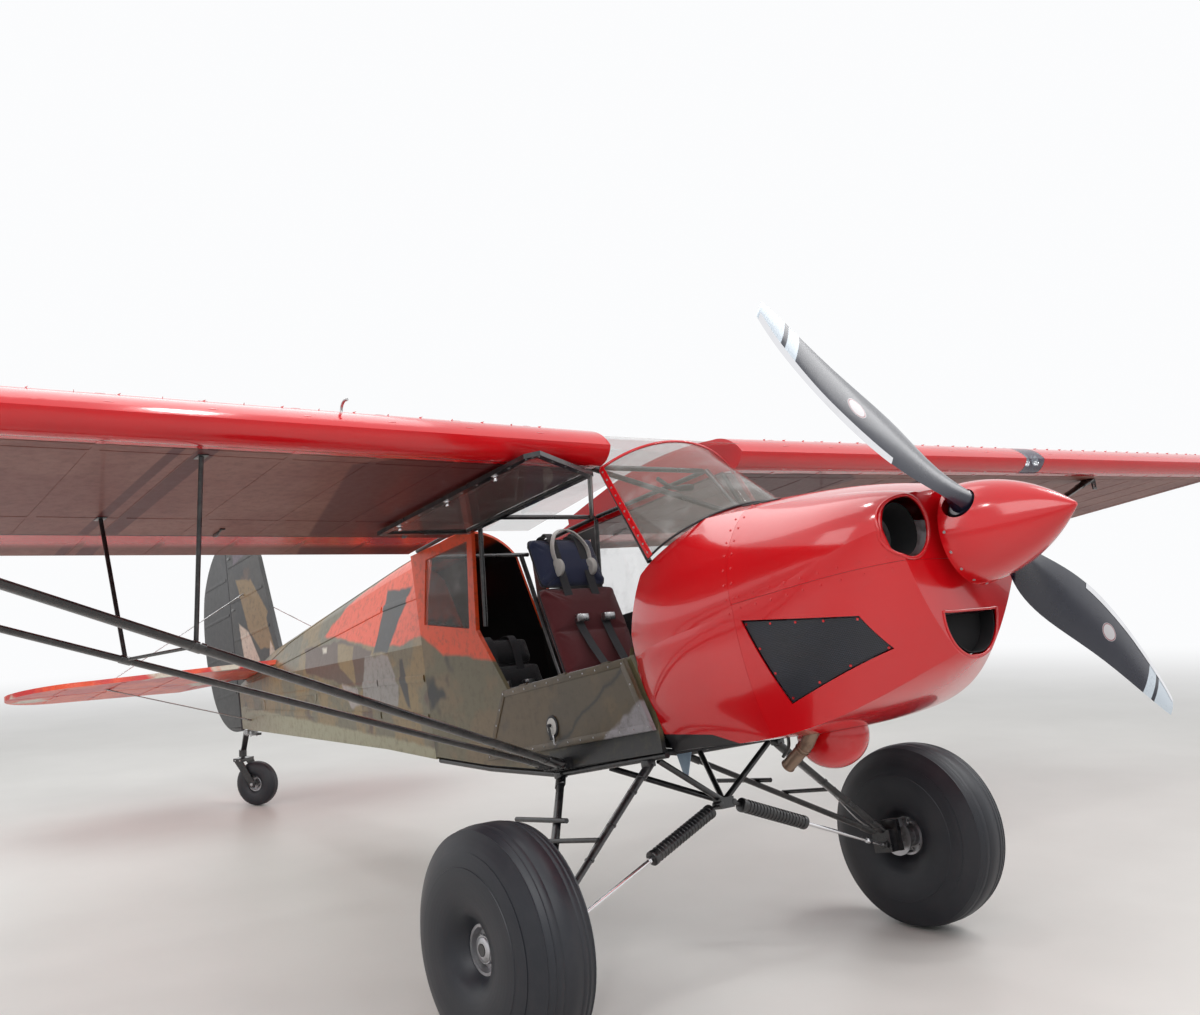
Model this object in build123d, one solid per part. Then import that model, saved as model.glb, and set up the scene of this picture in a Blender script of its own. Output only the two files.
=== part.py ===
"""High-wing tandem-seat bush aircraft on tundra tyres, parked on its tail wheel.

Every piece is drawn in the level frame: origin at the middle of the main axle line, +X to the
aircraft's left, +Y aft, +Z up, in millimetres. parked() then pitches the nose up about the axle line
and moves the origin to the floor, under the middle of the aircraft's outline.
"""
import os
from math import acos, atan2, cos, degrees, hypot, radians, sin, tan

from build123d import *

# Overall frame
FRAME_MID_Y = 2108.96           # parked Y of the middle of the outline, which becomes Y = 0

# Main wheels and gear
TYRE_R = 395.0
TYRE_W = 286.0
RIM_R = 82.0
HUB_W = 150.0
HUB_DISH = 26.0                 # depth of the dish between a wheel's bore and its rim
AXLE_R = 19.0
AXLE_FIT = 0.05                 # radial clearance of a wheel on its axle
TRACK_HALF = 1101.0
BRAKE_DISC_R = 74.0
BRAKE_DISC_T = 6.0
GEAR_FRONT_Y = 15.0
GEAR_REAR_Y = 585.0
GEAR_ROOT_Z = 500.0
LEG_CHORD = 46.0
LEG_THICK = 22.0
AXLE_INNER = TRACK_HALF - 185.0
CALIPER_IN_X = AXLE_INNER + 14.0
CABANE_Z = 300.0
CABANE_TUBE_R = 12.0
SHOCK_CYL_R = 25.0
SHOCK_ROD_R = 8.0

# Propeller and spinner
THRUST_Z = 1041.0
SPINNER_BASE_Y = -1332.0
SPINNER_R = 165.0
SPINNER_LEN = 372.0
SPINNER_WALL = 4.0
SPINNER_TIP_R = 6.0
PROP_R = 1070.0
PROP_ANGLE = 146.0              # of the blade that points up and to the right wing, from +X
BLADE_Y = SPINNER_BASE_Y - 66.0
BLADE_SHANK_R = 40.0
BLADE_HOLE_R = 54.0
PROP_GAP = 12.0                 # between the spinner's back plate and the cowl

# Cowl, boot cowl and cabin
COWL_FRONT_Y = SPINNER_BASE_Y + PROP_GAP
FIREWALL_Y = -620.0
WALL = 5.0
SEAM = 1.0                      # gap at a joint line between panels
INLET_X = 262.0
INLET_Z = 1078.0
INLET_R = 94.0
SCOOP_W = 280.0
SCOOP_TOP_Z = 805.0
SCOOP_H = 137.0
NOSE_CUT = 55.0                 # how far the inlets are cut behind the foremost cowl
SCOOP_CUT = 100.0
SHAFT_HOLE_R = 62.0
COWL_SPLIT_Z = THRUST_Z - 66.0
CHEEK_OPENING = [(-1114.0, 838.0), (-650.0, 914.0), (-762.0, 610.0), (-1150.0, 723.0)]    # (y, z)
CHEEK_GAP = 5.0
CHEEK_IN_X = 120.0               # from which the openings are cut outwards
EXHAUST_R = 24.0
STICK_FOOT_RISE = 4.0
STICK_R = 11.0
GRIP_R = 17.0
FRAME_TUBE_R = 11.0
FRAME_TUBE_Z = 1690.0
ENGINE_HALF_W = 225.0
ENGINE_LEN = (-1170.0, -690.0)
ENGINE_HEIGHT = (800.0, 1130.0)
SEATS = {                       # front y, width, back height
    "front_seat": (160.0, 430.0, 880.0),
    "rear_seat": (900.0, 400.0, 520.0),
}
CABIN_HALF_W = 372.0
FRAME_TUBE_X = CABIN_HALF_W - 34.0    # of the cabin frame's side tubes
PANEL_HALF_W = CABIN_HALF_W - 47.0
GEAR_ROOT_X = CABIN_HALF_W - 20.0
SIDE_WALL = 20.0
SILL_Z = 1190.0
DOOR_BOTTOM_Z = 895.0
FLOOR_Z = 508.0
FLOOR_T = 14.0
SIDE_END_Y = 1540.0
SHELL_END_Y = 2150.0
TAIL_POST_Y = 4790.0
POST_FOOT = (-200.0, 1231.0)    # A-post foot, (y, z)
POST_HEAD = (5.0, 1641.0)
GLASS = 4.0
GLASS_GAP = 3.0
SCREEN_CENTRE_FOOT = (-520.0, 1370.0)
SCREEN_CENTRE_HEAD = (-92.0, 1742.0)

# Doors on the right side: outlines are (y, z) when closed
DOOR_T = 18.0
DOOR_GAP = 6.0
UPPER_DOOR = [(14.0, 1628.0), (-184.0, 1231.0), (-124.0, SILL_Z), (1042.0, SILL_Z), (968.0, 1628.0)]
LOWER_DOOR = [(-2.0, DOOR_BOTTOM_Z), (858.0, DOOR_BOTTOM_Z), (1042.0, SILL_Z), (-124.0, SILL_Z)]
UPPER_HINGE_Z = 1636.0
UPPER_OPEN = 92.0               # the photographed angle of the upper door, degrees from closed
UPPER_FRAME_W = 26.0
LOWER_HINGE_OUT = 6.0
LOWER_HINGE_Z = DOOR_BOTTOM_Z
LOWER_OPEN = 178.0              # the photographed angle of the lower door, hanging down its side
HINGE_BARREL_R = 5.0
REAR_WINDOW = [(1096.0, 1206.0), (1492.0, 1298.0), (1402.0, 1600.0), (1018.0, 1600.0)]

# Wing
CHORD = 1619.0
WING_LE_Y = -87.0
WING_Z = 1658.0
WING_ROOT_X = CABIN_HALF_W - 10.0
HALF_SPAN = 5220.0
DIHEDRAL = 0.986
HINGE_Y = WING_LE_Y + CHORD - 327.0
HINGE_RISE = 41.0               # of the flap and aileron hinge above the flat underside
NOSE_R = 29.0
COVE_GAP = 6.0
FLAP_IN_X = WING_ROOT_X + 23.0
FLAP_OUT_X = 2600.0
AILERON_IN_X = 2612.0
AILERON_OUT_X = HALF_SPAN - 260.0
TIP_START_X = HALF_SPAN - 180.0
LIGHT_IN_X = 2560.0
LIGHT_OUT_X = 2740.0
FRONT_SPAR_Y = 130.0
REAR_SPAR_Y = 930.0
STRUT_TOP_X = 3560.0
STRUT_FOOT_X = CABIN_HALF_W + 26.0
STRUT_CHORD = 74.0
STRUT_THICK = 30.0
JURY_SHARES = (0.475, 0.505)     # of the front and rear lift struts' lengths, from the foot
JURY_R = 8.0

# Tail
STAB_Z = 1500.0
STAB_T = 30.0
STAB_HALF_SPAN = 1560.0
ELEVATOR_HINGE_Y = TAIL_POST_Y - 90.0
ELEVATOR_CHORD = 430.0
FIN_T = 30.0
RUDDER_HINGE_Y = TAIL_POST_Y + 45.0
RUDDER_CHORD = 557.0
TAIL_NOSE_R = 15.0
TAIL_GAP = 6.0
WIRE_Y = TAIL_POST_Y - 230.0     # of the brace wires
WIRE_OUT_X = 1000.0

# Tail wheel, placed in the parked frame before the shift to the outline's middle
TAIL_TYRE_R = 155.0
TAIL_TYRE_W = 96.0
TAIL_RIM_R = 52.0
TAIL_HUB_W = 60.0
TAIL_AXLE_R = 8.0
TAIL_FOOT = (TAIL_POST_Y - 10.0, 1138.0)     # seat of the tail spring under the tail post, level
TAIL_FOOT_RISE = 533.1745       # of that seat above the floor when parked
TAIL_PIVOT_AFT = 73.3453        # from that seat to the swivel's axis, along the floor
TAIL_TRAIL = 118.0
TAIL_SWIVEL = 147.0             # the photographed heading of the trail, from aft towards the left
TAIL_PIVOT_R = 14.0
FORK_GAP = 9.0

TIE_HOLE_R = 12.0
TIE_LUG_T = 8.0

# Nose-up attitude that puts the main tyres and the tail wheel on the floor together
PITCH = acos((TAIL_FOOT_RISE - TYRE_R) / hypot(*TAIL_FOOT)) - atan2(*TAIL_FOOT)
PARKED_PITCH = degrees(PITCH)


def parked(shape):
    """Moves a shape from the level frame to the parked one."""
    return Pos(0, -FRAME_MID_Y, TYRE_R) * Rot(-PARKED_PITCH, 0, 0) * shape


def parked_point(x, y, z):
    """The parked place of a point of the level frame."""
    return (x, y * cos(PITCH) + z * sin(PITCH) - FRAME_MID_Y, -y * sin(PITCH) + z * cos(PITCH) + TYRE_R)


def block(x0, x1, y0, y1, z0, z1):
    """A box between two corners."""
    return Pos((x0 + x1) / 2, (y0 + y1) / 2, (z0 + z1) / 2) * Box(abs(x1 - x0), abs(y1 - y0), abs(z1 - z0))


def side_slab(points, x0, x1):
    """A flat plate whose outline is a list of (y, z), from x0 to x1."""
    outline = Plane.YZ.offset(min(x0, x1)) * make_face(Polyline(*points, close=True))
    return extrude(outline, abs(x1 - x0), dir=(1, 0, 0))


def rod(p, q, r):
    """A round bar from p to q."""
    p, q = Vector(*p), Vector(*q)
    return Plane(origin=(p + q) / 2, z_dir=q - p) * Cylinder(r, (q - p).length)


def lens_bar(p, q, chord, thick, along=(0, 1, 0)):
    """A streamlined tube from p to q, its chord as near as it can be to the direction along."""
    p, q, along = Vector(*p), Vector(*q), Vector(*along)
    run = (q - p).normalized()
    plane = Plane(origin=p, x_dir=along - run * along.dot(run), z_dir=run)
    face = make_face([ThreePointArc((-chord / 2, 0), (0, thick / 2), (chord / 2, 0)),
                      ThreePointArc((chord / 2, 0), (0, -thick / 2), (-chord / 2, 0))])
    return extrude(plane * face, (q - p).length, dir=tuple(q - p))


def mirrored(shape):
    """The same piece on the other side of the aircraft."""
    return mirror(shape, Plane.YZ)


def pair(shape):
    """A piece and its mirror image, as one node of two solids."""
    return Compound([*shape.solids(), *mirrored(shape).solids()])


# wheels

def revolve_x(profile_points, centre):
    """Turns a closed outline drawn as x and radius about the X axis, and moves it to centre."""
    face = make_face(profile_points)
    return Pos(*centre) * revolve(Plane.XY * face, Axis.X)


def tyre(radius, width, rim_r, rim_w, centre):
    """A fat smooth tyre: bead, bulging side walls and a rounded crown."""
    half, wall = width / 2, radius - rim_r

    def side_points(s):
        bead, bulge = (s * rim_w / 2, rim_r), (s * half, rim_r + 0.50 * wall)
        shoulder = (s * 0.30 * width, 0.965 * radius)
        low, high = (s * half * 0.93, rim_r + 0.22 * wall), (s * half * 0.88, 0.865 * radius)
        return bead, low, bulge, high, shoulder

    right, left = side_points(1), side_points(-1)
    crown = ThreePointArc(right[4], (0, radius), left[4])
    edges = [Line(left[0], right[0]), ThreePointArc(*right[:3]), ThreePointArc(*right[2:]), crown,
             ThreePointArc(*left[:1:-1]), ThreePointArc(*left[2::-1])]
    return revolve_x(edges, centre)


def hub(rim_r, rim_w, bore_r, centre):
    """A dished wheel with rim flanges."""
    half = rim_w / 2
    right = [(half - 1, bore_r), (half - 1, rim_r * 0.55), (half - HUB_DISH, rim_r * 0.60),
             (half - HUB_DISH, rim_r * 0.84), (half, rim_r * 0.88), (half, rim_r)]
    left = [(-x, r) for x, r in reversed(right)]
    return revolve_x(Polyline(*right, *left, close=True), centre)


def main_wheel(side):
    """Tyre, hub and brake disc of the main wheel on that side, +1 left and -1 right."""
    centre = (side * TRACK_HALF, 0, 0)
    disc_mid = side * (TRACK_HALF - TYRE_W / 2 + 2)
    inner_face = side * (TRACK_HALF - HUB_W / 2 + 1)
    hat = rod((inner_face, 0, 0), (disc_mid - side * BRAKE_DISC_T / 2, 0, 0), 44.0)
    half_disc = side * BRAKE_DISC_T / 2
    disc = rod((disc_mid - half_disc, 0, 0), (disc_mid + half_disc, 0, 0), BRAKE_DISC_R)
    bore = rod((side * (TRACK_HALF - 300), 0, 0), (side * (TRACK_HALF + 300), 0, 0), AXLE_R + AXLE_FIT)
    wheel_hub = (hub(RIM_R, HUB_W, AXLE_R + AXLE_FIT, centre) + hat + disc) - bore
    return tyre(TYRE_R, TYRE_W, RIM_R, HUB_W, centre), wheel_hub


# main gear

def gear_leg(side):
    """The welded V of one side: front and rear streamlined tubes, the axle and its bracket."""
    knuckle = (side * (AXLE_INNER - 10), 6, 22)
    front = lens_bar((side * GEAR_ROOT_X, GEAR_FRONT_Y, GEAR_ROOT_Z - 18), knuckle, LEG_CHORD, LEG_THICK)
    rear_end = (side * (AXLE_INNER - 30), 40, 34)
    rear = lens_bar((side * GEAR_ROOT_X, GEAR_REAR_Y, GEAR_ROOT_Z - 10), rear_end, LEG_CHORD, LEG_THICK)
    brace = rod((side * 640, 14, 258), (side * 640, 320, 268), 9)
    bracket = block(side * (AXLE_INNER - 46), side * (AXLE_INNER - 6), -34, 62, -46, 48)
    bracket = bracket + block(side * (AXLE_INNER - 6), side * CALIPER_IN_X, -50, 46, -46, 84)
    axle = rod((side * (AXLE_INNER - 30), 0, 0), (side * (TRACK_HALF + HUB_W / 2 + 8), 0, 0), AXLE_R)
    step = rod((side * 560, 300, 330), (side * 560, 640, 356), 10)
    return front + rear + brace + bracket + axle + step


def brake_caliper(side):
    """The caliper that straddles the disc, on a torque plate bolted to the axle bracket."""
    disc_mid = TRACK_HALF - TYRE_W / 2 + 2
    gap = BRAKE_DISC_T / 2 + 5
    body = block(side * CALIPER_IN_X, side * (disc_mid + 22), -50, 46, 50, 84)
    slot = block(side * (disc_mid - gap), side * (disc_mid + gap), -60, 56, 30, 79)
    return body - slot


def cabane():
    """The vee under the belly that carries the inner ends of the shock struts."""
    apex = (0, 20, CABANE_Z)
    legs = [rod((s * x, y, GEAR_ROOT_Z - 4), apex, CABANE_TUBE_R)
            for s in (-1, 1) for x, y in ((300, GEAR_FRONT_Y), (250, 380))]
    head = block(-34, 34, -4, 44, CABANE_Z - 26, CABANE_Z + 16)
    return legs[0] + legs[1] + legs[2] + legs[3] + head


def shock(side, share_from, share_to, r):
    """A stretch of one shock strut, as shares of the line from the cabane to the axle bracket."""
    inner, outer = Vector(side * 36, 16, CABANE_Z - 8), Vector(side * (AXLE_INNER - 48), 0, -14)
    return rod(tuple(inner + (outer - inner) * share_from), tuple(inner + (outer - inner) * share_to), r)


# propeller

def spinner():
    """A hollow pointed shell on a back plate, with a round hole for each blade root."""
    def solid(r, length, y0):
        tip = (SPINNER_TIP_R, length)
        side = Bezier((r, 0), (r * 0.96, length * 0.44), (r * 0.52, length * 0.76), tip)
        edges = [Line((0, 0), (r, 0)), side, Line(tip, (0, length)), Line((0, length), (0, 0))]
        return Pos(0, y0, THRUST_Z) * Rot(180, 0, 0) * revolve(make_face(edges), Axis.Y)

    shell = solid(SPINNER_R, SPINNER_LEN, SPINNER_BASE_Y)
    inside = solid(SPINNER_R - SPINNER_WALL, SPINNER_LEN - 30, SPINNER_BASE_Y - SPINNER_WALL - 2)
    shell = shell - inside
    for turn in (0, 180):
        a = radians(PROP_ANGLE + turn)
        shell = shell - rod((30 * cos(a), BLADE_Y, THRUST_Z + 30 * sin(a)),
                            (300 * cos(a), BLADE_Y, THRUST_Z + 300 * sin(a)), BLADE_HOLE_R)
    return shell


# station share of the radius, chord, thickness, twist from the disc plane in degrees, sweep
BLADE_TABLE = [
    (0.135, 84.0, 80.0, 36.0, 4.0),
    (0.24, 152.0, 42.0, 26.0, 18.0),
    (0.45, 196.0, 26.0, 15.0, 4.0),
    (0.70, 162.0, 17.0, 10.0, 6.0),
    (0.90, 110.0, 11.0, 5.0, 34.0),
    (1.00, 62.0, 6.0, 3.0, 56.0),
]


def blade(turn):
    """One swept blade: lens sections lofted along its own Z, leading edge at -X, then turned to its place."""
    wires = []
    for share, chord, thick, twist, sweep in BLADE_TABLE:
        station = Pos(0, 0, share * PROP_R) * Rot(0, 0, twist)
        arcs = Wire([ThreePointArc((-chord / 2 + sweep, 0), (sweep, thick * 0.38), (chord / 2 + sweep, 0)),
                     ThreePointArc((chord / 2 + sweep, 0), (sweep, -thick * 0.62), (-chord / 2 + sweep, 0))])
        wires.append(station * arcs)
    body = loft([make_face(w.edges()) for w in wires])
    shank = Pos(0, 0, (0.135 * PROP_R + 62) / 2) * Cylinder(BLADE_SHANK_R, 0.135 * PROP_R - 62)
    angle = PROP_ANGLE + turn
    return Pos(0, BLADE_Y, THRUST_Z) * Rot(0, 90 - angle, 0) * (body + shank)


def propeller():
    """Both blades on the hub barrel."""
    barrel = rod((0, BLADE_Y - 52, THRUST_Z), (0, SPINNER_BASE_Y - SPINNER_WALL - 3, THRUST_Z), 66)
    return barrel + blade(0) + blade(180)


# cowl and forward body

# y of its top, rake back over its height, bulge of its lower sides, widest half width and its z, chin half
# width and its z, bottom z, top-corner half width and its z, top z
BODY_TABLE = [
    (COWL_FRONT_Y + 10, 0.105, 0.60, 335.0, 1080.0, 90.0, 680.0, 655.0, 190.0, 1184.0, 1199.0),
    (-1190.0, 0.080, 0.70, 392.0, 1062.0, 180.0, 626.0, 602.0, 225.0, 1222.0, 1250.0),
    (-900.0, 0.0, 0.74, 408.0, 1000.0, 295.0, 545.0, 524.0, 240.0, 1275.0, 1316.0),
    (FIREWALL_Y, 0.0, 0.74, 402.0, 950.0, 325.0, 512.0, 500.0, 245.0, 1310.0, 1357.0),
    (-40.0, 0.0, 0.74, CABIN_HALF_W, 880.0, CABIN_HALF_W - 27.0, 512.0, 500.0, 255.0, 1350.0, 1402.0),
]


def body_wire(y, rake, bulge, w, zw, wb, zbc, zb, wt, ztc, zt, inset=0.0):
    """One closed section of the cowl and boot cowl: a bottom arc, two arcs a side and a top arc."""
    top = zt
    w, wb, wt = w - inset, wb - inset * 0.7, wt - inset * 0.6
    zb, zbc, ztc, zt = zb + inset, zbc + inset * 0.7, ztc - inset * 0.8, zt - inset
    low_mid = (wb + (w - wb) * bulge, zbc + (zw - zbc) * 0.46)
    high_mid = (wt + (w - wt) * 0.78, zw + (ztc - zw) * 0.60)

    def p(x, z):
        return (x, y + rake * (top - z), z)
    return Wire([
        ThreePointArc(p(-wb, zbc), p(0, zb), p(wb, zbc)),
        ThreePointArc(p(wb, zbc), p(*low_mid), p(w, zw)),
        ThreePointArc(p(w, zw), p(*high_mid), p(wt, ztc)),
        ThreePointArc(p(wt, ztc), p(0, zt), p(-wt, ztc)),
        ThreePointArc(p(-wt, ztc), p(-high_mid[0], high_mid[1]), p(-w, zw)),
        ThreePointArc(p(-w, zw), p(-low_mid[0], low_mid[1]), p(-wb, zbc)),
    ])


def forward_body(inset=0.0):
    """The whole outer shape from the spinner to the door posts, shrunk by inset."""
    return loft([make_face(body_wire(*row, inset=inset).edges()) for row in BODY_TABLE])


def exhaust():
    """The tail pipe that turns down and back under the right side of the lower cowl."""
    top, bend, end = (-150, -690, 560), (-150, -610, 474), (-150, -500, 408)
    outer = rod(top, bend, EXHAUST_R) + Pos(*bend) * Sphere(EXHAUST_R) + rod(bend, end, EXHAUST_R)
    inner = rod(bend, (-150, -445, 375), EXHAUST_R - 2)
    return outer - inner - forward_body(-0.5)


def forward_shell():
    """The outer shape less its inside, with a front wall and an open back."""
    return forward_body() - Pos(0, WALL, 0) * forward_body(WALL)


def cowl(shell):
    """Upper and lower cowl halves, with the round inlets, the chin scoop and the cheek outlets cut."""
    front = shell & block(-600, 600, COWL_FRONT_Y - 5, FIREWALL_Y - SEAM, 300, 1500)
    before, behind = COWL_FRONT_Y - 60, COWL_FRONT_Y + NOSE_CUT
    for s in (-1, 1):
        front = front - rod((s * INLET_X, before, INLET_Z), (s * INLET_X, behind, INLET_Z), INLET_R)
        front = front - side_slab(CHEEK_OPENING, s * CHEEK_IN_X, s * 460)
    scoop_r, scoop_end = SCOOP_W / 2, COWL_FRONT_Y + SCOOP_CUT
    scoop = rod((0, before, SCOOP_TOP_Z), (0, scoop_end, SCOOP_TOP_Z), scoop_r)
    front = front - (scoop & block(-scoop_r, scoop_r, before, scoop_end, SCOOP_TOP_Z - SCOOP_H, SCOOP_TOP_Z))
    front = front - rod((0, before, THRUST_Z), (0, behind, THRUST_Z), SHAFT_HOLE_R)
    upper = front & block(-600, 600, -1500, FIREWALL_Y, COWL_SPLIT_Z, 1500)
    lower = front & block(-600, 600, -1500, FIREWALL_Y, 300, COWL_SPLIT_Z - SEAM)
    return upper, lower


def cheek_panels():
    """The dark recessed outlet panels that close the cheek openings."""
    outline = inset_outline(CHEEK_OPENING, CHEEK_GAP)
    thick = forward_body(WALL + 2) - forward_body(WALL + 8)
    return pair(thick & side_slab(outline, CHEEK_IN_X, 460))


def chin_fairing():
    """The rounded outlet blister under the lower cowl."""
    fairing = Pos(0, -600, 490) * scale(Sphere(100), (1.0, 1.45, 1.18))
    body = fairing & block(-200, 200, -800, -440, 300, 640)
    return body - forward_body(-0.5)


def boot_cowl(shell):
    """The shell from the firewall to the door posts, notched for the windshield and cut at the door."""
    rear = shell & block(-600, 600, FIREWALL_Y, 0, 300, 1500)
    screen_cut = side_slab([SCREEN_CENTRE_FOOT, POST_FOOT, (60, 1100), (60, 1600), (-520, 1600)], -600, 600)
    door_edge = [POST_FOOT, (-124, 1186), (-12, 901), (-107, 672), (-107, 400), (60, 400), (60, 1300)]
    door_cut = side_slab(door_edge, -600, 600)
    return rear - screen_cut - door_cut


def firewall():
    """The flat plate that closes the engine bay from the cabin."""
    return forward_body(WALL + 1.5) & block(-600, 600, FIREWALL_Y + 2, FIREWALL_Y + 6, 300, 1500)


# cabin

def windshield():
    """One wrapped sheet from the boot cowl to the wing's leading edge."""
    def edge(centre, side, inset):
        dy, dz = centre[0] - side[0], centre[1] - side[1]
        shift = inset / hypot(dy, dz)
        x = WING_ROOT_X + 6 - inset
        return [(-x, *side), (0, centre[0] - dy * shift, centre[1] - dz * shift), (x, *side)]

    def section(centre, side):
        a, b = edge(centre, side, 0), edge(centre, side, GLASS)
        return make_face([ThreePointArc(*a), Line(a[2], b[2]), ThreePointArc(*b[::-1]), Line(b[0], a[0])])
    low = section((SCREEN_CENTRE_FOOT[0] + GLASS_GAP, SCREEN_CENTRE_FOOT[1] + GLASS_GAP),
                  (POST_FOOT[0] + GLASS_GAP, POST_FOOT[1] + GLASS_GAP + 1))
    high = section(SCREEN_CENTRE_HEAD, (POST_HEAD[0] - 12, POST_HEAD[1]))
    return loft([low, high], ruled=True)


def skylight():
    """The clear roof panel between the wing roots."""
    half = WING_ROOT_X - 7
    line = [(-84, 1752), (60, 1795), (320, 1838), (760, 1836), (1180, 1806), (1536, 1778)]
    outline = line + [(y, z - GLASS) for y, z in reversed(line)]
    return side_slab(outline, -half, half)


def cabin_side(side):
    """One side wall with its doorway or window bay; the part behind the bay goes up to the wing root."""
    outer = side * CABIN_HALF_W
    inner = side * (CABIN_HALF_W - SIDE_WALL)
    back = SIDE_END_Y - SEAM
    outline = [(-102, FLOOR_Z + FLOOR_T + 1), (-100, 672), (-5, 901), (-116, 1182), (-118, SILL_Z),
               (LOWER_DOOR[2][0], SILL_Z), (UPPER_DOOR[4][0], 1650), (back, 1650), (back, 672),
               (1100, 592), (600, FLOOR_Z + FLOOR_T + 1)]
    wall = side_slab(outline, outer, inner) - side_slab(REAR_WINDOW, outer * 1.1, inner * 0.9)
    if side < 0:
        wall = wall - side_slab(LOWER_DOOR, outer * 1.1, inner * 0.9)
    return wall


FLOOR_LINE = [(FIREWALL_Y + 8, FLOOR_Z), (600.0, FLOOR_Z), (1100.0, 575.0), (SIDE_END_Y - SEAM, 655.0)]


def floor_top(y):
    """Height of the cabin floor's upper face at y."""
    for (y0, z0), (y1, z1) in zip(FLOOR_LINE, FLOOR_LINE[1:]):
        if y <= y1:
            break
    return z0 + (z1 - z0) * (y - y0) / (y1 - y0) + FLOOR_T


def cabin_floor():
    """The belly panel, flat under the seats and rising aft."""
    outline = FLOOR_LINE + [(y, z + FLOOR_T) for y, z in reversed(FLOOR_LINE)]
    half = CABIN_HALF_W - SIDE_WALL - 1
    aft = side_slab(outline, -half, half) & block(-half, half, -95, SIDE_END_Y, 300, 900)
    front = side_slab(outline, -half, half) & block(-half, half, FIREWALL_Y, -95, 300, 900)
    return (front & forward_body(WALL + 1)) + aft


# y, half width, bottom z, longeron z, deck shoulder half width and z, top z
AFT_TABLE = [
    (SIDE_END_Y, CABIN_HALF_W, 660.0, 1210.0, 262.0, 1640.0, 1775.0),
    (SHELL_END_Y, CABIN_HALF_W - 66.0, 764.0, 1255.0, 190.0, 1640.0, 1744.0),
    (TAIL_POST_Y - 710.0, 96.0, 1045.0, 1420.0, 40.0, 1565.0, 1596.0),
    (TAIL_POST_Y, 20.0, 1150.0, 1440.0, 14.0, 1455.0, 1465.0),
]


def aft_wire(y, w, zb, zl, wd, zd, zt, inset=0.0):
    """One closed section: flat bottom, straight sides, sloping deck sides and a top arc."""
    w, wd, zb, zd, zt = w - inset, wd - inset, zb + inset, zd - inset * 0.3, zt - inset
    right = [(w, y, zb), (w, y, zl), (wd, y, zd)]
    left = [(-x, yy, z) for x, yy, z in reversed(right)]
    return make_face([Line(left[2], right[0]), Polyline(*right), ThreePointArc(right[2], (0, y, zt), left[0]),
                      Polyline(*left)])


def rear_cabin_shell():
    """The hollow skin of the baggage bay behind the wing's trailing edge."""
    outer = loft([aft_wire(*row) for row in AFT_TABLE[:2]], ruled=True)
    inner = loft([aft_wire(*row, inset=SIDE_WALL * 0.6) for row in AFT_TABLE[:2]], ruled=True)
    return outer - inner


def aft_fuselage():
    """The closed rear fuselage from the baggage bulkhead to the tail post."""
    rows = [list(AFT_TABLE[1]), *AFT_TABLE[2:]]
    rows[0][0] = SHELL_END_Y + SEAM
    return loft([aft_wire(*row) for row in rows], ruled=True) - torque_tube_way()


def cabin_frame():
    """The steel tubes seen through the glass, as solids that stop just short of their joints."""
    x, z = FRAME_TUBE_X, FRAME_TUBE_Z
    inner = x - 20
    sides = [((x, -170, 1228), (x, 22, 1640)),
             ((x, 140, z), (x, 920, z)),
             ((x, 1010, 1200), (x, 935, z - 10)),
             ((x, 945, z), (x, 1524, z - 18)),
             ((x - 8, 112, z - 6), (12, -372, 1352))]
    across = [((-inner, FRONT_SPAR_Y, z), (inner, FRONT_SPAR_Y, z)),
              ((-inner, REAR_SPAR_Y, z), (inner, REAR_SPAR_Y, z)),
              ((-inner, 1520, z - 50), (inner, 1520, z - 50)),
              ((-inner + 18, 142, z), (inner - 18, 918, z))]
    tubes = [rod(p, q, FRAME_TUBE_R) for p, q in sides]
    return Compound([*tubes, *[mirrored(t) for t in tubes], *[rod(p, q, FRAME_TUBE_R) for p, q in across]])


def side_pane(outline, side):
    """A flat side pane just inside the wall's outer face."""
    x = side * (CABIN_HALF_W - 6)
    return side_slab(outline, x, x - side * GLASS)


def inset_outline(points, d):
    """The outline moved inward by d, by intersecting its shifted edges."""
    n = len(points)
    sides = [(points[i], points[(i + 1) % n]) for i in range(n)]
    turn = 1 if sum(p[0] * q[1] - q[0] * p[1] for p, q in sides) > 0 else -1
    lines = []
    for (x0, y0), (x1, y1) in sides:
        length = hypot(x1 - x0, y1 - y0)
        nx, ny = -(y1 - y0) / length * turn, (x1 - x0) / length * turn
        lines.append((x0 + nx * d, y0 + ny * d, x1 - x0, y1 - y0))
    out = []
    for i in range(n):
        ax, ay, adx, ady = lines[i - 1]
        bx, by, bdx, bdy = lines[i]
        t = ((bx - ax) * bdy - (by - ay) * bdx) / (adx * bdy - ady * bdx)
        out.append((ax + adx * t, ay + ady * t))
    return out


def upper_swing(angle):
    """Turns a closed upper door about its hinge line by the angle, outwards and up."""
    return Pos(-CABIN_HALF_W, 0, UPPER_HINGE_Z) * Rot(0, angle, 0) * Pos(CABIN_HALF_W, 0, -UPPER_HINGE_Z)


def lower_swing(angle):
    """Turns a closed lower door about its hinge line by the angle, outwards and down."""
    x = CABIN_HALF_W + LOWER_HINGE_OUT
    return Pos(-x, 0, LOWER_HINGE_Z) * Rot(0, -angle, 0) * Pos(x, 0, -LOWER_HINGE_Z)


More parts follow.
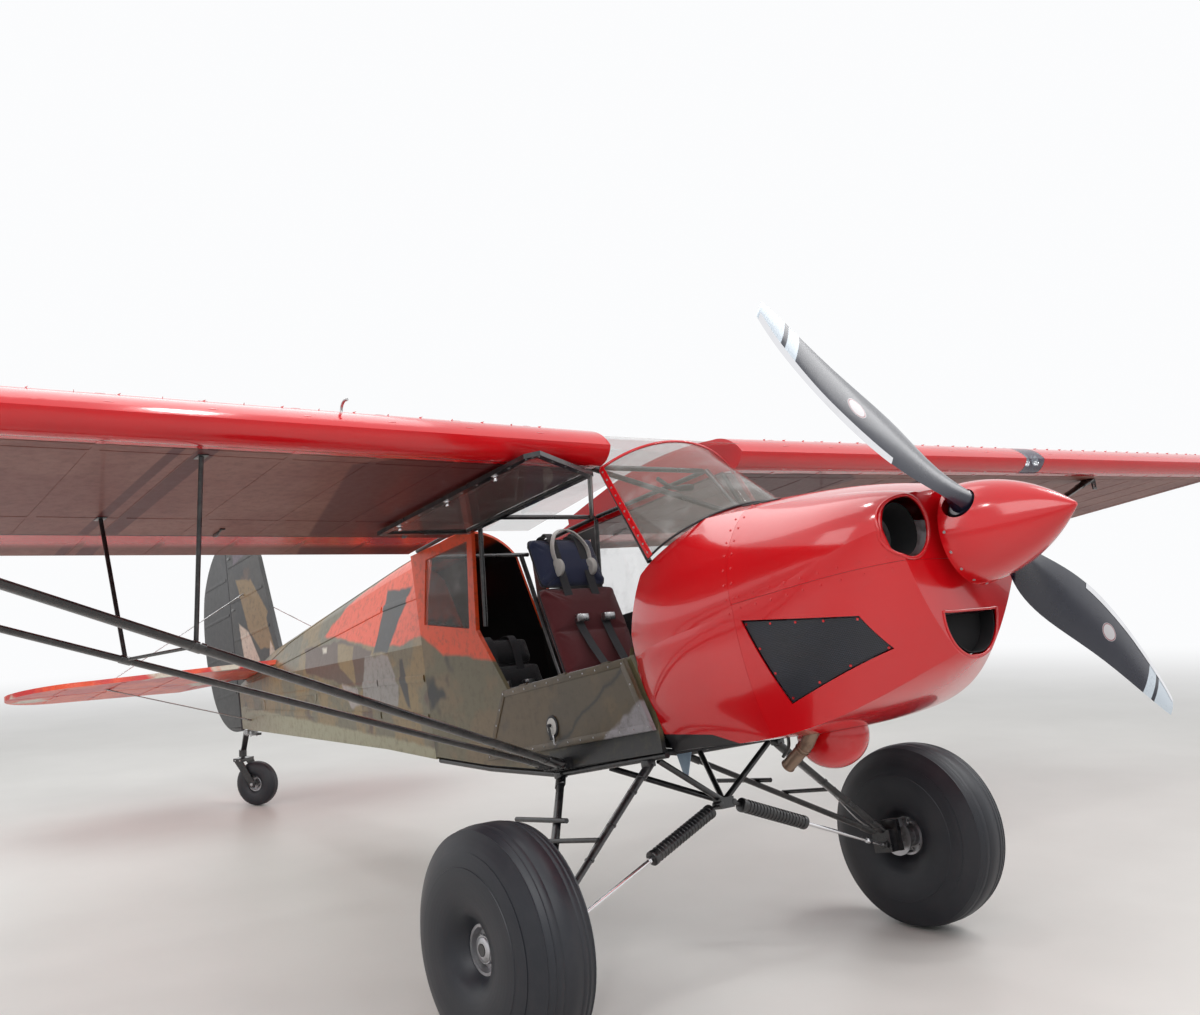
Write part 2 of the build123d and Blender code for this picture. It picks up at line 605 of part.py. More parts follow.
def upper_door():
    """The window half of the door, swung up under the wing: its frame with two hinge arms, and its pane."""
    outline = inset_outline(UPPER_DOOR, DOOR_GAP)
    glazed = inset_outline(outline, UPPER_FRAME_W)
    x0, x1 = -CABIN_HALF_W, -(CABIN_HALF_W - DOOR_T)
    mid = (x0 + x1) / 2
    frame = side_slab(outline, x0, x1) - side_slab(glazed, x0 * 1.1, x1 * 0.9)
    for y in (190, 800):
        frame = frame + block(x0 - 2, x0 + 6, y - 30, y + 30, UPPER_DOOR[0][1] - 30, UPPER_HINGE_Z - 2)
        frame = frame + rod((x0, y - 30, UPPER_HINGE_Z), (x0, y + 30, UPPER_HINGE_Z), HINGE_BARREL_R)
    pane = side_slab(glazed, mid - GLASS / 2, mid + GLASS / 2)
    return upper_swing(UPPER_OPEN) * frame, upper_swing(UPPER_OPEN) * pane


def lower_door():
    """The solid half of the door, hanging open, with hinge knuckles along its hinge line."""
    x0, x1, z = -CABIN_HALF_W, -(CABIN_HALF_W - DOOR_T), LOWER_HINGE_Z
    pin_x = x0 - LOWER_HINGE_OUT
    door = side_slab(inset_outline(LOWER_DOOR, DOOR_GAP), x0, x1)
    for y in (140, 430, 720):
        door = door + rod((pin_x, y - 25, z), (pin_x, y + 25, z), HINGE_BARREL_R)
        door = door + block(pin_x, x0 + 5, y - 25, y + 25, z, z + DOOR_GAP + 8)
    return lower_swing(LOWER_OPEN) * door


def seat(y0, width, back_height):
    """A bucket seat: cushion and raked back in one piece."""
    z0 = FLOOR_Z + FLOOR_T + 150
    cushion = block(-width / 2, width / 2, y0, y0 + 430, z0, z0 + 90)
    back = side_slab([(y0 + 380, z0 + 60), (y0 + 470, z0 + 60), (y0 + 610, z0 + back_height),
                      (y0 + 530, z0 + back_height)], -width / 2, width / 2)
    ya, yb = y0 + 60, y0 + 380
    leg = side_slab([(ya, floor_top(ya) + 0.5), (yb, floor_top(yb) + 0.5), (yb, z0), (ya, z0)],
                    -width / 2 + 30, width / 2 - 30)
    return cushion + back + leg


def instrument_panel():
    """The panel face with its glare shield."""
    outline = [(-268, 985), (-250, 985), (-238, 1196), (-226, 1206), (-440, 1296), (-440, 1284), (-256, 1204)]
    return side_slab(outline, -PANEL_HALF_W, PANEL_HALF_W) & forward_body(WALL + 1)


def control_sticks():
    """The front and rear sticks, each with its grip."""
    out = []
    for y in (60, 790):
        foot = floor_top(y) + STICK_FOOT_RISE
        stick = rod((0, y, foot), (0, y + 40, 860), STICK_R) + rod((0, y + 40, 845), (0, y + 52, 960), GRIP_R)
        out.append(stick + rod((0, y, foot), (0, y, foot + 30), 24))
    return Compound([s for stick in out for s in stick.solids()])


# wings

def wing_z(x):
    """Height of the flat underside at the distance x from the middle."""
    return WING_Z + (abs(x) - WING_ROOT_X) * tan(radians(DIHEDRAL))


def airfoil(x, chord=CHORD, thick=1.0, lift=0.0, sweep=0.0):
    """The flat-bottomed section at distance x: four arcs and two straight stretches."""
    y0, z0 = WING_LE_Y + sweep, wing_z(x) + lift

    def p(u, v):
        return (x, y0 + u * chord, z0 + v * chord * thick)
    return make_face([
        ThreePointArc(p(0.07, 0.0), p(0.015, 0.0115), p(0.0, 0.036)),
        ThreePointArc(p(0.0, 0.036), p(0.027, 0.0690), p(0.10, 0.0985)),
        ThreePointArc(p(0.10, 0.0985), p(0.33, 0.1175), p(0.60, 0.0910)),
        ThreePointArc(p(0.60, 0.0910), p(0.80, 0.0520), p(1.0, 0.0060)),
        Line(p(1.0, 0.0060), p(1.0, 0.0)),
        Line(p(1.0, 0.0), p(0.07, 0.0)),
    ])


def hinge_point(x):
    """A point on the flap and aileron hinge line."""
    return (x, HINGE_Y, wing_z(x) + HINGE_RISE)


def wing():
    """The left wing: constant chord, rounded tip, a cove along the hinge line and a notch for the light."""
    panel = loft([airfoil(WING_ROOT_X), airfoil(TIP_START_X)], ruled=True)
    middle = airfoil(HALF_SPAN - 70, CHORD - 60, 0.86, 8, 34)
    tip = loft([airfoil(TIP_START_X), middle, airfoil(HALF_SPAN, CHORD - 240, 0.36, 60, 130)])
    body = panel + tip
    for x0, x1 in ((FLAP_IN_X, FLAP_OUT_X), (AILERON_IN_X, AILERON_OUT_X)):
        a, b = hinge_point(x0 - 6), hinge_point(x1 + 6)
        body = body - rod(a, b, NOSE_R + COVE_GAP) - behind_hinge(x0 - 6, x1 + 6, -10, -14)
    behind = WING_LE_Y + CHORD + 10
    body = body - block(WING_ROOT_X - 5, FLAP_IN_X - 5, HINGE_Y - 16, behind, 1500, 2000)
    lamp = block(LIGHT_IN_X, LIGHT_OUT_X, WING_LE_Y - 50, WING_LE_Y + 88, 1600, 1950)
    return body - lamp


def behind_hinge(x0, x1, top_lip, low_lip):
    """The space aft of the hinge line from x0 to x1, its front edge moved by the upper and lower lips."""
    def quad(x):
        _, y, z = hinge_point(x)
        pts = [(x, y + low_lip, z - 140), (x, y + low_lip, z), (x, y + top_lip, z), (x, y + top_lip, z + 160),
               (x, y + 700, z + 160), (x, y + 700, z - 140)]
        return make_face(Polyline(*pts, close=True))
    return loft([quad(x0), quad(x1)], ruled=True)


def landing_light():
    """The clear leading-edge lens, flush with the wing."""
    outer = loft([airfoil(LIGHT_IN_X + 2), airfoil(LIGHT_OUT_X - 2)], ruled=True)
    return outer & block(LIGHT_IN_X, LIGHT_OUT_X, WING_LE_Y - 50, WING_LE_Y + 84, 1500, 2000)


def control_surface(x0, x1):
    """A flap or aileron: a round nose on the hinge line and flat skins to the trailing edge."""
    end_y = WING_LE_Y + CHORD

    def quad(x):
        _, y, z = hinge_point(x)
        low = wing_z(x)
        upper, under = (x, y + 3, z + NOSE_R), (x, y + 3, z - NOSE_R)
        return make_face([ThreePointArc(under, (x, y - NOSE_R, z), upper),
                          Polyline(upper, (x, end_y, low + 9), (x, end_y, low + 1), under)])
    return loft([quad(x0), quad(x1)], ruled=True)


def strut_line(aft):
    """Foot and head of a lift strut of the left wing."""
    foot = (STRUT_FOOT_X, 592 if aft else 505, 540)
    head = (STRUT_TOP_X, REAR_SPAR_Y if aft else FRONT_SPAR_Y, wing_z(STRUT_TOP_X) - 2)
    return foot, head


def lift_strut(aft):
    """One streamlined lift strut of the left wing."""
    foot, head = strut_line(aft)
    scale_down = 0.8 if aft else 1.0
    return lens_bar(foot, head, STRUT_CHORD * scale_down, STRUT_THICK * scale_down)


def on_strut(aft, share):
    """The point at a share of a lift strut's length."""
    foot, head = strut_line(aft)
    return tuple(f + (h - f) * share for f, h in zip(foot, head))


def jury_struts():
    """The uprights from mid-strut to the spars and the bar between the lift struts."""
    f, a = on_strut(False, JURY_SHARES[0]), on_strut(True, JURY_SHARES[1])
    up_f = rod((f[0], f[1], f[2] + 10), (f[0], FRONT_SPAR_Y, wing_z(f[0]) - 1), JURY_R)
    up_a = rod((a[0], a[1], a[2] + 8), (a[0], REAR_SPAR_Y, wing_z(a[0]) - 1), JURY_R)
    cross = rod((f[0], f[1] + 20, f[2] + 4), (a[0], a[1] - 14, a[2]), JURY_R - 2)
    return Compound([*up_f.solids(), *up_a.solids(), *cross.solids()])


def strut_fittings():
    """The plate where the left lift struts meet the lower longeron."""
    return block(CABIN_HALF_W, STRUT_FOOT_X + 6, 470, 626, 524, 566)


def tie_down(side):
    """A lug below the front strut's head, with the ring hole along the flight direction."""
    x = side * (STRUT_TOP_X + 46)
    z = wing_z(STRUT_TOP_X) - 1
    half = TIE_LUG_T / 2
    lug = block(x - 22, x + 22, FRONT_SPAR_Y - half, FRONT_SPAR_Y + half, z - 58, z + 0.6)
    return lug - rod((x, FRONT_SPAR_Y - 50, z - 34), (x, FRONT_SPAR_Y + 50, z - 34), TIE_HOLE_R)


# tail

def stabiliser():
    """The left half of the fixed tailplane: a flat rounded plate."""
    aft = ELEVATOR_HINGE_Y - TAIL_NOSE_R - TAIL_GAP
    root, bend, tip = (17, TAIL_POST_Y - 830), (1150, TAIL_POST_Y - 500), (STAB_HALF_SPAN, aft)
    near_tip = (STAB_HALF_SPAN - 110, TAIL_POST_Y - 350)
    outline = make_face([Line(root, bend), ThreePointArc(bend, near_tip, tip),
                         Polyline(tip, (17, aft), root)])
    return extrude(Pos(0, 0, STAB_Z - STAB_T / 2) * outline, STAB_T)


def elevator_half():
    """The left half of the elevator behind its hinge line."""
    y0, out = ELEVATOR_HINGE_Y, STAB_HALF_SPAN
    aft = y0 + ELEVATOR_CHORD
    corner = (1210, aft - 30)
    plate = make_face([Line((110, y0), (out, y0)), ThreePointArc((out, y0), (out - 60, y0 + 210), corner),
                       Polyline(corner, (330, aft), (110, y0 + 130), (110, y0))])
    flat = extrude(Pos(0, 0, STAB_Z - TAIL_NOSE_R) * plate, 2 * TAIL_NOSE_R)
    nose = rod((110, y0, STAB_Z), (out, y0, STAB_Z), TAIL_NOSE_R)
    return flat + nose


def elevator():
    """Both elevator halves and the torque tube that joins them."""
    tube = rod((-112, ELEVATOR_HINGE_Y, STAB_Z), (112, ELEVATOR_HINGE_Y, STAB_Z), 11)
    half = elevator_half()
    return half + mirrored(half) + tube


def torque_tube_way():
    """The clear bore round the elevator's torque tube."""
    return rod((-200, ELEVATOR_HINGE_Y, STAB_Z), (200, ELEVATOR_HINGE_Y, STAB_Z), 18)


def fin():
    """The fixed fin ahead of the rudder hinge."""
    aft = RUDDER_HINGE_Y - TAIL_NOSE_R - TAIL_GAP
    foot = STAB_Z - 45
    low, bend = (TAIL_POST_Y - 790, foot), (TAIL_POST_Y - 550, 2270)
    top = (aft, 2530)
    outline = make_face([Line(low, bend), ThreePointArc(bend, (TAIL_POST_Y - 370, 2475), top),
                         Polyline(top, (aft, foot), low)])
    plate = extrude(Plane.YZ.offset(-FIN_T / 2) * outline, FIN_T, dir=(1, 0, 0))
    return plate - torque_tube_way()


def rudder():
    """The rudder: a round-nosed plate with a curved trailing edge, balanced over the fin's top."""
    y0, aft = RUDDER_HINGE_Y, RUDDER_HINGE_Y + RUDDER_CHORD
    foot, head, high, low = (y0, 1140), (y0, 2540), (aft - 70, 2200), (aft - 60, 1500)
    plate = make_face([Line(foot, head), ThreePointArc(head, (y0 + 260, 2440), high),
                       ThreePointArc(high, (aft, 1880), low), ThreePointArc(low, (y0 + 300, 1220), foot)])
    flat = extrude(Plane.YZ.offset(-TAIL_NOSE_R) * plate, 2 * TAIL_NOSE_R, dir=(1, 0, 0))
    nose = rod((0, *foot), (0, *head), TAIL_NOSE_R)
    return flat + nose


def tail_wires():
    """The brace wires from the fin to the tailplane and from there to the fuselage's bottom."""
    upper = rod((12, WIRE_Y, 2080), (WIRE_OUT_X, WIRE_Y, STAB_Z + STAB_T / 2 - 2), 3.5)
    lower = rod((32, WIRE_Y, 1180), (WIRE_OUT_X, WIRE_Y, STAB_Z - STAB_T / 2 + 2), 3.5)
    return Compound([*upper.solids(), *lower.solids()])


# tail wheel, in the parked frame

def tail_pivot_y():
    """Parked Y of the swivel's axis."""
    return parked_point(0, *TAIL_FOOT)[1] + TAIL_PIVOT_AFT


def trail_vector():
    """The unit direction from the swivel's axis to the tail wheel's centre, seen from above."""
    a = radians(TAIL_SWIVEL)
    return sin(a), cos(a)


def tail_wheel_centre():
    """Centre of the tail wheel, its tyre on the floor."""
    dx, dy = trail_vector()
    return TAIL_TRAIL * dx, tail_pivot_y() + TAIL_TRAIL * dy, TAIL_TYRE_R


def at_tail_wheel(shape):
    """Turns a shape whose axle lies along X to roll along the trail, and moves it to the wheel's centre."""
    return Pos(*tail_wheel_centre()) * Rot(0, 0, -TAIL_SWIVEL) * shape


def tail_wheel():
    """Tyre and hub of the tail wheel."""
    tail_tyre = tyre(TAIL_TYRE_R, TAIL_TYRE_W, TAIL_RIM_R, TAIL_HUB_W, (0, 0, 0))
    tail_hub = hub(TAIL_RIM_R, TAIL_HUB_W, TAIL_AXLE_R + AXLE_FIT, (0, 0, 0))
    return at_tail_wheel(tail_tyre), at_tail_wheel(tail_hub)


def tail_fork():
    """The swivelling fork: its head, two arms beside the wheel, the axle and the kingpin."""
    top = TAIL_TYRE_R + 14
    half = TAIL_TYRE_W / 2 + FORK_GAP
    head = block(-half - 10, half + 10, -TAIL_TRAIL - 34, -TAIL_TRAIL + 44, top - 14, top + 8)
    arm = [(-TAIL_TRAIL - 30, top - 8), (-TAIL_TRAIL + 40, top - 8), (24, 10), (18, -22), (-18, -22),
           (-40, 20)]
    arms = [side_slab(arm, s * half, s * (half + 10)) for s in (-1, 1)]
    axle = rod((-half - 4, 0, 0), (half + 4, 0, 0), TAIL_AXLE_R)
    kingpin = rod((0, -TAIL_TRAIL, top - 10), (0, -TAIL_TRAIL, top + 62), TAIL_PIVOT_R)
    return at_tail_wheel(head + arms[0] + arms[1] + axle + kingpin)


def tail_spring():
    """The leaf from the tail post's foot and the swivel head with its upright bore."""
    top = 2 * TAIL_TYRE_R + 8 + 22
    pivot_y = tail_pivot_y()
    head = rod((0, pivot_y, top), (0, pivot_y, top + 46), 27)
    _, y0, z0 = parked_point(0, TAIL_FOOT[0] - 220, 1092)
    _, y1, z1 = parked_point(0, *TAIL_FOOT)
    leaf = side_slab([(y0, z0), (y1, z1), (pivot_y - 10, top + 40), (pivot_y - 10, top + 24),
                      (y1 - 8, z1 - 18), (y0 + 4, z0 - 16)], -19, 19)
    bore = rod((0, pivot_y, top - 40), (0, pivot_y, top + 100), TAIL_PIVOT_R + AXLE_FIT)
    return (leaf + head) - bore


def export_all(pieces):
    """Writes each piece to parts/NAME.step."""
    os.makedirs("parts", exist_ok=True)
    for name, shape in pieces.items():
        solids = shape.solids()
        export_step(solids[0] if len(solids) == 1 else Compound(list(solids)), f"parts/{name}.step")


def main():
    """Builds every piece and writes it."""
    level = {}
    for side, word in ((1, "left"), (-1, "right")):
        level[f"tyre_{word}"], level[f"hub_{word}"] = main_wheel(side)
        level[f"cabin_side_{word}"] = cabin_side(side)
    level["gear_legs"] = pair(gear_leg(1))
    level["brake_calipers"] = pair(brake_caliper(1))
    level["cabane"] = cabane()
    cylinder = shock(1, 0.06, 0.45, SHOCK_CYL_R) + shock(1, 0.0, 0.07, SHOCK_ROD_R)
    level["shock_cylinders"] = pair(cylinder - level["cabane"])
    level["shock_rods"] = pair(shock(1, 0.45, 1.02, SHOCK_ROD_R) - level["gear_legs"])
    level["spinner"] = spinner()
    level["propeller"] = propeller()
    shell = forward_shell()
    level["cowl_upper"], level["cowl_lower"] = cowl(shell)
    level["cheek_panels"] = cheek_panels()
    level["chin_fairing"] = chin_fairing()
    level["exhaust"] = exhaust()
    level["boot_cowl"] = boot_cowl(shell)
    level["firewall"] = firewall()
    level["engine"] = block(-ENGINE_HALF_W, ENGINE_HALF_W, *ENGINE_LEN, *ENGINE_HEIGHT)
    level["windshield"] = windshield()
    level["skylight"] = skylight()
    level["cabin_floor"] = cabin_floor()
    level["cabin_frame"] = cabin_frame()
    level["side_window_left"] = side_pane(inset_outline(UPPER_DOOR, 0.5), 1)
    rear_pane = side_pane(inset_outline(REAR_WINDOW, 1), 1)
    level["rear_side_windows"] = pair(rear_pane)
    level["upper_door_frame"], level["upper_door_pane"] = upper_door()
    level["lower_door"] = lower_door()
    for name, sizes in SEATS.items():
        level[name] = seat(*sizes)
    level["control_sticks"] = control_sticks()
    level["instrument_panel"] = instrument_panel()
    level["rear_cabin_shell"] = rear_cabin_shell()
    level["aft_fuselage"] = aft_fuselage()
    left = {"wing": wing(), "flap": control_surface(FLAP_IN_X, FLAP_OUT_X),
            "aileron": control_surface(AILERON_IN_X, AILERON_OUT_X)}
    for name, shape in left.items():
        level[f"{name}_left"] = shape
        level[f"{name}_right"] = mirrored(shape)
    level["landing_lights"] = pair(landing_light())
    struts = {aft: lift_strut(aft) - left["wing"] - strut_fittings() for aft in (False, True)}
    level["lift_struts"] = pair(Compound([*struts[False].solids(), *struts[True].solids()]))
    level["jury_struts"] = pair(jury_struts() - struts[False] - struts[True] - left["wing"])
    level["strut_fittings"] = pair(strut_fittings())
    level["tie_downs"] = Compound([*tie_down(1).solids(), *tie_down(-1).solids()])
    level["stabiliser"] = pair(stabiliser() - level["aft_fuselage"])
    level["elevator"] = elevator()
    level["fin"] = fin() - level["aft_fuselage"]
    level["rudder"] = rudder()
    level["tail_wires"] = pair(tail_wires() - level["fin"] - level["aft_fuselage"] - stabiliser())

    pieces = {name: parked(shape) for name, shape in level.items()}
    pieces["tail_tyre"], pieces["tail_hub"] = tail_wheel()
    pieces["tail_fork"] = tail_fork()
    pieces["tail_spring"] = tail_spring()
    export_all(pieces)


main()
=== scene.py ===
"""Looks of a tandem-seat bush aircraft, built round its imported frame.

Pieces are modelled in the level frame, in metres: origin at the middle of the main axle line, +X to the
aircraft's left, +Y aft, +Z up. Bench.hand_over() then pitches each one nose up into the frame of the CAD.
"""
import logging
import math
from dataclasses import dataclass, field
from enum import Enum
from typing import Iterable, Sequence, Union

import bpy
from mathutils import Matrix, Vector
from mathutils.bvhtree import BVHTree


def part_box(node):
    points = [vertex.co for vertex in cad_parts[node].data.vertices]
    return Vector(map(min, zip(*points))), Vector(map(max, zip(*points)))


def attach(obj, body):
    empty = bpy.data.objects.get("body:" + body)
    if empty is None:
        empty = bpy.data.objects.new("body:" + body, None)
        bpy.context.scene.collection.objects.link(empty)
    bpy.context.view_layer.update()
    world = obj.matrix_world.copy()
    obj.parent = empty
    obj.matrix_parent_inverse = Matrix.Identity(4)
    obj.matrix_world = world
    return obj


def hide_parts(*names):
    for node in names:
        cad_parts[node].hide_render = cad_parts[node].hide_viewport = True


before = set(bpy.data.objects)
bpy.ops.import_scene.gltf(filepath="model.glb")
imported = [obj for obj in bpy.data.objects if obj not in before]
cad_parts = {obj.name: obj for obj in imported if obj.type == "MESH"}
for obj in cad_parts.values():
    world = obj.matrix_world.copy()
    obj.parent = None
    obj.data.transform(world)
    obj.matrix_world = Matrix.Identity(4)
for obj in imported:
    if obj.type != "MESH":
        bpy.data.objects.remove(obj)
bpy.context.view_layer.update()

log = logging.getLogger("aircraft")

Point = Sequence[float]
Colour = tuple[float, float, float]
PITCH = math.radians(11.78)                      # nose up when parked
ORIGIN = (0, 0, 0)
LEFT = (1, 0, 0)
FORWARD, AFT = (0, -1, 0), (0, 1, 0)
DOWN, UP = (0, 0, -1), (0, 0, 1)
SIDES = (1, -1)                                  # +1 is the aircraft's left


def axle_centre() -> Vector:
    """The middle of the main axle line in the parked frame."""
    low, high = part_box("tyre_left")
    middle = (low + high) / 2
    return Vector((0, middle.y, middle.z))


WING_ROOT_X = 0.362
WING_ROOT_Z = 1.658                              # of the flat underside
DIHEDRAL = math.radians(0.986)
BELOW_WING = 1.3                                 # heights from which details are dropped on the wing
ABOVE_WING = 2.4
PARK = Matrix.Translation(axle_centre()) @ Matrix.Rotation(-PITCH, 4, "X")
LEVEL = PARK.inverted()


class Body(Enum):
    """The moving bodies that pieces ride on."""

    AIRFRAME = "airframe"
    PROPELLER = "propeller"
    WHEEL_LEFT = "wheel_left"
    WHEEL_RIGHT = "wheel_right"
    UPPER_DOOR = "upper_door"
    LOWER_DOOR = "lower_door"
    FLAP_LEFT = "flap_left"
    FLAP_RIGHT = "flap_right"
    AILERON_LEFT = "aileron_left"
    AILERON_RIGHT = "aileron_right"
    ELEVATOR = "elevator"
    RUDDER = "rudder"
    TAIL_FORK = "tail_fork"
    TAIL_WHEEL = "tail_wheel"


# Shader writing

class Value:
    """One output of a shader node that takes part in arithmetic."""

    def __init__(self, sheet: "Sheet", socket: bpy.types.NodeSocket) -> None:
        """Keeps the sheet that the output belongs to.

        Args:
            sheet: The node tree's writer.
            socket: The output socket.
        """
        self.sheet, self.socket = sheet, socket

    def __add__(self, other: "Number") -> "Value":
        """The sum with a number or a value."""
        return self.sheet.math("ADD", self, other)

    __radd__ = __add__

    def __sub__(self, other: "Number") -> "Value":
        """The difference from a number or a value."""
        return self.sheet.math("SUBTRACT", self, other)

    def __rsub__(self, other: "Number") -> "Value":
        """A number less this value."""
        return self.sheet.math("SUBTRACT", other, self)

    def __mul__(self, other: "Number") -> "Value":
        """The product with a number or a value."""
        return self.sheet.math("MULTIPLY", self, other)

    __rmul__ = __mul__

    def rise(self, low: float, high: float) -> "Value":
        """A smooth step from 0 at low to 1 at high."""
        node = self.sheet.node("ShaderNodeMapRange", {"interpolation_type": "SMOOTHSTEP"},
                               {"Value": self, "From Min": low, "From Max": high})
        return Value(self.sheet, node.outputs["Result"])

    def least(self, other: "Number") -> "Value":
        """The smaller of the two."""
        return self.sheet.math("MINIMUM", self, other)

    def most(self, other: "Number") -> "Value":
        """The larger of the two."""
        return self.sheet.math("MAXIMUM", self, other)

    def size(self) -> "Value":
        """The value without its sign."""
        return self.sheet.math("ABSOLUTE", self)


Number = Union[Value, float]


class Sheet:
    """Writes the node tree of one material."""

    def __init__(self, name: str) -> None:
        """Makes the material with an empty tree.

        Args:
            name: The material's name.
        """
        self.material = bpy.data.materials.new(name)
        self.material.use_nodes = True
        self.tree = self.material.node_tree
        self.tree.nodes.clear()

    def node(self, kind: str, settings: dict | None = None, values: dict | None = None) -> bpy.types.Node:
        """Adds a node, sets it and feeds its sockets.

        Args:
            kind: The node's type.
            settings: Its settings; "stops" lists a colour ramp's (position, colour) pairs.
            values: A number, colour or Value for each socket, by name or place.

        Returns:
            The node.
        """
        made = self.tree.nodes.new(kind)
        for key, value in (settings or {}).items():
            if key == "stops":
                elements = made.color_ramp.elements
                while len(elements) < len(value):
                    elements.new(0.5)
                for element, (position, colour) in zip(elements, value):
                    element.position, element.color = position, (*colour, 1)
            else:
                setattr(made, key, value)
        for key, value in (values or {}).items():
            socket = made.inputs[key]
            if isinstance(value, Value):
                self.tree.links.new(value.socket, socket)
            elif isinstance(value, tuple) and len(value) == 3 and socket.type == "RGBA":
                socket.default_value = (*value, 1)
            else:
                socket.default_value = value
        return made

    def math(self, operation: str, *values: Number) -> Value:
        """A Math node on the values."""
        return Value(self, self.node("ShaderNodeMath", {"operation": operation},
                                     dict(enumerate(values))).outputs[0])

    def mix(self, share: Number, first: Union[Value, Colour], second: Union[Value, Colour]) -> Value:
        """A colour between two.

        Args:
            share: 0 for the first colour, 1 for the second.
            first: A colour.
            second: A colour.

        Returns:
            The mixed colour.
        """
        node = self.node("ShaderNodeMix", {"data_type": "RGBA"}, {0: share, 6: first, 7: second})
        return Value(self, node.outputs[2])

    def place(self, into: Matrix = LEVEL) -> Value:
        """The point on the piece, in the level frame or the one that a matrix leads into.

        Args:
            into: Takes a point of the CAD's frame into the wanted one.

        Returns:
            The point.
        """
        point = Value(self, self.node("ShaderNodeTexCoord").outputs["Object"])
        moved = self.node("ShaderNodeMapping", {"vector_type": "POINT"}, {
            "Vector": point, "Location": tuple(into.translation), "Rotation": tuple(into.to_euler())})
        return Value(self, moved.outputs[0])

    def stretched(self, point: Value, scale: Point) -> Value:
        """The point with each axis scaled, for a pattern that is longer one way."""
        return Value(self, self.node("ShaderNodeMapping", {"vector_type": "POINT"},
                                     {"Vector": point, "Scale": tuple(scale)}).outputs[0])

    def split(self, point: Value) -> tuple[Value, Value, Value]:
        """The three numbers of a point."""
        node = self.node("ShaderNodeSeparateXYZ", None, {0: point})
        return tuple(Value(self, out) for out in node.outputs)

    def noise(self, point: Value, scale: float, detail: float = 3.0, roughness: float = 0.5) -> Value:
        """Cloudy noise from 0 to 1.

        Args:
            point: Where it is read.
            scale: How many clouds there are in a metre.
            detail: How many finer octaves it has.
            roughness: How strong they are.

        Returns:
            The noise.
        """
        node = self.node("ShaderNodeTexNoise", None,
                         {"Vector": point, "Scale": scale, "Detail": detail, "Roughness": roughness})
        return Value(self, node.outputs[0])

    def inside(self, across: Value, along: Value, corners: Sequence[Point], soft: float = 0.008) -> Value:
        """A mask that is 1 within a convex outline.

        Args:
            across: The first coordinate.
            along: The second coordinate.
            corners: The outline's corners, either way round.
            soft: The width of its edge in metres.

        Returns:
            The mask.
        """
        pairs = list(zip(corners, [*corners[1:], corners[0]]))
        turn = math.copysign(1, sum(a[0] * b[1] - b[0] * a[1] for a, b in pairs))
        depth: Number = 10.0
        for (a0, a1), (b0, b1) in pairs:
            length = math.hypot(b0 - a0, b1 - a1)
            n0, n1 = -(b1 - a1) / length * turn, (b0 - a0) / length * turn
            edge = self.math("MULTIPLY_ADD", across, n0, -(a0 * n0 + a1 * n1))
            depth = self.math("MULTIPLY_ADD", along, n1, edge).least(depth)
        return depth.rise(0.0, soft)

    def bump(self, height: Value, distance: float, strength: float = 1.0) -> Value:
        """A surface normal tilted by a height, its distance in metres."""
        node = self.node("ShaderNodeBump", None,
                         {"Height": height, "Distance": distance, "Strength": strength})
        return Value(self, node.outputs[0])

    def surface(self, **sockets: Union[Value, Number, Colour]) -> None:
        """Ends the tree with a Principled shader; an underscore in a socket's name stands for a space."""
        values = {name.replace("_", " "): value for name, value in sockets.items()}
        shader = self.node("ShaderNodeBsdfPrincipled", None, values)
        self.node("ShaderNodeOutputMaterial", None, {"Surface": Value(self, shader.outputs[0])})


@dataclass(frozen=True)
class Finish:
    """A finish that is made once and then shared."""

    name: str
    slot: str = field(default="", kw_only=True)  # the finish's slot name

    def material(self) -> bpy.types.Material:
        """The finish's material.

        Returns:
            The material, made at its first use.
        """
        made = bpy.data.materials.get(self.name)
        if made is None:
            sheet = Sheet(self.name)
            self.paint(sheet)
            made = sheet.material
        return made

    def paint(self, sheet: Sheet) -> None:
        """Writes the finish's nodes.

        Args:
            sheet: The empty tree.
        """
        raise NotImplementedError


@dataclass(frozen=True)
class GlossPaint(Finish):
    """Sprayed gloss paint under clear lacquer, with orange peel, dust and a little fading."""

    colour: Colour
    faded: Colour
    roughness: float = 0.16

    def paint(self, sheet: Sheet) -> None:
        """Writes the finish's nodes.

        Args:
            sheet: The empty tree.
        """
        place = sheet.place()
        cloud = sheet.noise(place, 2.4, 4)
        dust = sheet.noise(place, 38, 3, 0.6)
        peel = sheet.noise(place, 320, 2)
        sheet.surface(Base_Color=sheet.mix(cloud.rise(0.35, 0.75) * 0.5 + dust * 0.08, self.colour,
                                           self.faded),
                      Roughness=dust * 0.10 + cloud * 0.08 + (self.roughness - 0.08),
                      Coat_Weight=0.6 - dust * 0.12,
                      Coat_Roughness=0.05, Normal=sheet.bump(peel, 0.0003, 0.35))


@dataclass(frozen=True)
class BellyPaint(Finish):
    """The boot cowl's red, black below a slanting line."""

    colour: Colour
    belly: Colour
    line: tuple[Point, ...]

    def paint(self, sheet: Sheet) -> None:
        """Writes the finish's nodes.

        Args:
            sheet: The empty tree.
        """
        place = sheet.place()
        _, y, z = sheet.split(place)
        cloud, dust = sheet.noise(place, 2.4, 4), sheet.noise(place, 38, 3, 0.6)
        peel = sheet.noise(place, 320, 2)
        below = sheet.inside(y, z, self.line, 0.004)
        dark = tuple(0.8 * c for c in self.colour)
        red = sheet.mix(cloud.rise(0.35, 0.75) * 0.5, self.colour, dark)
        sheet.surface(Base_Color=sheet.mix(below, red, self.belly),
                      Roughness=dust * 0.10 + below * 0.14 + 0.12,
                      Coat_Weight=1.0 - below * 0.6, Coat_Roughness=0.05,
                      Normal=sheet.bump(peel, 0.0003, 0.35))


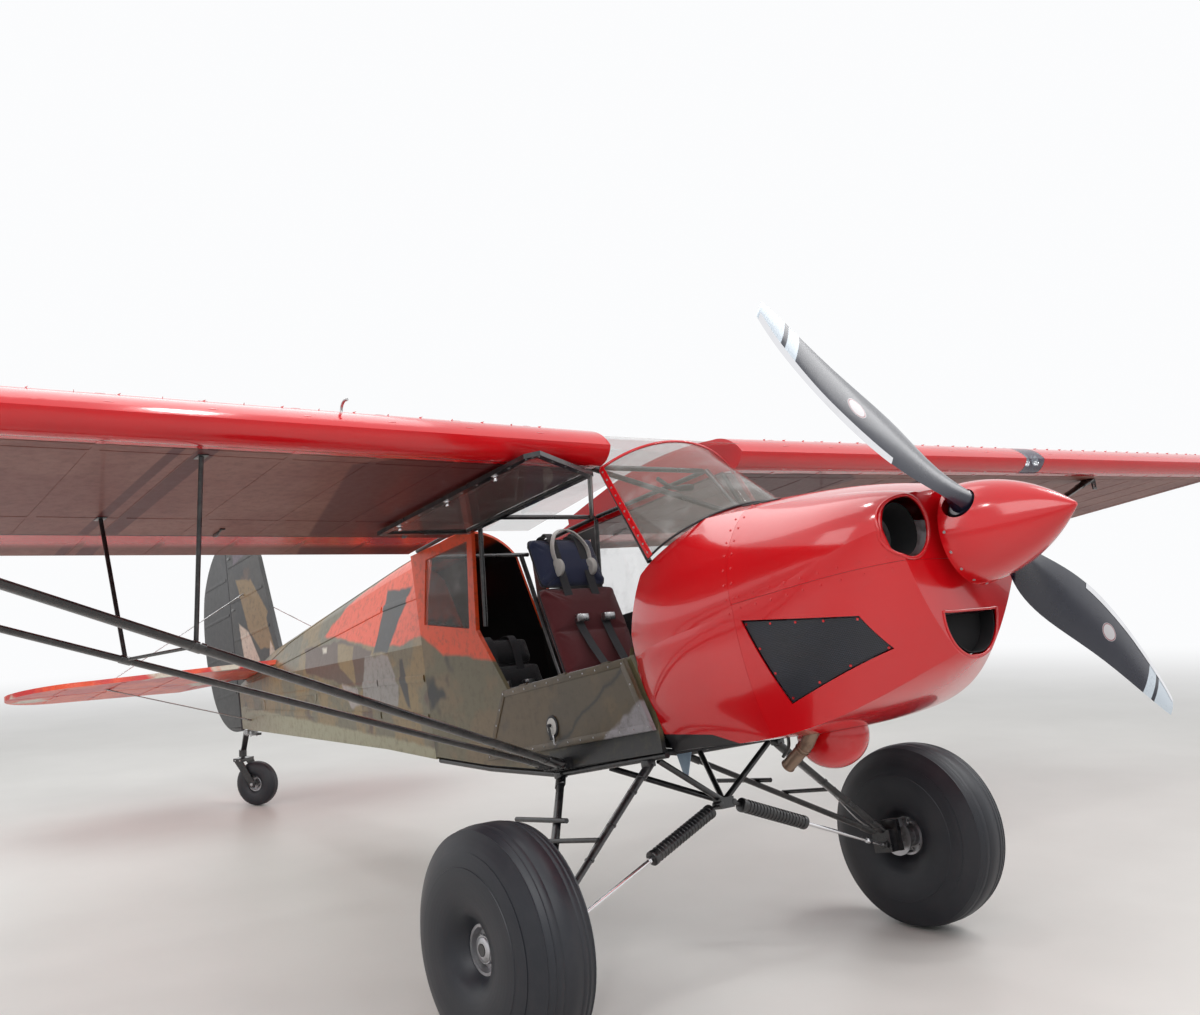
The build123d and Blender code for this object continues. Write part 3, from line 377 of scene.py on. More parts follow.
@dataclass(frozen=True)
class Patch:
    """A painted area: its colour and the corners of its convex outline."""

    colour: Colour
    corners: tuple[Point, ...]


@dataclass(frozen=True)
class Camouflage(Finish):
    """Hand-sprayed camouflage: soft blotches of three colours under larger painted patches."""

    ground: Colour
    blotch: Colour
    dark: Colour
    patches: tuple[Patch, ...] = ()
    ends: tuple[int, int] = (1, 2)               # which two of x, y and z the patches are drawn in
    shaded_inside: bool = False                    # faces that look at the middle are painted near-black as the shade inside the cabin

    def paint(self, sheet: Sheet) -> None:
        """Writes the finish's nodes.

        Args:
            sheet: The empty tree.
        """
        place = sheet.place()
        parts = sheet.split(place)
        fine, grain = sheet.noise(place, 26, 5, 0.7), sheet.noise(place, 130, 2)
        wander = (sheet.noise(place, 9, 3) - 0.5) * 0.05
        across, along = parts[self.ends[0]] + wander, parts[self.ends[1]] + wander
        colour = sheet.mix(sheet.noise(place, 3.1, 4, 0.6).rise(0.44, 0.56), self.ground, self.blotch)
        colour = sheet.mix(sheet.noise(place, 2.3, 3, 0.6).rise(0.60, 0.66), colour, self.dark)
        for patch in self.patches:
            colour = sheet.mix(sheet.inside(across, along, patch.corners, 0.02), colour, patch.colour)
        colour = sheet.mix(fine.rise(0.45, 0.75) * 0.45, colour, tuple(0.45 * c for c in self.ground))
        if self.shaded_inside:
            # Painted shade: faces that look at the middle go near-black, for the dark inside of the cabin.
            normal = sheet.node("ShaderNodeTexCoord").outputs["Normal"]
            facing = parts[0] * sheet.split(Value(sheet, normal))[0]
            colour = sheet.mix(1.0 - facing.rise(-0.09, -0.05), colour, (0.006, 0.006, 0.007))
        weave = sheet.noise(place, 700, 1)
        sheet.surface(Base_Color=colour, Roughness=fine * 0.25 + 0.28, Coat_Weight=0.25 + grain * 0.2,
                      Coat_Roughness=0.2, Normal=sheet.bump(fine * 0.5 + weave * 0.25, 0.0009, 0.5))


@dataclass(frozen=True)
class WingSkin(Finish):
    """Red gloss over the top and the leading edge; below, a mottled pale pink that is a painted reflection of
    the floor, with dark red painted shade near the root and along the hinge gap, and two dark red bands.
    """

    red: Colour
    # The next two colours are a painted reflection of the pale floor on the glossy underside, pale pink
    # mottled with a warmer tone.
    floor_reflection: Colour
    reflection_warm: Colour
    # Dark red for the painted shade near the root and in the hinge gap, and for the two bands.
    band: Colour
    under_y: float = 0.045                       # where the red of the leading edge ends below
    root_shade_line: tuple[Point, ...] = ()            # the dark red painted shade near the root, (|x|, y)
    bands: tuple[tuple[float, float], ...] = ()  # (|x|, half width) of the bands along the chord
    # Where the hinge gap runs along the span; it is painted as a dark red band of shade.
    gap_shade_y: float = 1.19

    def paint(self, sheet: Sheet) -> None:
        """Writes the finish's nodes.

        Args:
            sheet: The empty tree.
        """
        place = sheet.place()
        x, y, z = sheet.split(place)
        out = x.size()
        fine, cloud = sheet.noise(place, 30, 5, 0.7), sheet.noise(place, 2.2, 4, 0.6)
        peel = sheet.noise(place, 320, 2)
        middle = (out - WING_ROOT_X) * math.tan(DIHEDRAL) + (WING_ROOT_Z + 0.0045)
        below = 1.0 - (z - middle).rise(0.0, 0.004)
        # The underside's painted reflection of the floor, mottled.
        floor_reflection = sheet.mix(cloud.rise(0.38, 0.62), self.floor_reflection, self.reflection_warm)
        floor_reflection = sheet.mix(fine.rise(0.4, 0.8) * 0.5, floor_reflection, tuple(0.5 * c for c in self.reflection_warm))
        # Painted shade along the hinge gap, then the two dark bands.
        outside_shade_and_bands = (y - self.gap_shade_y).size().rise(0.012, 0.022)
        for x0, half in self.bands:
            outside_shade_and_bands = outside_shade_and_bands * (out - x0).size().rise(half, half + 0.008)
        # Painted shade near the root.
        root = sheet.inside(out, y, self.root_shade_line, 0.02)
        under = sheet.mix((1.0 - outside_shade_and_bands).most(root), floor_reflection, self.band)
        red = sheet.mix(cloud.rise(0.35, 0.75) * 0.5, self.red, tuple(0.78 * c for c in self.red))
        belly = below * (y + wander_of(sheet, place, 0.012)).rise(self.under_y, self.under_y + 0.006)
        sheet.surface(Base_Color=sheet.mix(belly, red, under), Roughness=belly * (fine * 0.2 + 0.22) + 0.16,
                      Coat_Weight=0.45 - belly * 0.35, Coat_Roughness=0.06,
                      Normal=sheet.bump(peel * 0.3 + fine * 0.2 * belly, 0.0005, 0.4))


def wander_of(sheet: Sheet, place: Value, reach: float) -> Value:
    """A slow waver for a painted edge.

    Args:
        sheet: The tree.
        place: The point on the piece.
        reach: Its size in metres.

    Returns:
        The waver, about 0.
    """
    return (sheet.noise(place, 7, 3) - 0.5) * (2 * reach)


@dataclass(frozen=True)
class TubePaint(Finish):
    """Dark enamel on tubes and castings, chipped and dust-covered."""

    colour: Colour
    chip: Colour = (0.16, 0.15, 0.14)
    roughness: float = 0.28
    chips: float = 0.5

    def paint(self, sheet: Sheet) -> None:
        """Writes the finish's nodes.

        Args:
            sheet: The empty tree.
        """
        place = sheet.place()
        dust, speck = sheet.noise(place, 22, 4, 0.65), sheet.noise(place, 150, 3, 0.7)
        chip = speck.rise(0.70, 0.74) * self.chips
        colour = sheet.mix(dust.rise(0.45, 0.8) * 0.3, self.colour, self.chip)
        sheet.surface(Base_Color=sheet.mix(chip, colour, self.chip),
                      Roughness=dust * 0.25 + (self.roughness - 0.1),
                      Coat_Weight=0.5 - chip * 0.5, Coat_Roughness=0.15,
                      Normal=sheet.bump(speck, 0.0004, 0.3))


@dataclass(frozen=True)
class Metal(Finish):
    """Bare metal with fine scratches and stains."""

    colour: Colour
    stain: Colour
    roughness: float = 0.25
    stained: float = 0.4

    def paint(self, sheet: Sheet) -> None:
        """Writes the finish's nodes.

        Args:
            sheet: The empty tree.
        """
        place = sheet.place()
        scratch = sheet.noise(sheet.stretched(place, (900, 60, 900)), 1.0, 2)
        cloud = sheet.noise(place, 14, 4, 0.6)
        stain = cloud.rise(0.45, 0.7) * self.stained
        sheet.surface(Base_Color=sheet.mix(stain, self.colour, self.stain), Metallic=1.0 - stain * 0.5,
                      Roughness=scratch * 0.12 + stain * 0.3 + (self.roughness - 0.05),
                      Normal=sheet.bump(scratch, 0.0002, 0.25))


@dataclass(frozen=True)
class Rubber(Finish):
    """Tyre rubber, dust-covered and slightly bloomed, with moulding rings round its axle."""

    colour: Colour
    bloom: Colour
    centre: Point                                # of the wheel, in the frame of the CAD
    turned: float = 0.0                          # heading of the axle from +X, in degrees
    rings: float = 60.0                          # rings in a metre of radius

    def paint(self, sheet: Sheet) -> None:
        """Writes the finish's nodes.

        Args:
            sheet: The empty tree.
        """
        local = sheet.place(Matrix.Rotation(math.radians(-self.turned), 4, "Z")
                            @ Matrix.Translation(-Vector(self.centre)))
        _, y, z = sheet.split(local)
        radius = sheet.math("SQRT", y * y + z * z)
        dust, grain = sheet.noise(local, 9, 4, 0.6), sheet.noise(local, 160, 3, 0.6)
        ring = sheet.math("SINE", radius * (self.rings * 2 * math.pi))
        scuff = sheet.noise(sheet.stretched(local, (30, 4, 4)), 1.0, 4, 0.6)
        colour = sheet.mix(dust.rise(0.35, 0.8) * 0.6 + scuff.rise(0.5, 0.8) * 0.35, self.colour, self.bloom)
        sheet.surface(Base_Color=colour, Roughness=dust * 0.18 + grain * 0.06 + 0.40,
                      Coat_Weight=0.10 + scuff * 0.08,
                      Coat_Roughness=0.3, Normal=sheet.bump(ring * 0.10 + grain * 0.5, 0.0012, 0.4))


@dataclass(frozen=True)
class BladeFinish(Finish):
    """Satin composite blades with two pale tip stripes and a blank oval mark on each."""

    colour: Colour
    sheen: Colour
    pale: Colour
    hub_z: float = 1.041
    blade_angle: float = 146.0                   # of the upper blade from +X
    stripes: tuple[tuple[float, float], ...] = ((0.904, 0.950), (0.968, 1.10))
    mark_r: float = 0.650
    mark_size: float = 0.026

    def paint(self, sheet: Sheet) -> None:
        """Writes the finish's nodes.

        Args:
            sheet: The empty tree.
        """
        place = sheet.place()
        x, _, z = sheet.split(place)
        up = z - self.hub_z
        c, s = math.cos(math.radians(self.blade_angle)), math.sin(math.radians(self.blade_angle))
        along, across = x * c + up * s, up * c - x * s
        reach = along.size()
        pale: Number = 0.0
        for low, high in self.stripes:
            pale = (reach - low).rise(0.0, 0.002) * (1.0 - (reach - high).rise(0.0, 0.002)) + pale
        ring = sheet.math("SQRT", (reach - self.mark_r) * (reach - self.mark_r) * 0.45 + across * across)
        r = self.mark_size
        mark, rim = 1.0 - ring.rise(r, r + 0.0015), 1.0 - (ring - (r - 0.002)).size().rise(0.0012, 0.002)
        fine, cloud = sheet.noise(sheet.stretched(place, (120, 120, 120)), 1.0, 2), sheet.noise(place, 6, 4)
        colour = sheet.mix(cloud.rise(0.4, 0.7) * 0.5, self.colour, self.sheen)
        colour = sheet.mix(pale, colour, self.pale)
        colour = sheet.mix(rim, sheet.mix(mark, colour, (0.62, 0.60, 0.62)), (0.30, 0.10, 0.12))
        sheet.surface(Base_Color=colour, Roughness=fine * 0.08 + cloud * 0.10 + 0.20, Coat_Weight=0.5,
                      Coat_Roughness=0.18, Normal=sheet.bump(fine, 0.0003, 0.3))


@dataclass(frozen=True)
class ClearSheet(Finish):
    """Bent clear acrylic with a faint tint, smears and fine scratches."""

    tint: Colour
    opacity: float = 0.16

    def paint(self, sheet: Sheet) -> None:
        """Writes the finish's nodes.

        Args:
            sheet: The empty tree.
        """
        place = sheet.place()
        smear = sheet.noise(sheet.stretched(place, (3, 9, 9)), 1.0, 5, 0.65)
        scratch = sheet.noise(sheet.stretched(place, (400, 40, 60)), 1.0, 2)
        haze = smear.rise(0.48, 0.8)
        alpha = haze * 0.10 + scratch.rise(0.68, 0.8) * 0.05 + self.opacity
        sheet.surface(Base_Color=sheet.mix(haze * 0.6, self.tint, (0.72, 0.72, 0.70)), Alpha=alpha,
                      Roughness=haze * 0.12 + 0.03, Specular_IOR_Level=0.9, Coat_Weight=0.6,
                      Coat_Roughness=0.02)


@dataclass(frozen=True)
class Cloth(Finish):
    """Woven seat cloth with a worn middle."""

    colour: Colour
    thread: Colour
    scale: float = 420.0

    def paint(self, sheet: Sheet) -> None:
        """Writes the finish's nodes.

        Args:
            sheet: The empty tree.
        """
        place = sheet.place()
        x, y, z = sheet.split(place)
        warp = sheet.math("SINE", x * (self.scale * 6.3))
        weft = sheet.math("SINE", (y + z) * (self.scale * 6.3))
        weave, wear = (warp * weft).rise(-0.6, 0.6), sheet.noise(place, 7, 4, 0.6)
        colour = sheet.mix(weave * 0.55, self.colour, self.thread)
        sheet.surface(Base_Color=sheet.mix(wear.rise(0.5, 0.8) * 0.35, colour,
                                           tuple(1.5 * c + 0.01 for c in self.thread)),
                      Roughness=wear * 0.12 + 0.80, Sheen_Weight=0.3, Sheen_Roughness=0.5,
                      Normal=sheet.bump(weave + wear * 0.5, 0.0006, 0.6))


@dataclass(frozen=True)
class Moulded(Finish):
    """Moulded plastic or wrinkle paint with a fine grain."""

    colour: Colour
    roughness: float = 0.5
    grain: float = 600.0

    def paint(self, sheet: Sheet) -> None:
        """Writes the finish's nodes.

        Args:
            sheet: The empty tree.
        """
        place = sheet.place()
        grain, cloud = sheet.noise(place, self.grain, 2), sheet.noise(place, 12, 3)
        worn = tuple(min(1.0, 1.6 * c + 0.01) for c in self.colour)
        sheet.surface(Base_Color=sheet.mix(cloud.rise(0.4, 0.8) * 0.4, self.colour, worn),
                      Roughness=cloud * 0.12 + (self.roughness - 0.05), Normal=sheet.bump(grain, 0.0004, 0.4))


@dataclass(frozen=True)
class Louvre(Finish):
    """A black perforated outlet panel: staggered round holes in painted sheet, each hole drawn as a
    near-black dot of painted shade.
    """

    colour: Colour
    hole_shade: Colour
    pitch: float = 0.011

    def paint(self, sheet: Sheet) -> None:
        """Writes the finish's nodes.

        Args:
            sheet: The empty tree.
        """
        place = sheet.place()
        _, y, z = sheet.split(place)
        wave = 2 * math.pi / self.pitch
        # The holes are dots of painted shade.
        dots = (sheet.math("SINE", y * wave) * sheet.math("SINE", z * wave)).size().rise(0.35, 0.55)
        cloud = sheet.noise(place, 9, 4)
        sheet.surface(Base_Color=sheet.mix(dots, sheet.mix(cloud, self.colour, (0.02, 0.028, 0.05)),
                                           self.hole_shade),
                      Roughness=cloud * 0.2 + dots * 0.3 + 0.22, Coat_Weight=0.4 - dots * 0.4,
                      Coat_Roughness=0.2, Normal=sheet.bump(1.0 - dots, 0.0012, 0.7))


class Paints:
    """Every finish of the aircraft, by its part of the scheme."""

    RED: Colour = (0.66, 0.005, 0.010)
    BLACK: Colour = (0.006, 0.006, 0.008)
    ORANGE: Colour = (0.82, 0.075, 0.012)
    GOLD: Colour = (0.23, 0.155, 0.055)
    OLIVE: Colour = (0.135, 0.115, 0.062)
    BROWN: Colour = (0.075, 0.036, 0.018)
    GREY: Colour = (0.27, 0.25, 0.235)
    CREAM: Colour = (0.62, 0.56, 0.46)
    # Both tyre colour pairs carry a faint blue tint, a painted reflection of the surroundings.
    TYRE_WITH_REFLECTION_TINT: tuple[Colour, Colour] = ((0.006, 0.008, 0.014), (0.022, 0.022, 0.028))
    TAIL_TYRE_WITH_REFLECTION_TINT: tuple[Colour, Colour] = ((0.008, 0.009, 0.015), (0.03, 0.03, 0.034))

    cowl = GlossPaint("cowl_red", RED, (0.56, 0.004, 0.008), slot="red_paint")
    boot = BellyPaint("boot_cowl_red", RED, BLACK,
                      ((0.1, 0.735), (0.1, 0.3), (-1.4, 0.3), (-1.4, 0.42), (-0.60, 0.525),
                       (-0.28, 0.591), (-0.053, 0.674)), slot="red_paint")
    black_tube = TubePaint("black_tube", (0.008, 0.008, 0.010), slot="dark_paint")
    side = Camouflage("side_camouflage", OLIVE, GOLD, BROWN, (
        Patch(ORANGE, ((0.93, 0.88), (1.06, 0.92), (1.37, 1.13), (1.65, 1.2), (1.65, 1.66), (0.9, 1.66))),
        Patch(ORANGE, ((1.50, 1.25), (1.95, 1.24), (2.2, 1.30), (3.25, 1.46), (2.63, 1.66), (1.50, 1.80))),
        Patch(BLACK, ((2.11, 1.60), (1.735, 1.545), (1.98, 1.228), (2.197, 1.265))),
        Patch(BROWN, ((3.40, 1.50), (2.67, 1.43), (2.19, 1.29), (2.32, 1.1), (2.65, 1.16), (3.3, 1.32))),
        Patch(GOLD, ((2.80, 1.43), (2.5, 1.37), (2.46, 1.12), (2.72, 1.27))),
        Patch(CREAM, ((2.96, 1.44), (3.08, 1.45), (3.02, 1.39), (2.94, 1.385))),
        Patch(GREY, ((2.31, 1.28), (1.98, 1.24), (1.88, 1.06), (1.92, 0.95), (2.42, 1.02))),
        Patch(BLACK, ((1.98, 1.23), (1.78, 1.18), (1.76, 0.92), (1.91, 0.95), (1.88, 1.06))),
        Patch((0.36, 0.31, 0.29), ((2.45, 1.13), (2.72, 1.20), (2.60, 1.02), (2.44, 1.02))),
        Patch((0.30, 0.28, 0.17), ((1.40, 0.55), (1.40, 0.70), (4.80, 1.32), (4.80, 1.0))),
    ), shaded_inside=True, slot="camouflage")
    forward_side = Camouflage("forward_side_camouflage", OLIVE, (0.17, 0.12, 0.06), BLACK, (
        Patch(ORANGE, ((0.93, 0.88), (1.06, 0.92), (1.37, 1.13), (1.65, 1.2), (1.65, 1.75), (0.9, 1.75))),
        Patch(BLACK, ((-0.2, 0.4), (0.62, 0.4), (0.62, 0.60), (-0.06, 0.70))),
    ), shaded_inside=True, slot="camouflage")
    tail = Camouflage("tail_camouflage", (0.02, 0.018, 0.016), BLACK, BROWN, (
        Patch(GOLD, ((4.69, 2.21), (4.40, 2.16), (4.16, 1.88), (4.30, 1.70), (4.54, 1.81))),
        Patch(GOLD, ((4.36, 1.64), (4.10, 1.60), (4.24, 1.95), (4.54, 1.81))),
        Patch(CREAM, ((4.70, 1.90), (4.52, 1.80), (4.36, 1.56), (4.66, 1.56))),
        Patch(CREAM, ((4.18, 1.70), (4.05, 1.52), (4.22, 1.56))),
        Patch((0.10, 0.07, 0.10), ((4.70, 2.60), (4.40, 2.60), (4.36, 2.36), (4.70, 2.30))),
    ), slot="camouflage")
    plane = Camouflage("tailplane_camouflage", ORANGE, (0.62, 0.012, 0.012), CREAM, (), (0, 1),
                       slot="camouflage")
    rudder = Camouflage("rudder_black", BLACK, (0.010, 0.009, 0.012), (0.03, 0.016, 0.02), slot="camouflage")
    # The underside's pink and its warmer tone paint the floor's reflection; the dark red paints the shade
    # near the root and in the hinge gap, and the two bands.
    wing = WingSkin("wing_skin", RED, (0.25, 0.092, 0.070), (0.19, 0.048, 0.036), (0.085, 0.002, 0.003),
                    root_shade_line=((0.30, -0.10), (1.02, -0.10), (1.375, 0.131), (0.977, 1.54), (0.30, 1.54)),
                    bands=((1.90, 0.030), (1.995, 0.016)), slot="fabric_pink")
    blade = BladeFinish("blade_satin", (0.007, 0.009, 0.024), (0.015, 0.018, 0.034), (0.66, 0.74, 0.82),
                        slot="blade_finish")
    windshield = ClearSheet("windshield_clear", (0.24, 0.22, 0.19), 0.24, slot="clear_glass")
    side_glass = ClearSheet("side_glass", (0.34, 0.34, 0.33), 0.15, slot="clear_glass")
    lens = ClearSheet("light_lens", (0.07, 0.09, 0.15), 0.55, slot="clear_glass")
    steel = Metal("bare_steel", (0.46, 0.46, 0.47), (0.20, 0.18, 0.16), slot="steel")
    chrome = Metal("bright_rod", (0.82, 0.82, 0.84), (0.50, 0.48, 0.46), 0.12, 0.15, slot="bright")
    cast = Metal("cast_alloy", (0.52, 0.52, 0.54), (0.16, 0.15, 0.14), 0.38, 0.6, slot="cast")
    hot_steel = Metal("heat_stained_steel", (0.28, 0.20, 0.15), (0.10, 0.055, 0.035), 0.42, 0.8, slot="steel")
    # Near-black painted shade for the inside of the cowl's openings: the inlet ducts, the scoop's filter and
    # wall, and the top slot.
    inside = Moulded("engine_bay_black", (0.002, 0.002, 0.003), 0.85, slot="dark_paint")
    trim = Moulded("black_trim", (0.010, 0.010, 0.012), 0.45, slot="plastic")
    panel = Moulded("panel_wrinkle", (0.018, 0.018, 0.020), 0.55, slot="plastic")
    louvre = Louvre("cheek_louvre", (0.004, 0.005, 0.010), (0.001, 0.001, 0.001), slot="dark_paint")
    seat_black = Cloth("seat_cloth_black", (0.012, 0.012, 0.015), (0.035, 0.035, 0.042), slot="seat_cloth")
    seat_red = Cloth("seat_cloth_red", (0.085, 0.004, 0.008), (0.14, 0.008, 0.012), slot="seat_cloth")
    seat_blue = Cloth("seat_cloth_blue", (0.014, 0.020, 0.062), (0.03, 0.045, 0.12), slot="seat_cloth")
    webbing = Cloth("harness_webbing", (0.02, 0.02, 0.024), (0.05, 0.05, 0.06), 260.0, slot="seat_cloth")
    pale = Moulded("pale_plastic", (0.62, 0.61, 0.58), 0.35, slot="plastic")
    vane = Moulded("pale_blue_vane", (0.40, 0.55, 0.72), 0.35, slot="plastic")
    red_lens = Moulded("red_lens", (0.45, 0.01, 0.01), 0.12, slot="plastic")
    green_lens = Moulded("green_lens", (0.01, 0.26, 0.06), 0.12, slot="plastic")
    lining = Camouflage("door_lining", (0.075, 0.055, 0.030), (0.11, 0.075, 0.035), BROWN, (
        Patch((0.25, 0.235, 0.25),
              ((0.324, 0.578), (-0.032, 0.727), (-0.30, 0.86), (-0.30, 0.50), (0.20, 0.45))),
        # A dark diagonal stripe of painted shadow: the lift strut's shadow across the hanging door.
        Patch((0.010, 0.009, 0.009), ((0.008, 0.872), (0.646, 0.567), (0.646, 0.531), (0.008, 0.836))),
    ), slot="camouflage")


# Modelling

class Bench:
    """Modelling moves, in the level frame."""

    @staticmethod
    def alone(piece: bpy.types.Object) -> None:
        """Selects one piece and nothing else."""
        bpy.ops.object.select_all(action="DESELECT")
        piece.select_set(True)
        bpy.context.view_layer.objects.active = piece

    @classmethod
    def added(cls, name: str) -> bpy.types.Object:
        """Names the primitive that was just added."""
        made = bpy.context.active_object
        made.name = made.data.name = name
        cls.alone(made)
        return made

    @classmethod
    def settle(cls, piece: bpy.types.Object) -> bpy.types.Object:
        """Puts the piece's place into its mesh.

        Args:
            piece: The piece.

        Returns:
            The piece, its object at the origin.
        """
        cls.alone(piece)
        bpy.ops.object.transform_apply(location=True, rotation=True, scale=True)
        return piece

    @classmethod
    def apply(cls, piece: bpy.types.Object) -> bpy.types.Object:
        """Applies the piece's modifiers.

        Args:
            piece: The piece.

        Returns:
            The piece.
        """
        cls.alone(piece)
        for modifier in list(piece.modifiers):
            bpy.ops.object.modifier_apply(modifier=modifier.name)
        return piece

    @classmethod
    def bevelled(cls, piece: bpy.types.Object, width: float, segments: int = 2) -> bpy.types.Object:
        """Rounds the piece's sharp edges.

        Args:
            piece: The piece.
            width: The round's width in metres.
            segments: How many faces it has.

        Returns:
            The piece.
        """
        modifier = piece.modifiers.new("round", "BEVEL")
        modifier.width, modifier.segments, modifier.limit_method = width, segments, "ANGLE"
        modifier.angle_limit = math.radians(40)
        return cls.apply(piece)

    @classmethod
    def block(cls, name: str, low: Point, high: Point, round_edge: float = 0.002) -> bpy.types.Object:
        """A box between two corners with rounded edges.

        Args:
            name: The piece's name.
            low: Its lowest corner.
            high: Its highest corner.
            round_edge: The width of its rounded edges.

        Returns:
            The piece.
        """
        low, high = Vector(low), Vector(high)
        bpy.ops.mesh.primitive_cube_add(size=1, location=(low + high) / 2)
        made = cls.added(name)
        made.scale = high - low
        return cls.bevelled(cls.settle(made), round_edge)

    @classmethod
    def rod(cls, name: str, start: Point, end: Point, radius: float, sides: int = 20,
            tip: float | None = None, round_edge: float = 0.0) -> bpy.types.Object:
        """A round bar, or a cone when its tip's radius is given.

        Args:
            name: The piece's name.
            start: The middle of its first end.
            end: The middle of its other end.
            radius: Its radius.
            sides: How many sides it has.
            tip: The radius of its other end.
            round_edge: The width of its rounded ends.

        Returns:
            The piece.
        """
        start, end = Vector(start), Vector(end)
        run = end - start
        bpy.ops.mesh.primitive_cone_add(vertices=sides, radius1=radius,
                                        radius2=radius if tip is None else tip,
                                        depth=run.length, location=(start + end) / 2,
                                        rotation=run.to_track_quat("Z", "Y").to_euler())
        made = cls.settle(cls.added(name))
        return cls.bevelled(made, round_edge) if round_edge else made

    @classmethod
    def ring(cls, name: str, centre: Point, axis: Point, radius: float, wire: float, sides: int = 40,
             wire_sides: int = 10) -> bpy.types.Object:
        """A round ring.

        Args:
            name: The piece's name.
            centre: Its middle.
            axis: The direction it faces.
            radius: Its radius to the wire's middle.
            wire: The wire's radius.
            sides: Segments round the ring.
            wire_sides: Segments round the wire.

        Returns:
            The piece.
        """
        bpy.ops.mesh.primitive_torus_add(major_segments=sides, minor_segments=wire_sides, major_radius=radius,
                                         minor_radius=wire, location=centre,
                                         rotation=Vector(axis).to_track_quat("Z", "Y").to_euler())
        return cls.settle(cls.added(name))

    @classmethod
    def lathe(cls, name: str, profile: Sequence[Point], centre: Point, axis: Point,
              steps: int = 48) -> bpy.types.Object:
        """Turns a closed outline of (distance along the axis, radius) about an axis.

        Args:
            name: The piece's name.
            profile: The outline's corners, all off the axis.
            centre: A point on the axis, where the distance is 0.
            axis: The axis.
            steps: Segments of the turn.

        Returns:
            The piece.
        """
        bpy.ops.mesh.primitive_circle_add(vertices=len(profile), radius=1, fill_type="NOTHING")
        made = cls.added(name)
        for vertex, (along, radius) in zip(made.data.vertices, profile):
            vertex.co = (radius, 0, along)
        bpy.ops.object.mode_set(mode="EDIT")
        bpy.ops.mesh.select_all(action="SELECT")
        bpy.ops.mesh.spin(steps=steps, angle=2 * math.pi, center=ORIGIN, axis=UP)
        bpy.ops.mesh.select_all(action="SELECT")
        bpy.ops.mesh.remove_doubles(threshold=1e-5)
        bpy.ops.mesh.normals_make_consistent(inside=False)
        bpy.ops.object.mode_set(mode="OBJECT")
        made.rotation_euler = Vector(axis).to_track_quat("Z", "Y").to_euler()
        made.location = centre
        return cls.settle(made)

    @classmethod
    def thickened(cls, piece: bpy.types.Object, thickness: float) -> bpy.types.Object:
        """Gives an open sheet a thickness, half of it to each side.

        Args:
            piece: The sheet.
            thickness: Its thickness.

        Returns:
            The piece.
        """
        solid = piece.modifiers.new("thickness", "SOLIDIFY")
        solid.thickness, solid.offset = thickness, 0
        return cls.apply(piece)

    @classmethod
    def plate(cls, name: str, corners: Sequence[Point], thickness: float,
              round_edge: float = 0.0) -> bpy.types.Object:
        """A sheet cut to an outline.

        Args:
            name: The piece's name.
            corners: The outline's corners in order, as points of space.
            thickness: The sheet's thickness.
            round_edge: The width of its rounded edges.

        Returns:
            The piece.
        """
        bpy.ops.mesh.primitive_circle_add(vertices=len(corners), radius=1, fill_type="NGON")
        made = cls.added(name)
        for vertex, corner in zip(made.data.vertices, corners):
            vertex.co = corner
        cls.thickened(made, thickness)
        return cls.bevelled(made, round_edge) if round_edge else made

    @classmethod
    def pipe(cls, name: str, points: Sequence[Point], radius: float, sides: int = 5) -> bpy.types.Object:
        """A bent pipe along a smooth line.

        Args:
            name: The piece's name.
            points: The line's points.
            radius: The pipe's radius.
            sides: How finely its round is cut.

        Returns:
            The piece, as a mesh.
        """
        bpy.ops.object.select_all(action="DESELECT")
        bpy.ops.curve.primitive_bezier_curve_add()
        made = bpy.context.active_object
        spline = made.data.splines[0]
        spline.bezier_points.add(len(points) - 2)
        for knot, point in zip(spline.bezier_points, points):
            knot.co = point
            knot.handle_left_type = knot.handle_right_type = "AUTO"
        made.data.bevel_depth, made.data.bevel_resolution, made.data.use_fill_caps = radius, sides, True
        made.data.resolution_u = 8
        cls.alone(made)
        bpy.ops.object.convert(target="MESH")
        return cls.settle(cls.added(name))

    @classmethod
    def ribbon(cls, name: str, points: Sequence[Point], across: Point, width: float, thickness: float,
               steps: int = 5) -> bpy.types.Object:
        """A flat strap along a smooth line.

        Args:
            name: The piece's name.
            points: The line's points.
            across: The direction of its width.
            width: Its width.
            thickness: Its thickness.
            steps: Stretches between two points.

        Returns:
            The piece.
        """
        line, half = smooth_line(points, steps), Vector(across).normalized() * (width / 2)
        bpy.ops.mesh.primitive_grid_add(x_subdivisions=2, y_subdivisions=len(line) - 1, size=1)
        made = cls.added(name)
        for row, point in enumerate(line):
            for column in range(3):
                made.data.vertices[row * 3 + column].co = point + half * (column - 1)
        return cls.bevelled(cls.thickened(made, thickness), thickness * 0.3, 1)

    @classmethod
    def sleeve(cls, name: str, centre: Point, run: Point, along: Point, chord: float, thick: float,
               length: float) -> bpy.types.Object:
        """An oval collar round a streamlined tube.

        Args:
            name: The piece's name.
            centre: Its middle.
            run: The tube's direction.
            along: The direction of the oval's long axis.
            chord: The oval's long axis.
            thick: Its short axis.
            length: The collar's length.

        Returns:
            The piece.
        """
        z = Vector(run).normalized()
        x = (Vector(along) - z * z.dot(Vector(along))).normalized()
        bpy.ops.mesh.primitive_cylinder_add(vertices=28, radius=1, depth=1)
        made = cls.added(name)
        made.scale = (chord / 2, thick / 2, length)
        cls.bevelled(cls.settle(made), min(0.002, thick * 0.2), 1)
        made.data.transform(Matrix.Translation(centre) @ Matrix((x, z.cross(x), z)).transposed().to_4x4())
        return made

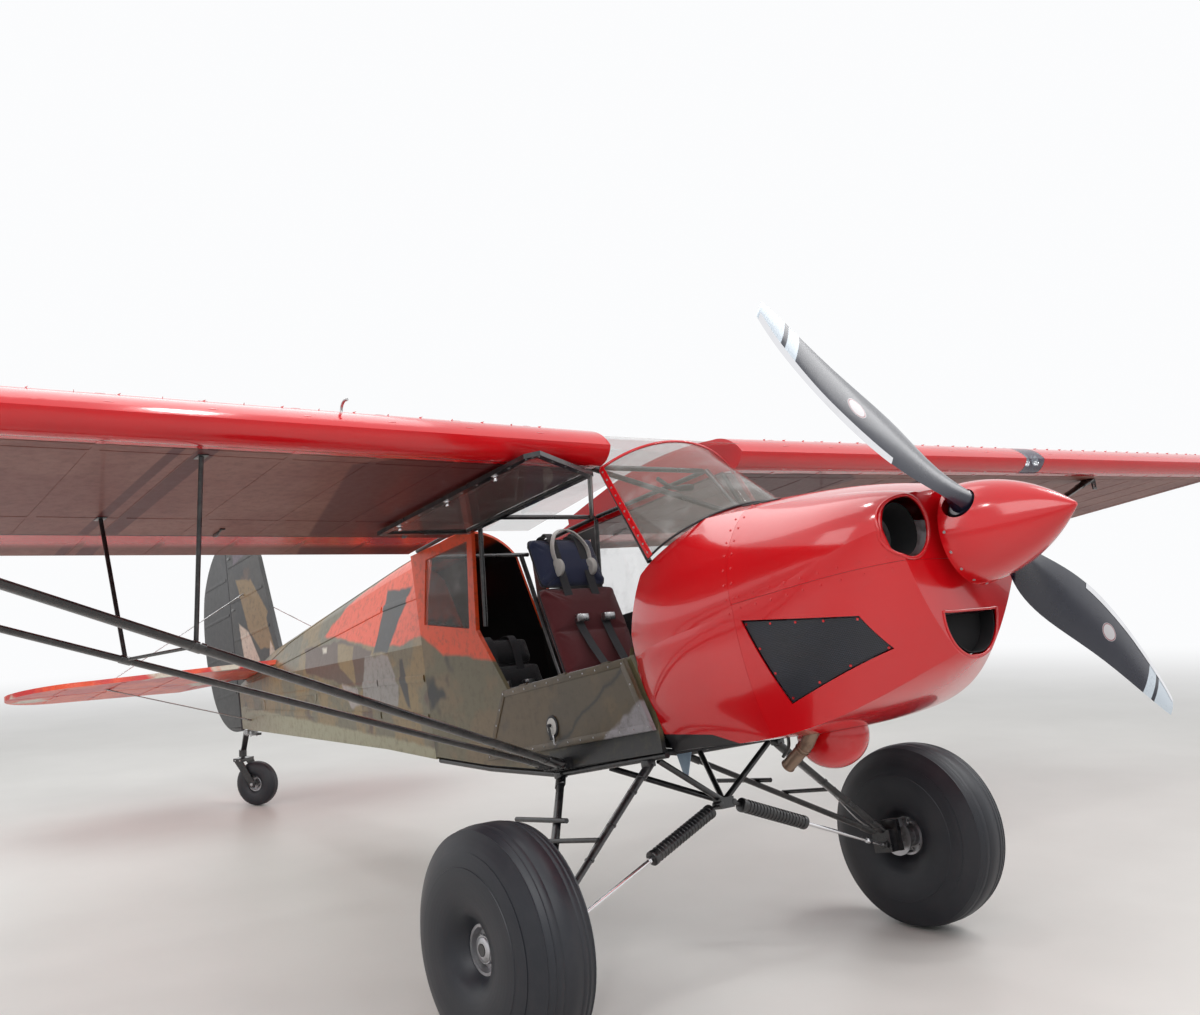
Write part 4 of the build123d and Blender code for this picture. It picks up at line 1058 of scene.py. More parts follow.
    @staticmethod
    def twin(piece: bpy.types.Object, change: Matrix) -> bpy.types.Object:
        """A copy of the piece, its mesh moved by a matrix.

        Args:
            piece: The piece.
            change: The matrix.

        Returns:
            The copy.
        """
        copy = piece.copy()
        copy.data = piece.data.copy()
        copy.data.transform(change)
        bpy.context.scene.collection.objects.link(copy)
        return copy

    @classmethod
    def copies(cls, name: str, model: bpy.types.Object, places: Iterable[Matrix]) -> bpy.types.Object:
        """Copies a model to each place, joins the copies and removes the model.

        Args:
            name: The joined piece's name.
            model: The piece to copy, modelled at the origin.
            places: Where each copy goes.

        Returns:
            The joined piece.
        """
        made = [cls.twin(model, place) for place in places]
        bpy.data.objects.remove(model)
        return cls.joined(name, made)

    @classmethod
    def joined(cls, name: str, pieces: Sequence[bpy.types.Object]) -> bpy.types.Object:
        """Makes one piece of several.

        Args:
            name: Its name.
            pieces: The pieces.

        Returns:
            The joined piece.
        """
        cls.alone(pieces[0])
        for piece in pieces[1:]:
            piece.select_set(True)
        if len(pieces) > 1:
            bpy.ops.object.join()
        return cls.added(name)

    @classmethod
    def mirrored(cls, piece: bpy.types.Object) -> bpy.types.Object:
        """A copy of the piece on the other side of the aircraft.

        Args:
            piece: The piece.

        Returns:
            The copy, its faces pointing outwards.
        """
        copy = cls.twin(piece, Matrix.Scale(-1, 4, LEFT))
        copy.data.flip_normals()
        return copy

    @classmethod
    def hand_over(cls, piece: bpy.types.Object, body: Body, finish: Finish, *stands_for: str,
                  parked: bool = False, angle: float = 35.0) -> bpy.types.Object:
        """Parks a piece, paints it and lets it ride.

        Args:
            piece: The modelled piece.
            body: What it rides on.
            finish: Its finish.
            stands_for: The CAD nodes that it replaces.
            parked: True where it is already in the frame of the CAD.
            angle: Edges sharper than this stay sharp, in degrees.

        Returns:
            The piece.
        """
        if not parked:
            piece.data.transform(PARK)
        cls.alone(piece)
        bpy.ops.object.shade_smooth_by_angle(angle=math.radians(angle))
        piece.data.materials.clear()
        piece.data.materials.append(finish.material())
        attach(piece, body.value)
        if stands_for:
            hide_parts(*stands_for)
        log.info("%s rides on %s, %d faces", piece.name, body.value, len(piece.data.polygons))
        return piece

    @classmethod
    def deliver(cls, name: str, pieces: Sequence[bpy.types.Object], body: Body, finish: Finish,
                parked: bool = False, angle: float = 35.0) -> bpy.types.Object:
        """Joins pieces and hands the joined one over.

        Args:
            name: The joined piece's name.
            pieces: The pieces.
            body: What it rides on.
            finish: Its finish.
            parked: True where they are already in the frame of the CAD.
            angle: Edges sharper than this stay sharp, in degrees.

        Returns:
            The joined piece.
        """
        return cls.hand_over(cls.joined(name, pieces), body, finish, parked=parked, angle=angle)


class Skin:
    """A CAD surface that small pieces are laid on, in the level frame."""

    def __init__(self, *nodes: str) -> None:
        """Reads the nodes' surfaces.

        Args:
            nodes: Their names.
        """
        points, faces = [], []
        for name in nodes:
            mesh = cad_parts[name].data
            start = len(points)
            points += [LEVEL @ vertex.co for vertex in mesh.vertices]
            faces += [[start + i for i in face.vertices] for face in mesh.polygons]
        self.tree = BVHTree.FromPolygons(points, faces)

    def hit(self, start: Point, towards: Point) -> tuple[Vector, Vector] | None:
        """Where a line from start first meets the surface.

        Args:
            start: A point outside it.
            towards: The line's direction.

        Returns:
            The point and the surface's outward normal there, or None.
        """
        way = Vector(towards).normalized()
        place, normal, _, _ = self.tree.ray_cast(Vector(start), way)
        if place is None:
            return None
        return place, -normal if normal.dot(way) > 0 else normal

    def row(self, start: Point, end: Point, count: int, towards: Point) -> list[Matrix]:
        """Places along a line, dropped on the surface.

        Args:
            start: The line's first point.
            end: Its last point.
            count: How many places.
            towards: The direction of the drop.

        Returns:
            A matrix for each place, its Z along the normal.
        """
        start, end = Vector(start), Vector(end)
        found = [self.hit(start + (end - start) * (i / max(1, count - 1)), towards) for i in range(count)]
        return [stand(*hit) for hit in found if hit]

    def strip(self, name: str, line: Sequence[Point], across: Point, width: float, thickness: float,
              towards: Point, steps: int = 12) -> bpy.types.Object:
        """A tape laid on the surface along a line.

        Args:
            name: Its name.
            line: Two or more points of the line.
            across: The direction of its width.
            width: Its width.
            thickness: How far it stands proud.
            towards: The direction in which it is dropped on the surface.
            steps: How many stretches each run of the line has.

        Returns:
            The tape.
        """
        middles = []
        for a, b in zip(line, line[1:]):
            middles += [Vector(a).lerp(Vector(b), i / steps) for i in range(steps)]
        middles.append(Vector(line[-1]))
        half = Vector(across).normalized() * (width / 2)
        rows = [[self.hit(middle + half * (column - 1), towards) for column in range(3)]
                for middle in middles]
        rows = [row for row in rows if all(row)]
        bpy.ops.mesh.primitive_grid_add(x_subdivisions=2, y_subdivisions=len(rows) - 1, size=1)
        made = Bench.added(name)
        rise = Vector(towards).normalized() * (thickness * -0.5)
        for row, hits in enumerate(rows):
            for column, hit in enumerate(hits):
                made.data.vertices[row * 3 + column].co = hit[0] + rise * (2.0 if column == 1 else 1.0)
        return Bench.thickened(made, thickness)

    def decal(self, name: str, outline: Sequence[Point], towards: Point, thickness: float,
              cuts: int = 3) -> bpy.types.Object:
        """A raised patch with an outline, dropped on the surface.

        Args:
            name: Its name.
            outline: The corners of its convex outline, before the drop.
            towards: The direction of the drop.
            thickness: How far it stands proud.
            cuts: How finely it follows the surface.

        Returns:
            The patch.
        """
        count = len(outline)
        corners = [Vector(p) for p in outline]
        middle = sum(corners, Vector()) / count
        bpy.ops.mesh.primitive_circle_add(vertices=count, radius=1, fill_type="TRIFAN")
        made = Bench.added(name)
        for vertex in made.data.vertices:
            place = round(math.atan2(-vertex.co.x, vertex.co.y) / (2 * math.pi) * count) % count
            vertex.co = corners[place] if vertex.co.length > 0.5 else middle
        bpy.ops.object.mode_set(mode="EDIT")
        bpy.ops.mesh.select_all(action="SELECT")
        bpy.ops.mesh.subdivide(number_cuts=cuts)
        bpy.ops.object.mode_set(mode="OBJECT")
        rise = Vector(towards).normalized() * (thickness * -0.5)
        for vertex in made.data.vertices:
            hit = self.hit(vertex.co, towards)
            vertex.co = (hit[0] if hit else vertex.co) + rise
        return Bench.thickened(made, thickness)


def smooth_line(points: Sequence[Point], steps: int) -> list[Vector]:
    """Points of a smooth curve through the given ones.

    Args:
        points: What it passes through.
        steps: Stretches between two of them.

    Returns:
        The curve's points.
    """
    knots = [Vector(p) for p in points]
    knots = [2 * knots[0] - knots[1], *knots, 2 * knots[-1] - knots[-2]]
    line = []
    for a, b, c, d in zip(knots, knots[1:], knots[2:], knots[3:]):
        for i in range(steps):
            t = i / steps
            line.append(0.5 * (2 * b + (c - a) * t + (2 * a - 5 * b + 4 * c - d) * t ** 2
                               + (3 * b - a - 3 * c + d) * t ** 3))
    return [*line, knots[-2]]


def circle(count: int, first: float = 0.0) -> list[tuple[float, float]]:
    """Points of the unit circle.

    Args:
        count: How many.
        first: Where the first is, as a share of a step.

    Returns:
        The points.
    """
    turns = [(i + first) * 2 * math.pi / count for i in range(count)]
    return [(math.cos(a), math.sin(a)) for a in turns]


def spaced(outline: Sequence[Point], gap: float, least: int) -> list[tuple[float, float]]:
    """Points round a closed flat outline.

    Args:
        outline: Its corners.
        gap: About how far the points are apart.
        least: The least number of points on a side.

    Returns:
        The points.
    """
    spots = []
    for (ya, za), (yb, zb) in zip(outline, [*outline[1:], outline[0]]):
        count = max(least, round(math.hypot(yb - ya, zb - za) / gap))
        spots += [(ya + (yb - ya) * i / count, za + (zb - za) * i / count) for i in range(count)]
    return spots


def stand(place: Vector, normal: Vector) -> Matrix:
    """A matrix at a place with its Z along a normal."""
    return Matrix.Translation(place) @ normal.to_track_quat("Z", "Y").to_matrix().to_4x4()


def dress(finish: Finish, *nodes: str) -> None:
    """Gives CAD nodes a finish.

    Args:
        finish: The finish.
        nodes: The nodes' names.
    """
    for name in nodes:
        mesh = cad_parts[name].data
        mesh.materials.clear()
        mesh.materials.append(finish.material())
        log.info("%s is finished as %s", name, finish.name)


@dataclass
class Screw:
    """A dome-headed screw with a slot, modelled once and copied."""

    radius: float = 0.0045
    height: float = 0.0016

    def model(self) -> bpy.types.Object:
        """Makes one at the origin, standing on z = 0.

        Returns:
            The screw.
        """
        made = Bench.rod("screw", (0, 0, -0.0008), (0, 0, self.height), self.radius, 12)
        bpy.ops.object.mode_set(mode="EDIT")
        bpy.ops.mesh.select_all(action="DESELECT")
        bpy.ops.object.mode_set(mode="OBJECT")
        for face in made.data.polygons:
            face.select = face.normal.z > 0.9
        bpy.ops.object.mode_set(mode="EDIT")
        bpy.ops.mesh.inset(thickness=self.radius * 0.35)
        bpy.ops.transform.translate(value=(0, 0, self.height * 0.4))
        bpy.ops.mesh.inset(thickness=self.radius * 0.25)
        bpy.ops.transform.translate(value=(0, 0, -self.height * 0.5))
        bpy.ops.object.mode_set(mode="OBJECT")
        return made

    def set_in(self, name: str, places: Iterable[Matrix]) -> bpy.types.Object:
        """Sets a screw in each place and joins them."""
        return Bench.copies(name, self.model(), places)


@dataclass
class Studio:
    """The camera at the photograph's place, a pale floor and soft lamps."""

    focal: float = 1184.017                      # of the photograph, in its own pixels
    picture_width: float = 1200.0
    eye: Point = (-3.269, -3.310, 1.629)         # from the floor under the main axle's middle
    yaw: float = 38.5016
    pitch: float = 2.7287
    roll: float = -1.8447
    floor_colour: Colour = (0.86, 0.845, 0.81)
    world_light: float = 0.42
    far: tuple[float, float] = (6.5, 17.0)       # where the floor fades into the white
    lamps: tuple[tuple[Point, float, float], ...] = (
        ((-4.5, -5.5, 6.0), 4.5, 185.0), ((4.5, -4.0, 6.5), 4.5, 165.0), ((0.0, 3.0, 7.5), 6.0, 150.0),
        ((-7.0, 1.5, 4.5), 4.0, 105.0))
    spots: tuple[Point, ...] = ((-1.6, -7.5, 5.4), (0.4, -6.6, 5.6), (2.4, -5.6, 5.6), (-3.4, -2.6, 5.6),
                                (3.9, -2.5, 5.6), (-0.6, -1.0, 6.0))

    def camera(self) -> None:
        """Places the camera."""
        yaw, pitch, roll = (math.radians(a) for a in (self.yaw, self.pitch, self.roll))
        ahead = Vector((math.sin(yaw) * math.cos(pitch), math.cos(yaw) * math.cos(pitch), math.sin(pitch)))
        right = ahead.cross(Vector(UP)).normalized()
        up = right.cross(ahead)
        turned_right = right * math.cos(roll) + up * math.sin(roll)
        turned_up = up * math.cos(roll) - right * math.sin(roll)
        data = bpy.data.cameras.new("camera")
        data.sensor_width, data.lens = 36.0, 36.0 * self.focal / self.picture_width
        data.clip_start, data.clip_end = 0.05, 200
        made = bpy.data.objects.new("camera", data)
        bpy.context.scene.collection.objects.link(made)
        axes = Matrix((turned_right, turned_up, -ahead)).transposed().to_4x4()
        shift = Vector((0, axle_centre().y, 0))
        made.matrix_world = Matrix.Translation(Vector(self.eye) + shift) @ axes
        bpy.context.scene.camera = made

    def floor(self) -> None:
        """Lays the pale, slightly polished floor."""
        bpy.ops.mesh.primitive_plane_add(size=120, location=ORIGIN)
        made = Bench.added("floor")
        sheet = Sheet("floor_pale")
        point = Value(sheet, sheet.node("ShaderNodeTexCoord").outputs["Object"])
        cloud = sheet.noise(point, 0.9, 5, 0.6)
        darker = tuple(c * 0.86 for c in self.floor_colour)
        shader = sheet.node("ShaderNodeBsdfPrincipled", None, {
            "Base Color": sheet.mix(cloud, self.floor_colour, darker), "Roughness": cloud * 0.12 + 0.36})
        white = sheet.node("ShaderNodeEmission", None, {"Color": (0.97, 0.975, 0.985), "Strength": 1.0})
        x, y, _ = sheet.split(point)
        seen = Value(sheet, sheet.node("ShaderNodeLightPath").outputs["Is Camera Ray"])
        faded = sheet.math("SQRT", x * x + y * y).rise(*self.far) * seen
        mixed = sheet.node("ShaderNodeMixShader", None, {
            0: faded, 1: Value(sheet, shader.outputs[0]), 2: Value(sheet, white.outputs[0])})
        sheet.node("ShaderNodeOutputMaterial", None, {"Surface": Value(sheet, mixed.outputs[0])})
        made.data.materials.append(sheet.material)

    def lamp(self, name: str, place: Point, size: float, power: float, shape: str = "SQUARE") -> None:
        """Hangs one area lamp that shines at the aircraft's middle.

        Args:
            name: Its name.
            place: Where it hangs.
            size: Its width.
            power: Its power in watts.
            shape: Square or disk.
        """
        data = bpy.data.lights.new(name, "AREA")
        data.shape, data.size, data.energy = shape, size, power
        made = bpy.data.objects.new(name, data)
        made.location = place
        aim = Vector((0, 0, 1.0)) - Vector(place)
        made.rotation_euler = aim.to_track_quat("-Z", "Y").to_euler()
        bpy.context.scene.collection.objects.link(made)

    def world(self) -> None:
        """Surrounds the scene with soft light that looks white in the picture, in glass and in metal."""
        world = bpy.data.worlds.new("studio")
        bpy.context.scene.world = world
        world.use_nodes = True
        tree = world.node_tree
        back, path = tree.nodes["Background"], tree.nodes.new("ShaderNodeLightPath")
        seen: bpy.types.NodeSocket = path.outputs["Is Camera Ray"]
        for ray in ("Is Glossy Ray", "Is Transmission Ray"):
            either = tree.nodes.new("ShaderNodeMath")
            either.operation = "MAXIMUM"
            tree.links.new(seen, either.inputs[0])
            tree.links.new(path.outputs[ray], either.inputs[1])
            seen = either.outputs[0]
        level = tree.nodes.new("ShaderNodeMapRange")
        level.inputs["To Min"].default_value, level.inputs["To Max"].default_value = self.world_light, 1.0
        tree.links.new(seen, level.inputs["Value"])
        tree.links.new(level.outputs[0], back.inputs["Strength"])
        back.inputs["Color"].default_value = (0.97, 0.975, 0.985, 1)

    def build(self) -> None:
        """Sets the whole studio up."""
        self.camera()
        self.floor()
        self.world()
        for i, (place, size, power) in enumerate(self.lamps):
            self.lamp(f"soft_{i}", place, size, power)
        for i, place in enumerate(self.spots):
            self.lamp(f"hall_{i}", place, 0.45, 18.0, "DISK")
        bpy.context.scene.view_settings.view_transform = "Standard"


@dataclass
class BaseFinishes:
    """The finish of each CAD node that shows as it is."""

    table: dict[Finish, tuple[str, ...]] = field(default_factory=lambda: {
        Paints.cowl: ("spinner", "cowl_upper", "cowl_lower", "chin_fairing"),
        Paints.boot: ("boot_cowl",),
        Paints.louvre: ("cheek_panels",),
        Paints.hot_steel: ("exhaust",),
        Paints.blade: ("propeller",),
        Paints.side: ("rear_cabin_shell", "aft_fuselage"),
        Paints.forward_side: ("cabin_side_left", "cabin_side_right"),
        Paints.lining: ("lower_door",),
        Paints.tail: ("fin",),
        Paints.rudder: ("rudder",),
        Paints.plane: ("stabiliser", "elevator"),
        Paints.wing: ("wing_left", "wing_right", "flap_left", "flap_right", "aileron_left", "aileron_right"),
        Paints.windshield: ("windshield", "skylight"),
        Paints.side_glass: ("side_window_left", "rear_side_windows", "upper_door_pane"),
        Paints.lens: ("landing_lights",),
        Paints.black_tube: ("gear_legs", "cabane", "cabin_frame", "lift_struts", "jury_struts",
                            "strut_fittings", "tie_downs", "shock_cylinders", "tail_fork", "tail_spring",
                            "upper_door_frame"),
        Paints.steel: ("firewall", "tail_wires"),
        Paints.chrome: ("shock_rods",),
        Paints.cast: ("hub_left", "hub_right", "tail_hub", "brake_calipers", "engine"),
        Paints.trim: ("cabin_floor", "control_sticks"),
        Paints.panel: ("instrument_panel",),
        Paints.seat_black: ("front_seat", "rear_seat"),
    })

    def build(self) -> None:
        """Dresses the nodes."""
        for finish, nodes in self.table.items():
            dress(finish, *nodes)


@dataclass
class Nose:
    """Cowl fittings: lips, ducts, cylinders, scoop lining, fasteners, top slot and exhaust clamp."""

    joint_y: float = -0.620
    split_z: float = 0.975
    inlet_x: float = 0.262
    inlet_z: float = 1.078
    inlet_r: float = 0.094
    duct_y: float = -1.262
    scoop_r: float = 0.140
    scoop_z: float = 0.805
    scoop_h: float = 0.137
    cheek: tuple[Point, ...] = ((-1.114, 0.838), (-0.650, 0.914), (-0.762, 0.610), (-1.150, 0.723))
    cheek_middle: Point = (-0.92, 0.77)
    slot_middle: Point = (-0.15, -0.612)         # (x, y), like the next two
    slot_reach: Point = (0.026, 0.096)
    oil_door: tuple[Point, Point] = ((0.10, -0.98), (0.22, -0.86))
    above: float = 2.0                           # where details are dropped from
    pipe: tuple[Point, Point] = ((-0.15, -0.61, 0.474), (-0.15, -0.50, 0.408))
    fin_pitch: float = 0.009
    barrel_r: float = 0.050
    fin_r: float = 0.066

    def rim(self, outline: Sequence[Point], radius: float) -> bpy.types.Object:
        """A rolled edge round an opening of the nose.

        Args:
            outline: Points just outside the opening, (x, z), in order.
            radius: The roll's radius.

        Returns:
            The edge, laid on the cowl.
        """
        skin = Skin("cowl_upper", "cowl_lower")
        hits = [skin.hit((x, -2.0, z), AFT) for x, z in outline]
        line = [hit[0] for hit in hits if hit]
        return Bench.pipe("rim", [*line, line[0]], radius)

    def lips(self) -> None:
        """Rolls a rounded lip round each inlet and lines it with a duct painted near-black as the shade
        inside the inlet.
        """
        r = self.inlet_r
        round_r = r + 0.004
        lips = [self.rim([(side * self.inlet_x + round_r * c, self.inlet_z + round_r * s)
                          for c, s in circle(40)],
                         0.0055) for side in SIDES]
        Bench.deliver("inlet_lips", lips, Body.AIRFRAME, Paints.cowl)
        duct = ((0.0, r - 0.009), (-0.05, r - 0.013), (-0.12, r - 0.026), (-0.12, r - 0.030),
                (-0.05, r - 0.017), (0.0, r - 0.012))
        ducts = [Bench.lathe("duct", duct, (s * self.inlet_x, self.duct_y, self.inlet_z), FORWARD, 48)
                 for s in SIDES]
        Bench.deliver("inlet_ducts", ducts, Body.AIRFRAME, Paints.inside)

    def cylinders(self) -> None:
        """Turns the finned engine cylinders that show behind the inlets."""
        profile: list[Point] = []
        for at in (i * self.fin_pitch for i in range(11)):
            profile += [(at, self.barrel_r), (at + 0.004, self.barrel_r), (at + 0.0045, self.fin_r),
                        (at + 0.0075, self.fin_r)]
        profile += [(0.108, self.barrel_r), (0.108, 0.030), (0.0, 0.030)]
        model = Bench.lathe("cylinder", profile, ORIGIN, UP, 28)
        places = [Matrix.Translation((s * 0.222, y, self.inlet_z - 0.01))
                  @ Matrix.Rotation(s * math.pi / 2, 4, "Y")
                  for s in SIDES for y in (-1.095, -0.90)]
        Bench.hand_over(Bench.copies("engine_cylinders", model, places), Body.AIRFRAME, Paints.cast)

    def scoop(self) -> None:
        """Gives the chin scoop a rolled edge, and a filter deep behind it with a duct wall, both painted
        near-black as the shade inside the scoop.
        """
        r, z = self.scoop_r + 0.003, self.scoop_z
        arc = [(r * math.cos(a), max(z + r * math.sin(a), z - self.scoop_h - 0.003))
               for a in (math.radians(180 + i * 9) for i in range(21))]
        top = [(r - 2 * r * i / 8, z + 0.003) for i in range(9)]
        rim = self.rim([*arc, *top], 0.0045)
        rim.name = "scoop_rim"
        Bench.hand_over(rim, Body.AIRFRAME, Paints.cowl)
        back = Bench.plate("scoop_filter", [(x * 0.9, -1.205, z + (zz - z) * 0.9) for x, zz in arc], 0.012,
                           0.002)
        wall = Bench.ribbon("wall", [(x * 0.925, -1.233, z + (zz - z) * 0.925) for x, zz in arc], AFT, 0.056,
                            0.003, 1)
        Bench.deliver("scoop_duct", [back, wall], Body.AIRFRAME, Paints.inside)

    def fasteners(self) -> None:
        """Sets the screws along the split line, the firewall joint and the cheek panels."""
        upper, lower, boot = Skin("cowl_upper"), Skin("cowl_lower"), Skin("boot_cowl")
        cheeks = Skin("cheek_panels")
        small: list[Matrix] = []
        for s in SIDES:
            for skin, z in ((upper, self.split_z + 0.020), (lower, self.split_z - 0.020)):
                small += skin.row((s * 0.7, -1.25, z), (s * 0.7, -0.66, z), 9, (-s, 0, 0))
            inset = [(s * 0.7, y + (self.cheek_middle[0] - y) * 0.06, z + (self.cheek_middle[1] - z) * 0.12)
                     for y, z in self.cheek]
            for a, b, count in zip(inset, inset[1:], (5, 4, 4)):
                small += cheeks.row(a, b, count, (-s, 0, 0))
        for step in range(-3, 29):
            a = math.radians(10 + step * 7)
            way = Vector((math.cos(a), 0, math.sin(a)))
            for y, skin in ((self.joint_y + 0.018, boot),
                            (self.joint_y - 0.020, upper if a > 0.1 else lower)):
                hit = skin.hit(Vector((0, y, 0.93)) + way, -way) if 0.0 <= a <= math.pi else None
                if hit:
                    small.append(stand(*hit))
        Bench.hand_over(Screw().set_in("cowl_screws", small), Body.AIRFRAME, Paints.cowl)

    def slot(self) -> None:
        """Lays the slot, a near-black sheet of painted shade, and the oil door with its hinge on the cowl's
        top.
        """
        skin = Skin("cowl_upper", "boot_cowl")
        (x, y), (dx, dy), top = self.slot_middle, self.slot_reach, self.above
        ring = [(x + dx * c, y + dy * s, top) for c, s in circle(28)]
        Bench.hand_over(skin.decal("top_slot", ring, DOWN, 0.0022), Body.AIRFRAME, Paints.inside)
        (x0, y0), (x1, y1) = self.oil_door
        door = [(x0, y0, top), (x1, y0, top), (x1, y1, top), (x0, y1, top)]
        Bench.hand_over(skin.decal("oil_door", door, DOWN, 0.0024, 6), Body.AIRFRAME, Paints.cowl)
        line = [(x, y1 + 0.005, top) for x in (x0, x1)]
        hinge = skin.strip("oil_door_hinge", line, AFT, 0.008, 0.004, DOWN, 6)
        Bench.hand_over(hinge, Body.AIRFRAME, Paints.steel)

    def exhaust(self) -> None:
        """Clamps the stub pipe and beads its end."""
        bend, end = (Vector(point) for point in self.pipe)
        run = (end - bend).normalized()
        rings = [Bench.ring("bead", bend + run * at, run, 0.0245, wire, 36, 8)
                 for at, wire in ((0.020, 0.0028), (0.034, 0.0028), (0.1275, 0.0018))]
        lug = Bench.block("lug", bend + run * 0.020 + Vector((0.024, -0.006, -0.004)),
                          bend + run * 0.034 + Vector((0.040, 0.006, 0.006)), 0.001)
        Bench.deliver("exhaust_clamp", [*rings, lug], Body.AIRFRAME, Paints.hot_steel)

    def build(self) -> None:
        """Makes every fitting of the nose."""
        self.lips()
        self.cylinders()
        self.scoop()
        self.fasteners()
        self.slot()
        self.exhaust()


@dataclass
class PropellerDress:
    """The blades' metal leading edges, root boots and the spinner's screws."""

    radius: float = 1.07
    hub: Point = (0.0, -1.398, 1.041)
    angle: float = 146.0
    stations: tuple[Point, ...] = (              # share of the radius, chord, thickness, twist, sweep
        (0.24, 0.152, 0.042, 26.0, 0.018), (0.45, 0.196, 0.026, 15.0, 0.004),
        (0.70, 0.162, 0.017, 10.0, 0.006),
        (0.90, 0.110, 0.011, 5.0, 0.034), (0.995, 0.066, 0.006, 3.1, 0.055))
    # section of the edge strip: way in from the edge, share of the thickness
    wrap: tuple[Point, ...] = ((0.020, -0.62), (0.008, -0.62), (-0.006, 0.0), (0.008, 0.38), (0.020, 0.38))

    def blade_matrix(self, turn: float) -> Matrix:
        """Places a blade that is drawn along Z."""
        return Matrix.Translation(self.hub) @ Matrix.Rotation(math.radians(90 - self.angle - turn), 4, "Y")

    def edges(self) -> None:
        """Wraps a thin metal strip over the outer leading edges."""
        rows = smooth_line(self.stations, 6)[6:]
        blades = Skin("propeller").tree
        made = []
        for turn in (0, 180):
            placed = self.blade_matrix(turn)
            bpy.ops.mesh.primitive_grid_add(x_subdivisions=4, y_subdivisions=len(rows) - 1, size=1)
            strip = Bench.added("edge")
            for row, (share, chord, thick, twist, sweep) in enumerate(rows):
                spin = placed @ Matrix.Translation((0, 0, share * self.radius)) @ \
                    Matrix.Rotation(math.radians(twist), 4, "Z")
                for column, (back, lift) in enumerate(self.wrap):
                    u = chord / 2 - back
                    bow = 1 - (2 * u / chord) ** 2 if back > 0 else 0.0
                    point = spin @ Vector((sweep - u, thick * lift * bow, 0))
                    place, normal, _, _ = blades.find_nearest(point)
                    out = normal if back > 0 else (point - place).normalized()
                    strip.data.vertices[row * 5 + column].co = place + out * 0.0011
            made.append(strip)
        joined = Bench.thickened(Bench.joined("blade_edges", made), 0.0008)
        Bench.hand_over(joined, Body.PROPELLER, Paints.chrome)

    def boots(self) -> None:
        """Seals each blade root where it leaves the spinner."""
        profile = ((0.118, 0.0405), (0.134, 0.0405), (0.139, 0.046), (0.136, 0.0515), (0.120, 0.0515))
        boots = []
        for turn in (0, 180):
            boot = Bench.lathe("boot", profile, ORIGIN, UP, 40)
            boot.data.transform(self.blade_matrix(turn))
            boots.append(boot)
        Bench.deliver("blade_boots", boots, Body.PROPELLER, Paints.trim)

    def screws(self) -> None:
        """Sets the screws that hold the spinner to its back plate."""
        skin, places = Skin("spinner"), []
        for i in range(16):
            a = math.radians(self.angle + 33 + i * 22.5)
            if min(abs((math.degrees(a) - self.angle) % 180),
                   abs(180 - (math.degrees(a) - self.angle) % 180)) < 24:
                continue
            way = Vector((math.cos(a), 0, math.sin(a)))
            hit = skin.hit(Vector((0, -1.350, self.hub[2])) + way * 0.5, -way)
            if hit:
                places.append(stand(*hit))
        Bench.hand_over(Screw(0.005, 0.0014).set_in("spinner_screws", places), Body.PROPELLER, Paints.steel)

    def build(self) -> None:
        """Makes the propeller's fittings."""
        self.edges()
        self.boots()
        self.screws()


def arc_through(a: Point, b: Point, c: Point, steps: int) -> list[Vector]:
    """Points of the circular arc from a through b to c.

    Args:
        a: Its first end.
        b: A point on the way.
        c: Its other end.
        steps: How many stretches it has.

    Returns:
        The points.
    """
    a, b, c = Vector(a), Vector(b), Vector(c)
    ab, ac = b - a, c - a
    normal = ab.cross(ac)
    to_centre = (ab.length_squared * ac.cross(normal)
                 + ac.length_squared * normal.cross(ab)) / (2 * normal.length_squared)
    centre = a + to_centre
    spoke = a - centre
    axis = normal.normalized()
    turn = spoke.angle(c - centre)
    if (Matrix.Rotation(turn, 3, axis) @ spoke - (c - centre)).length > 1e-4:
        turn = 2 * math.pi - turn
    return [centre + Matrix.Rotation(turn * i / steps, 3, axis) @ spoke for i in range(steps + 1)]


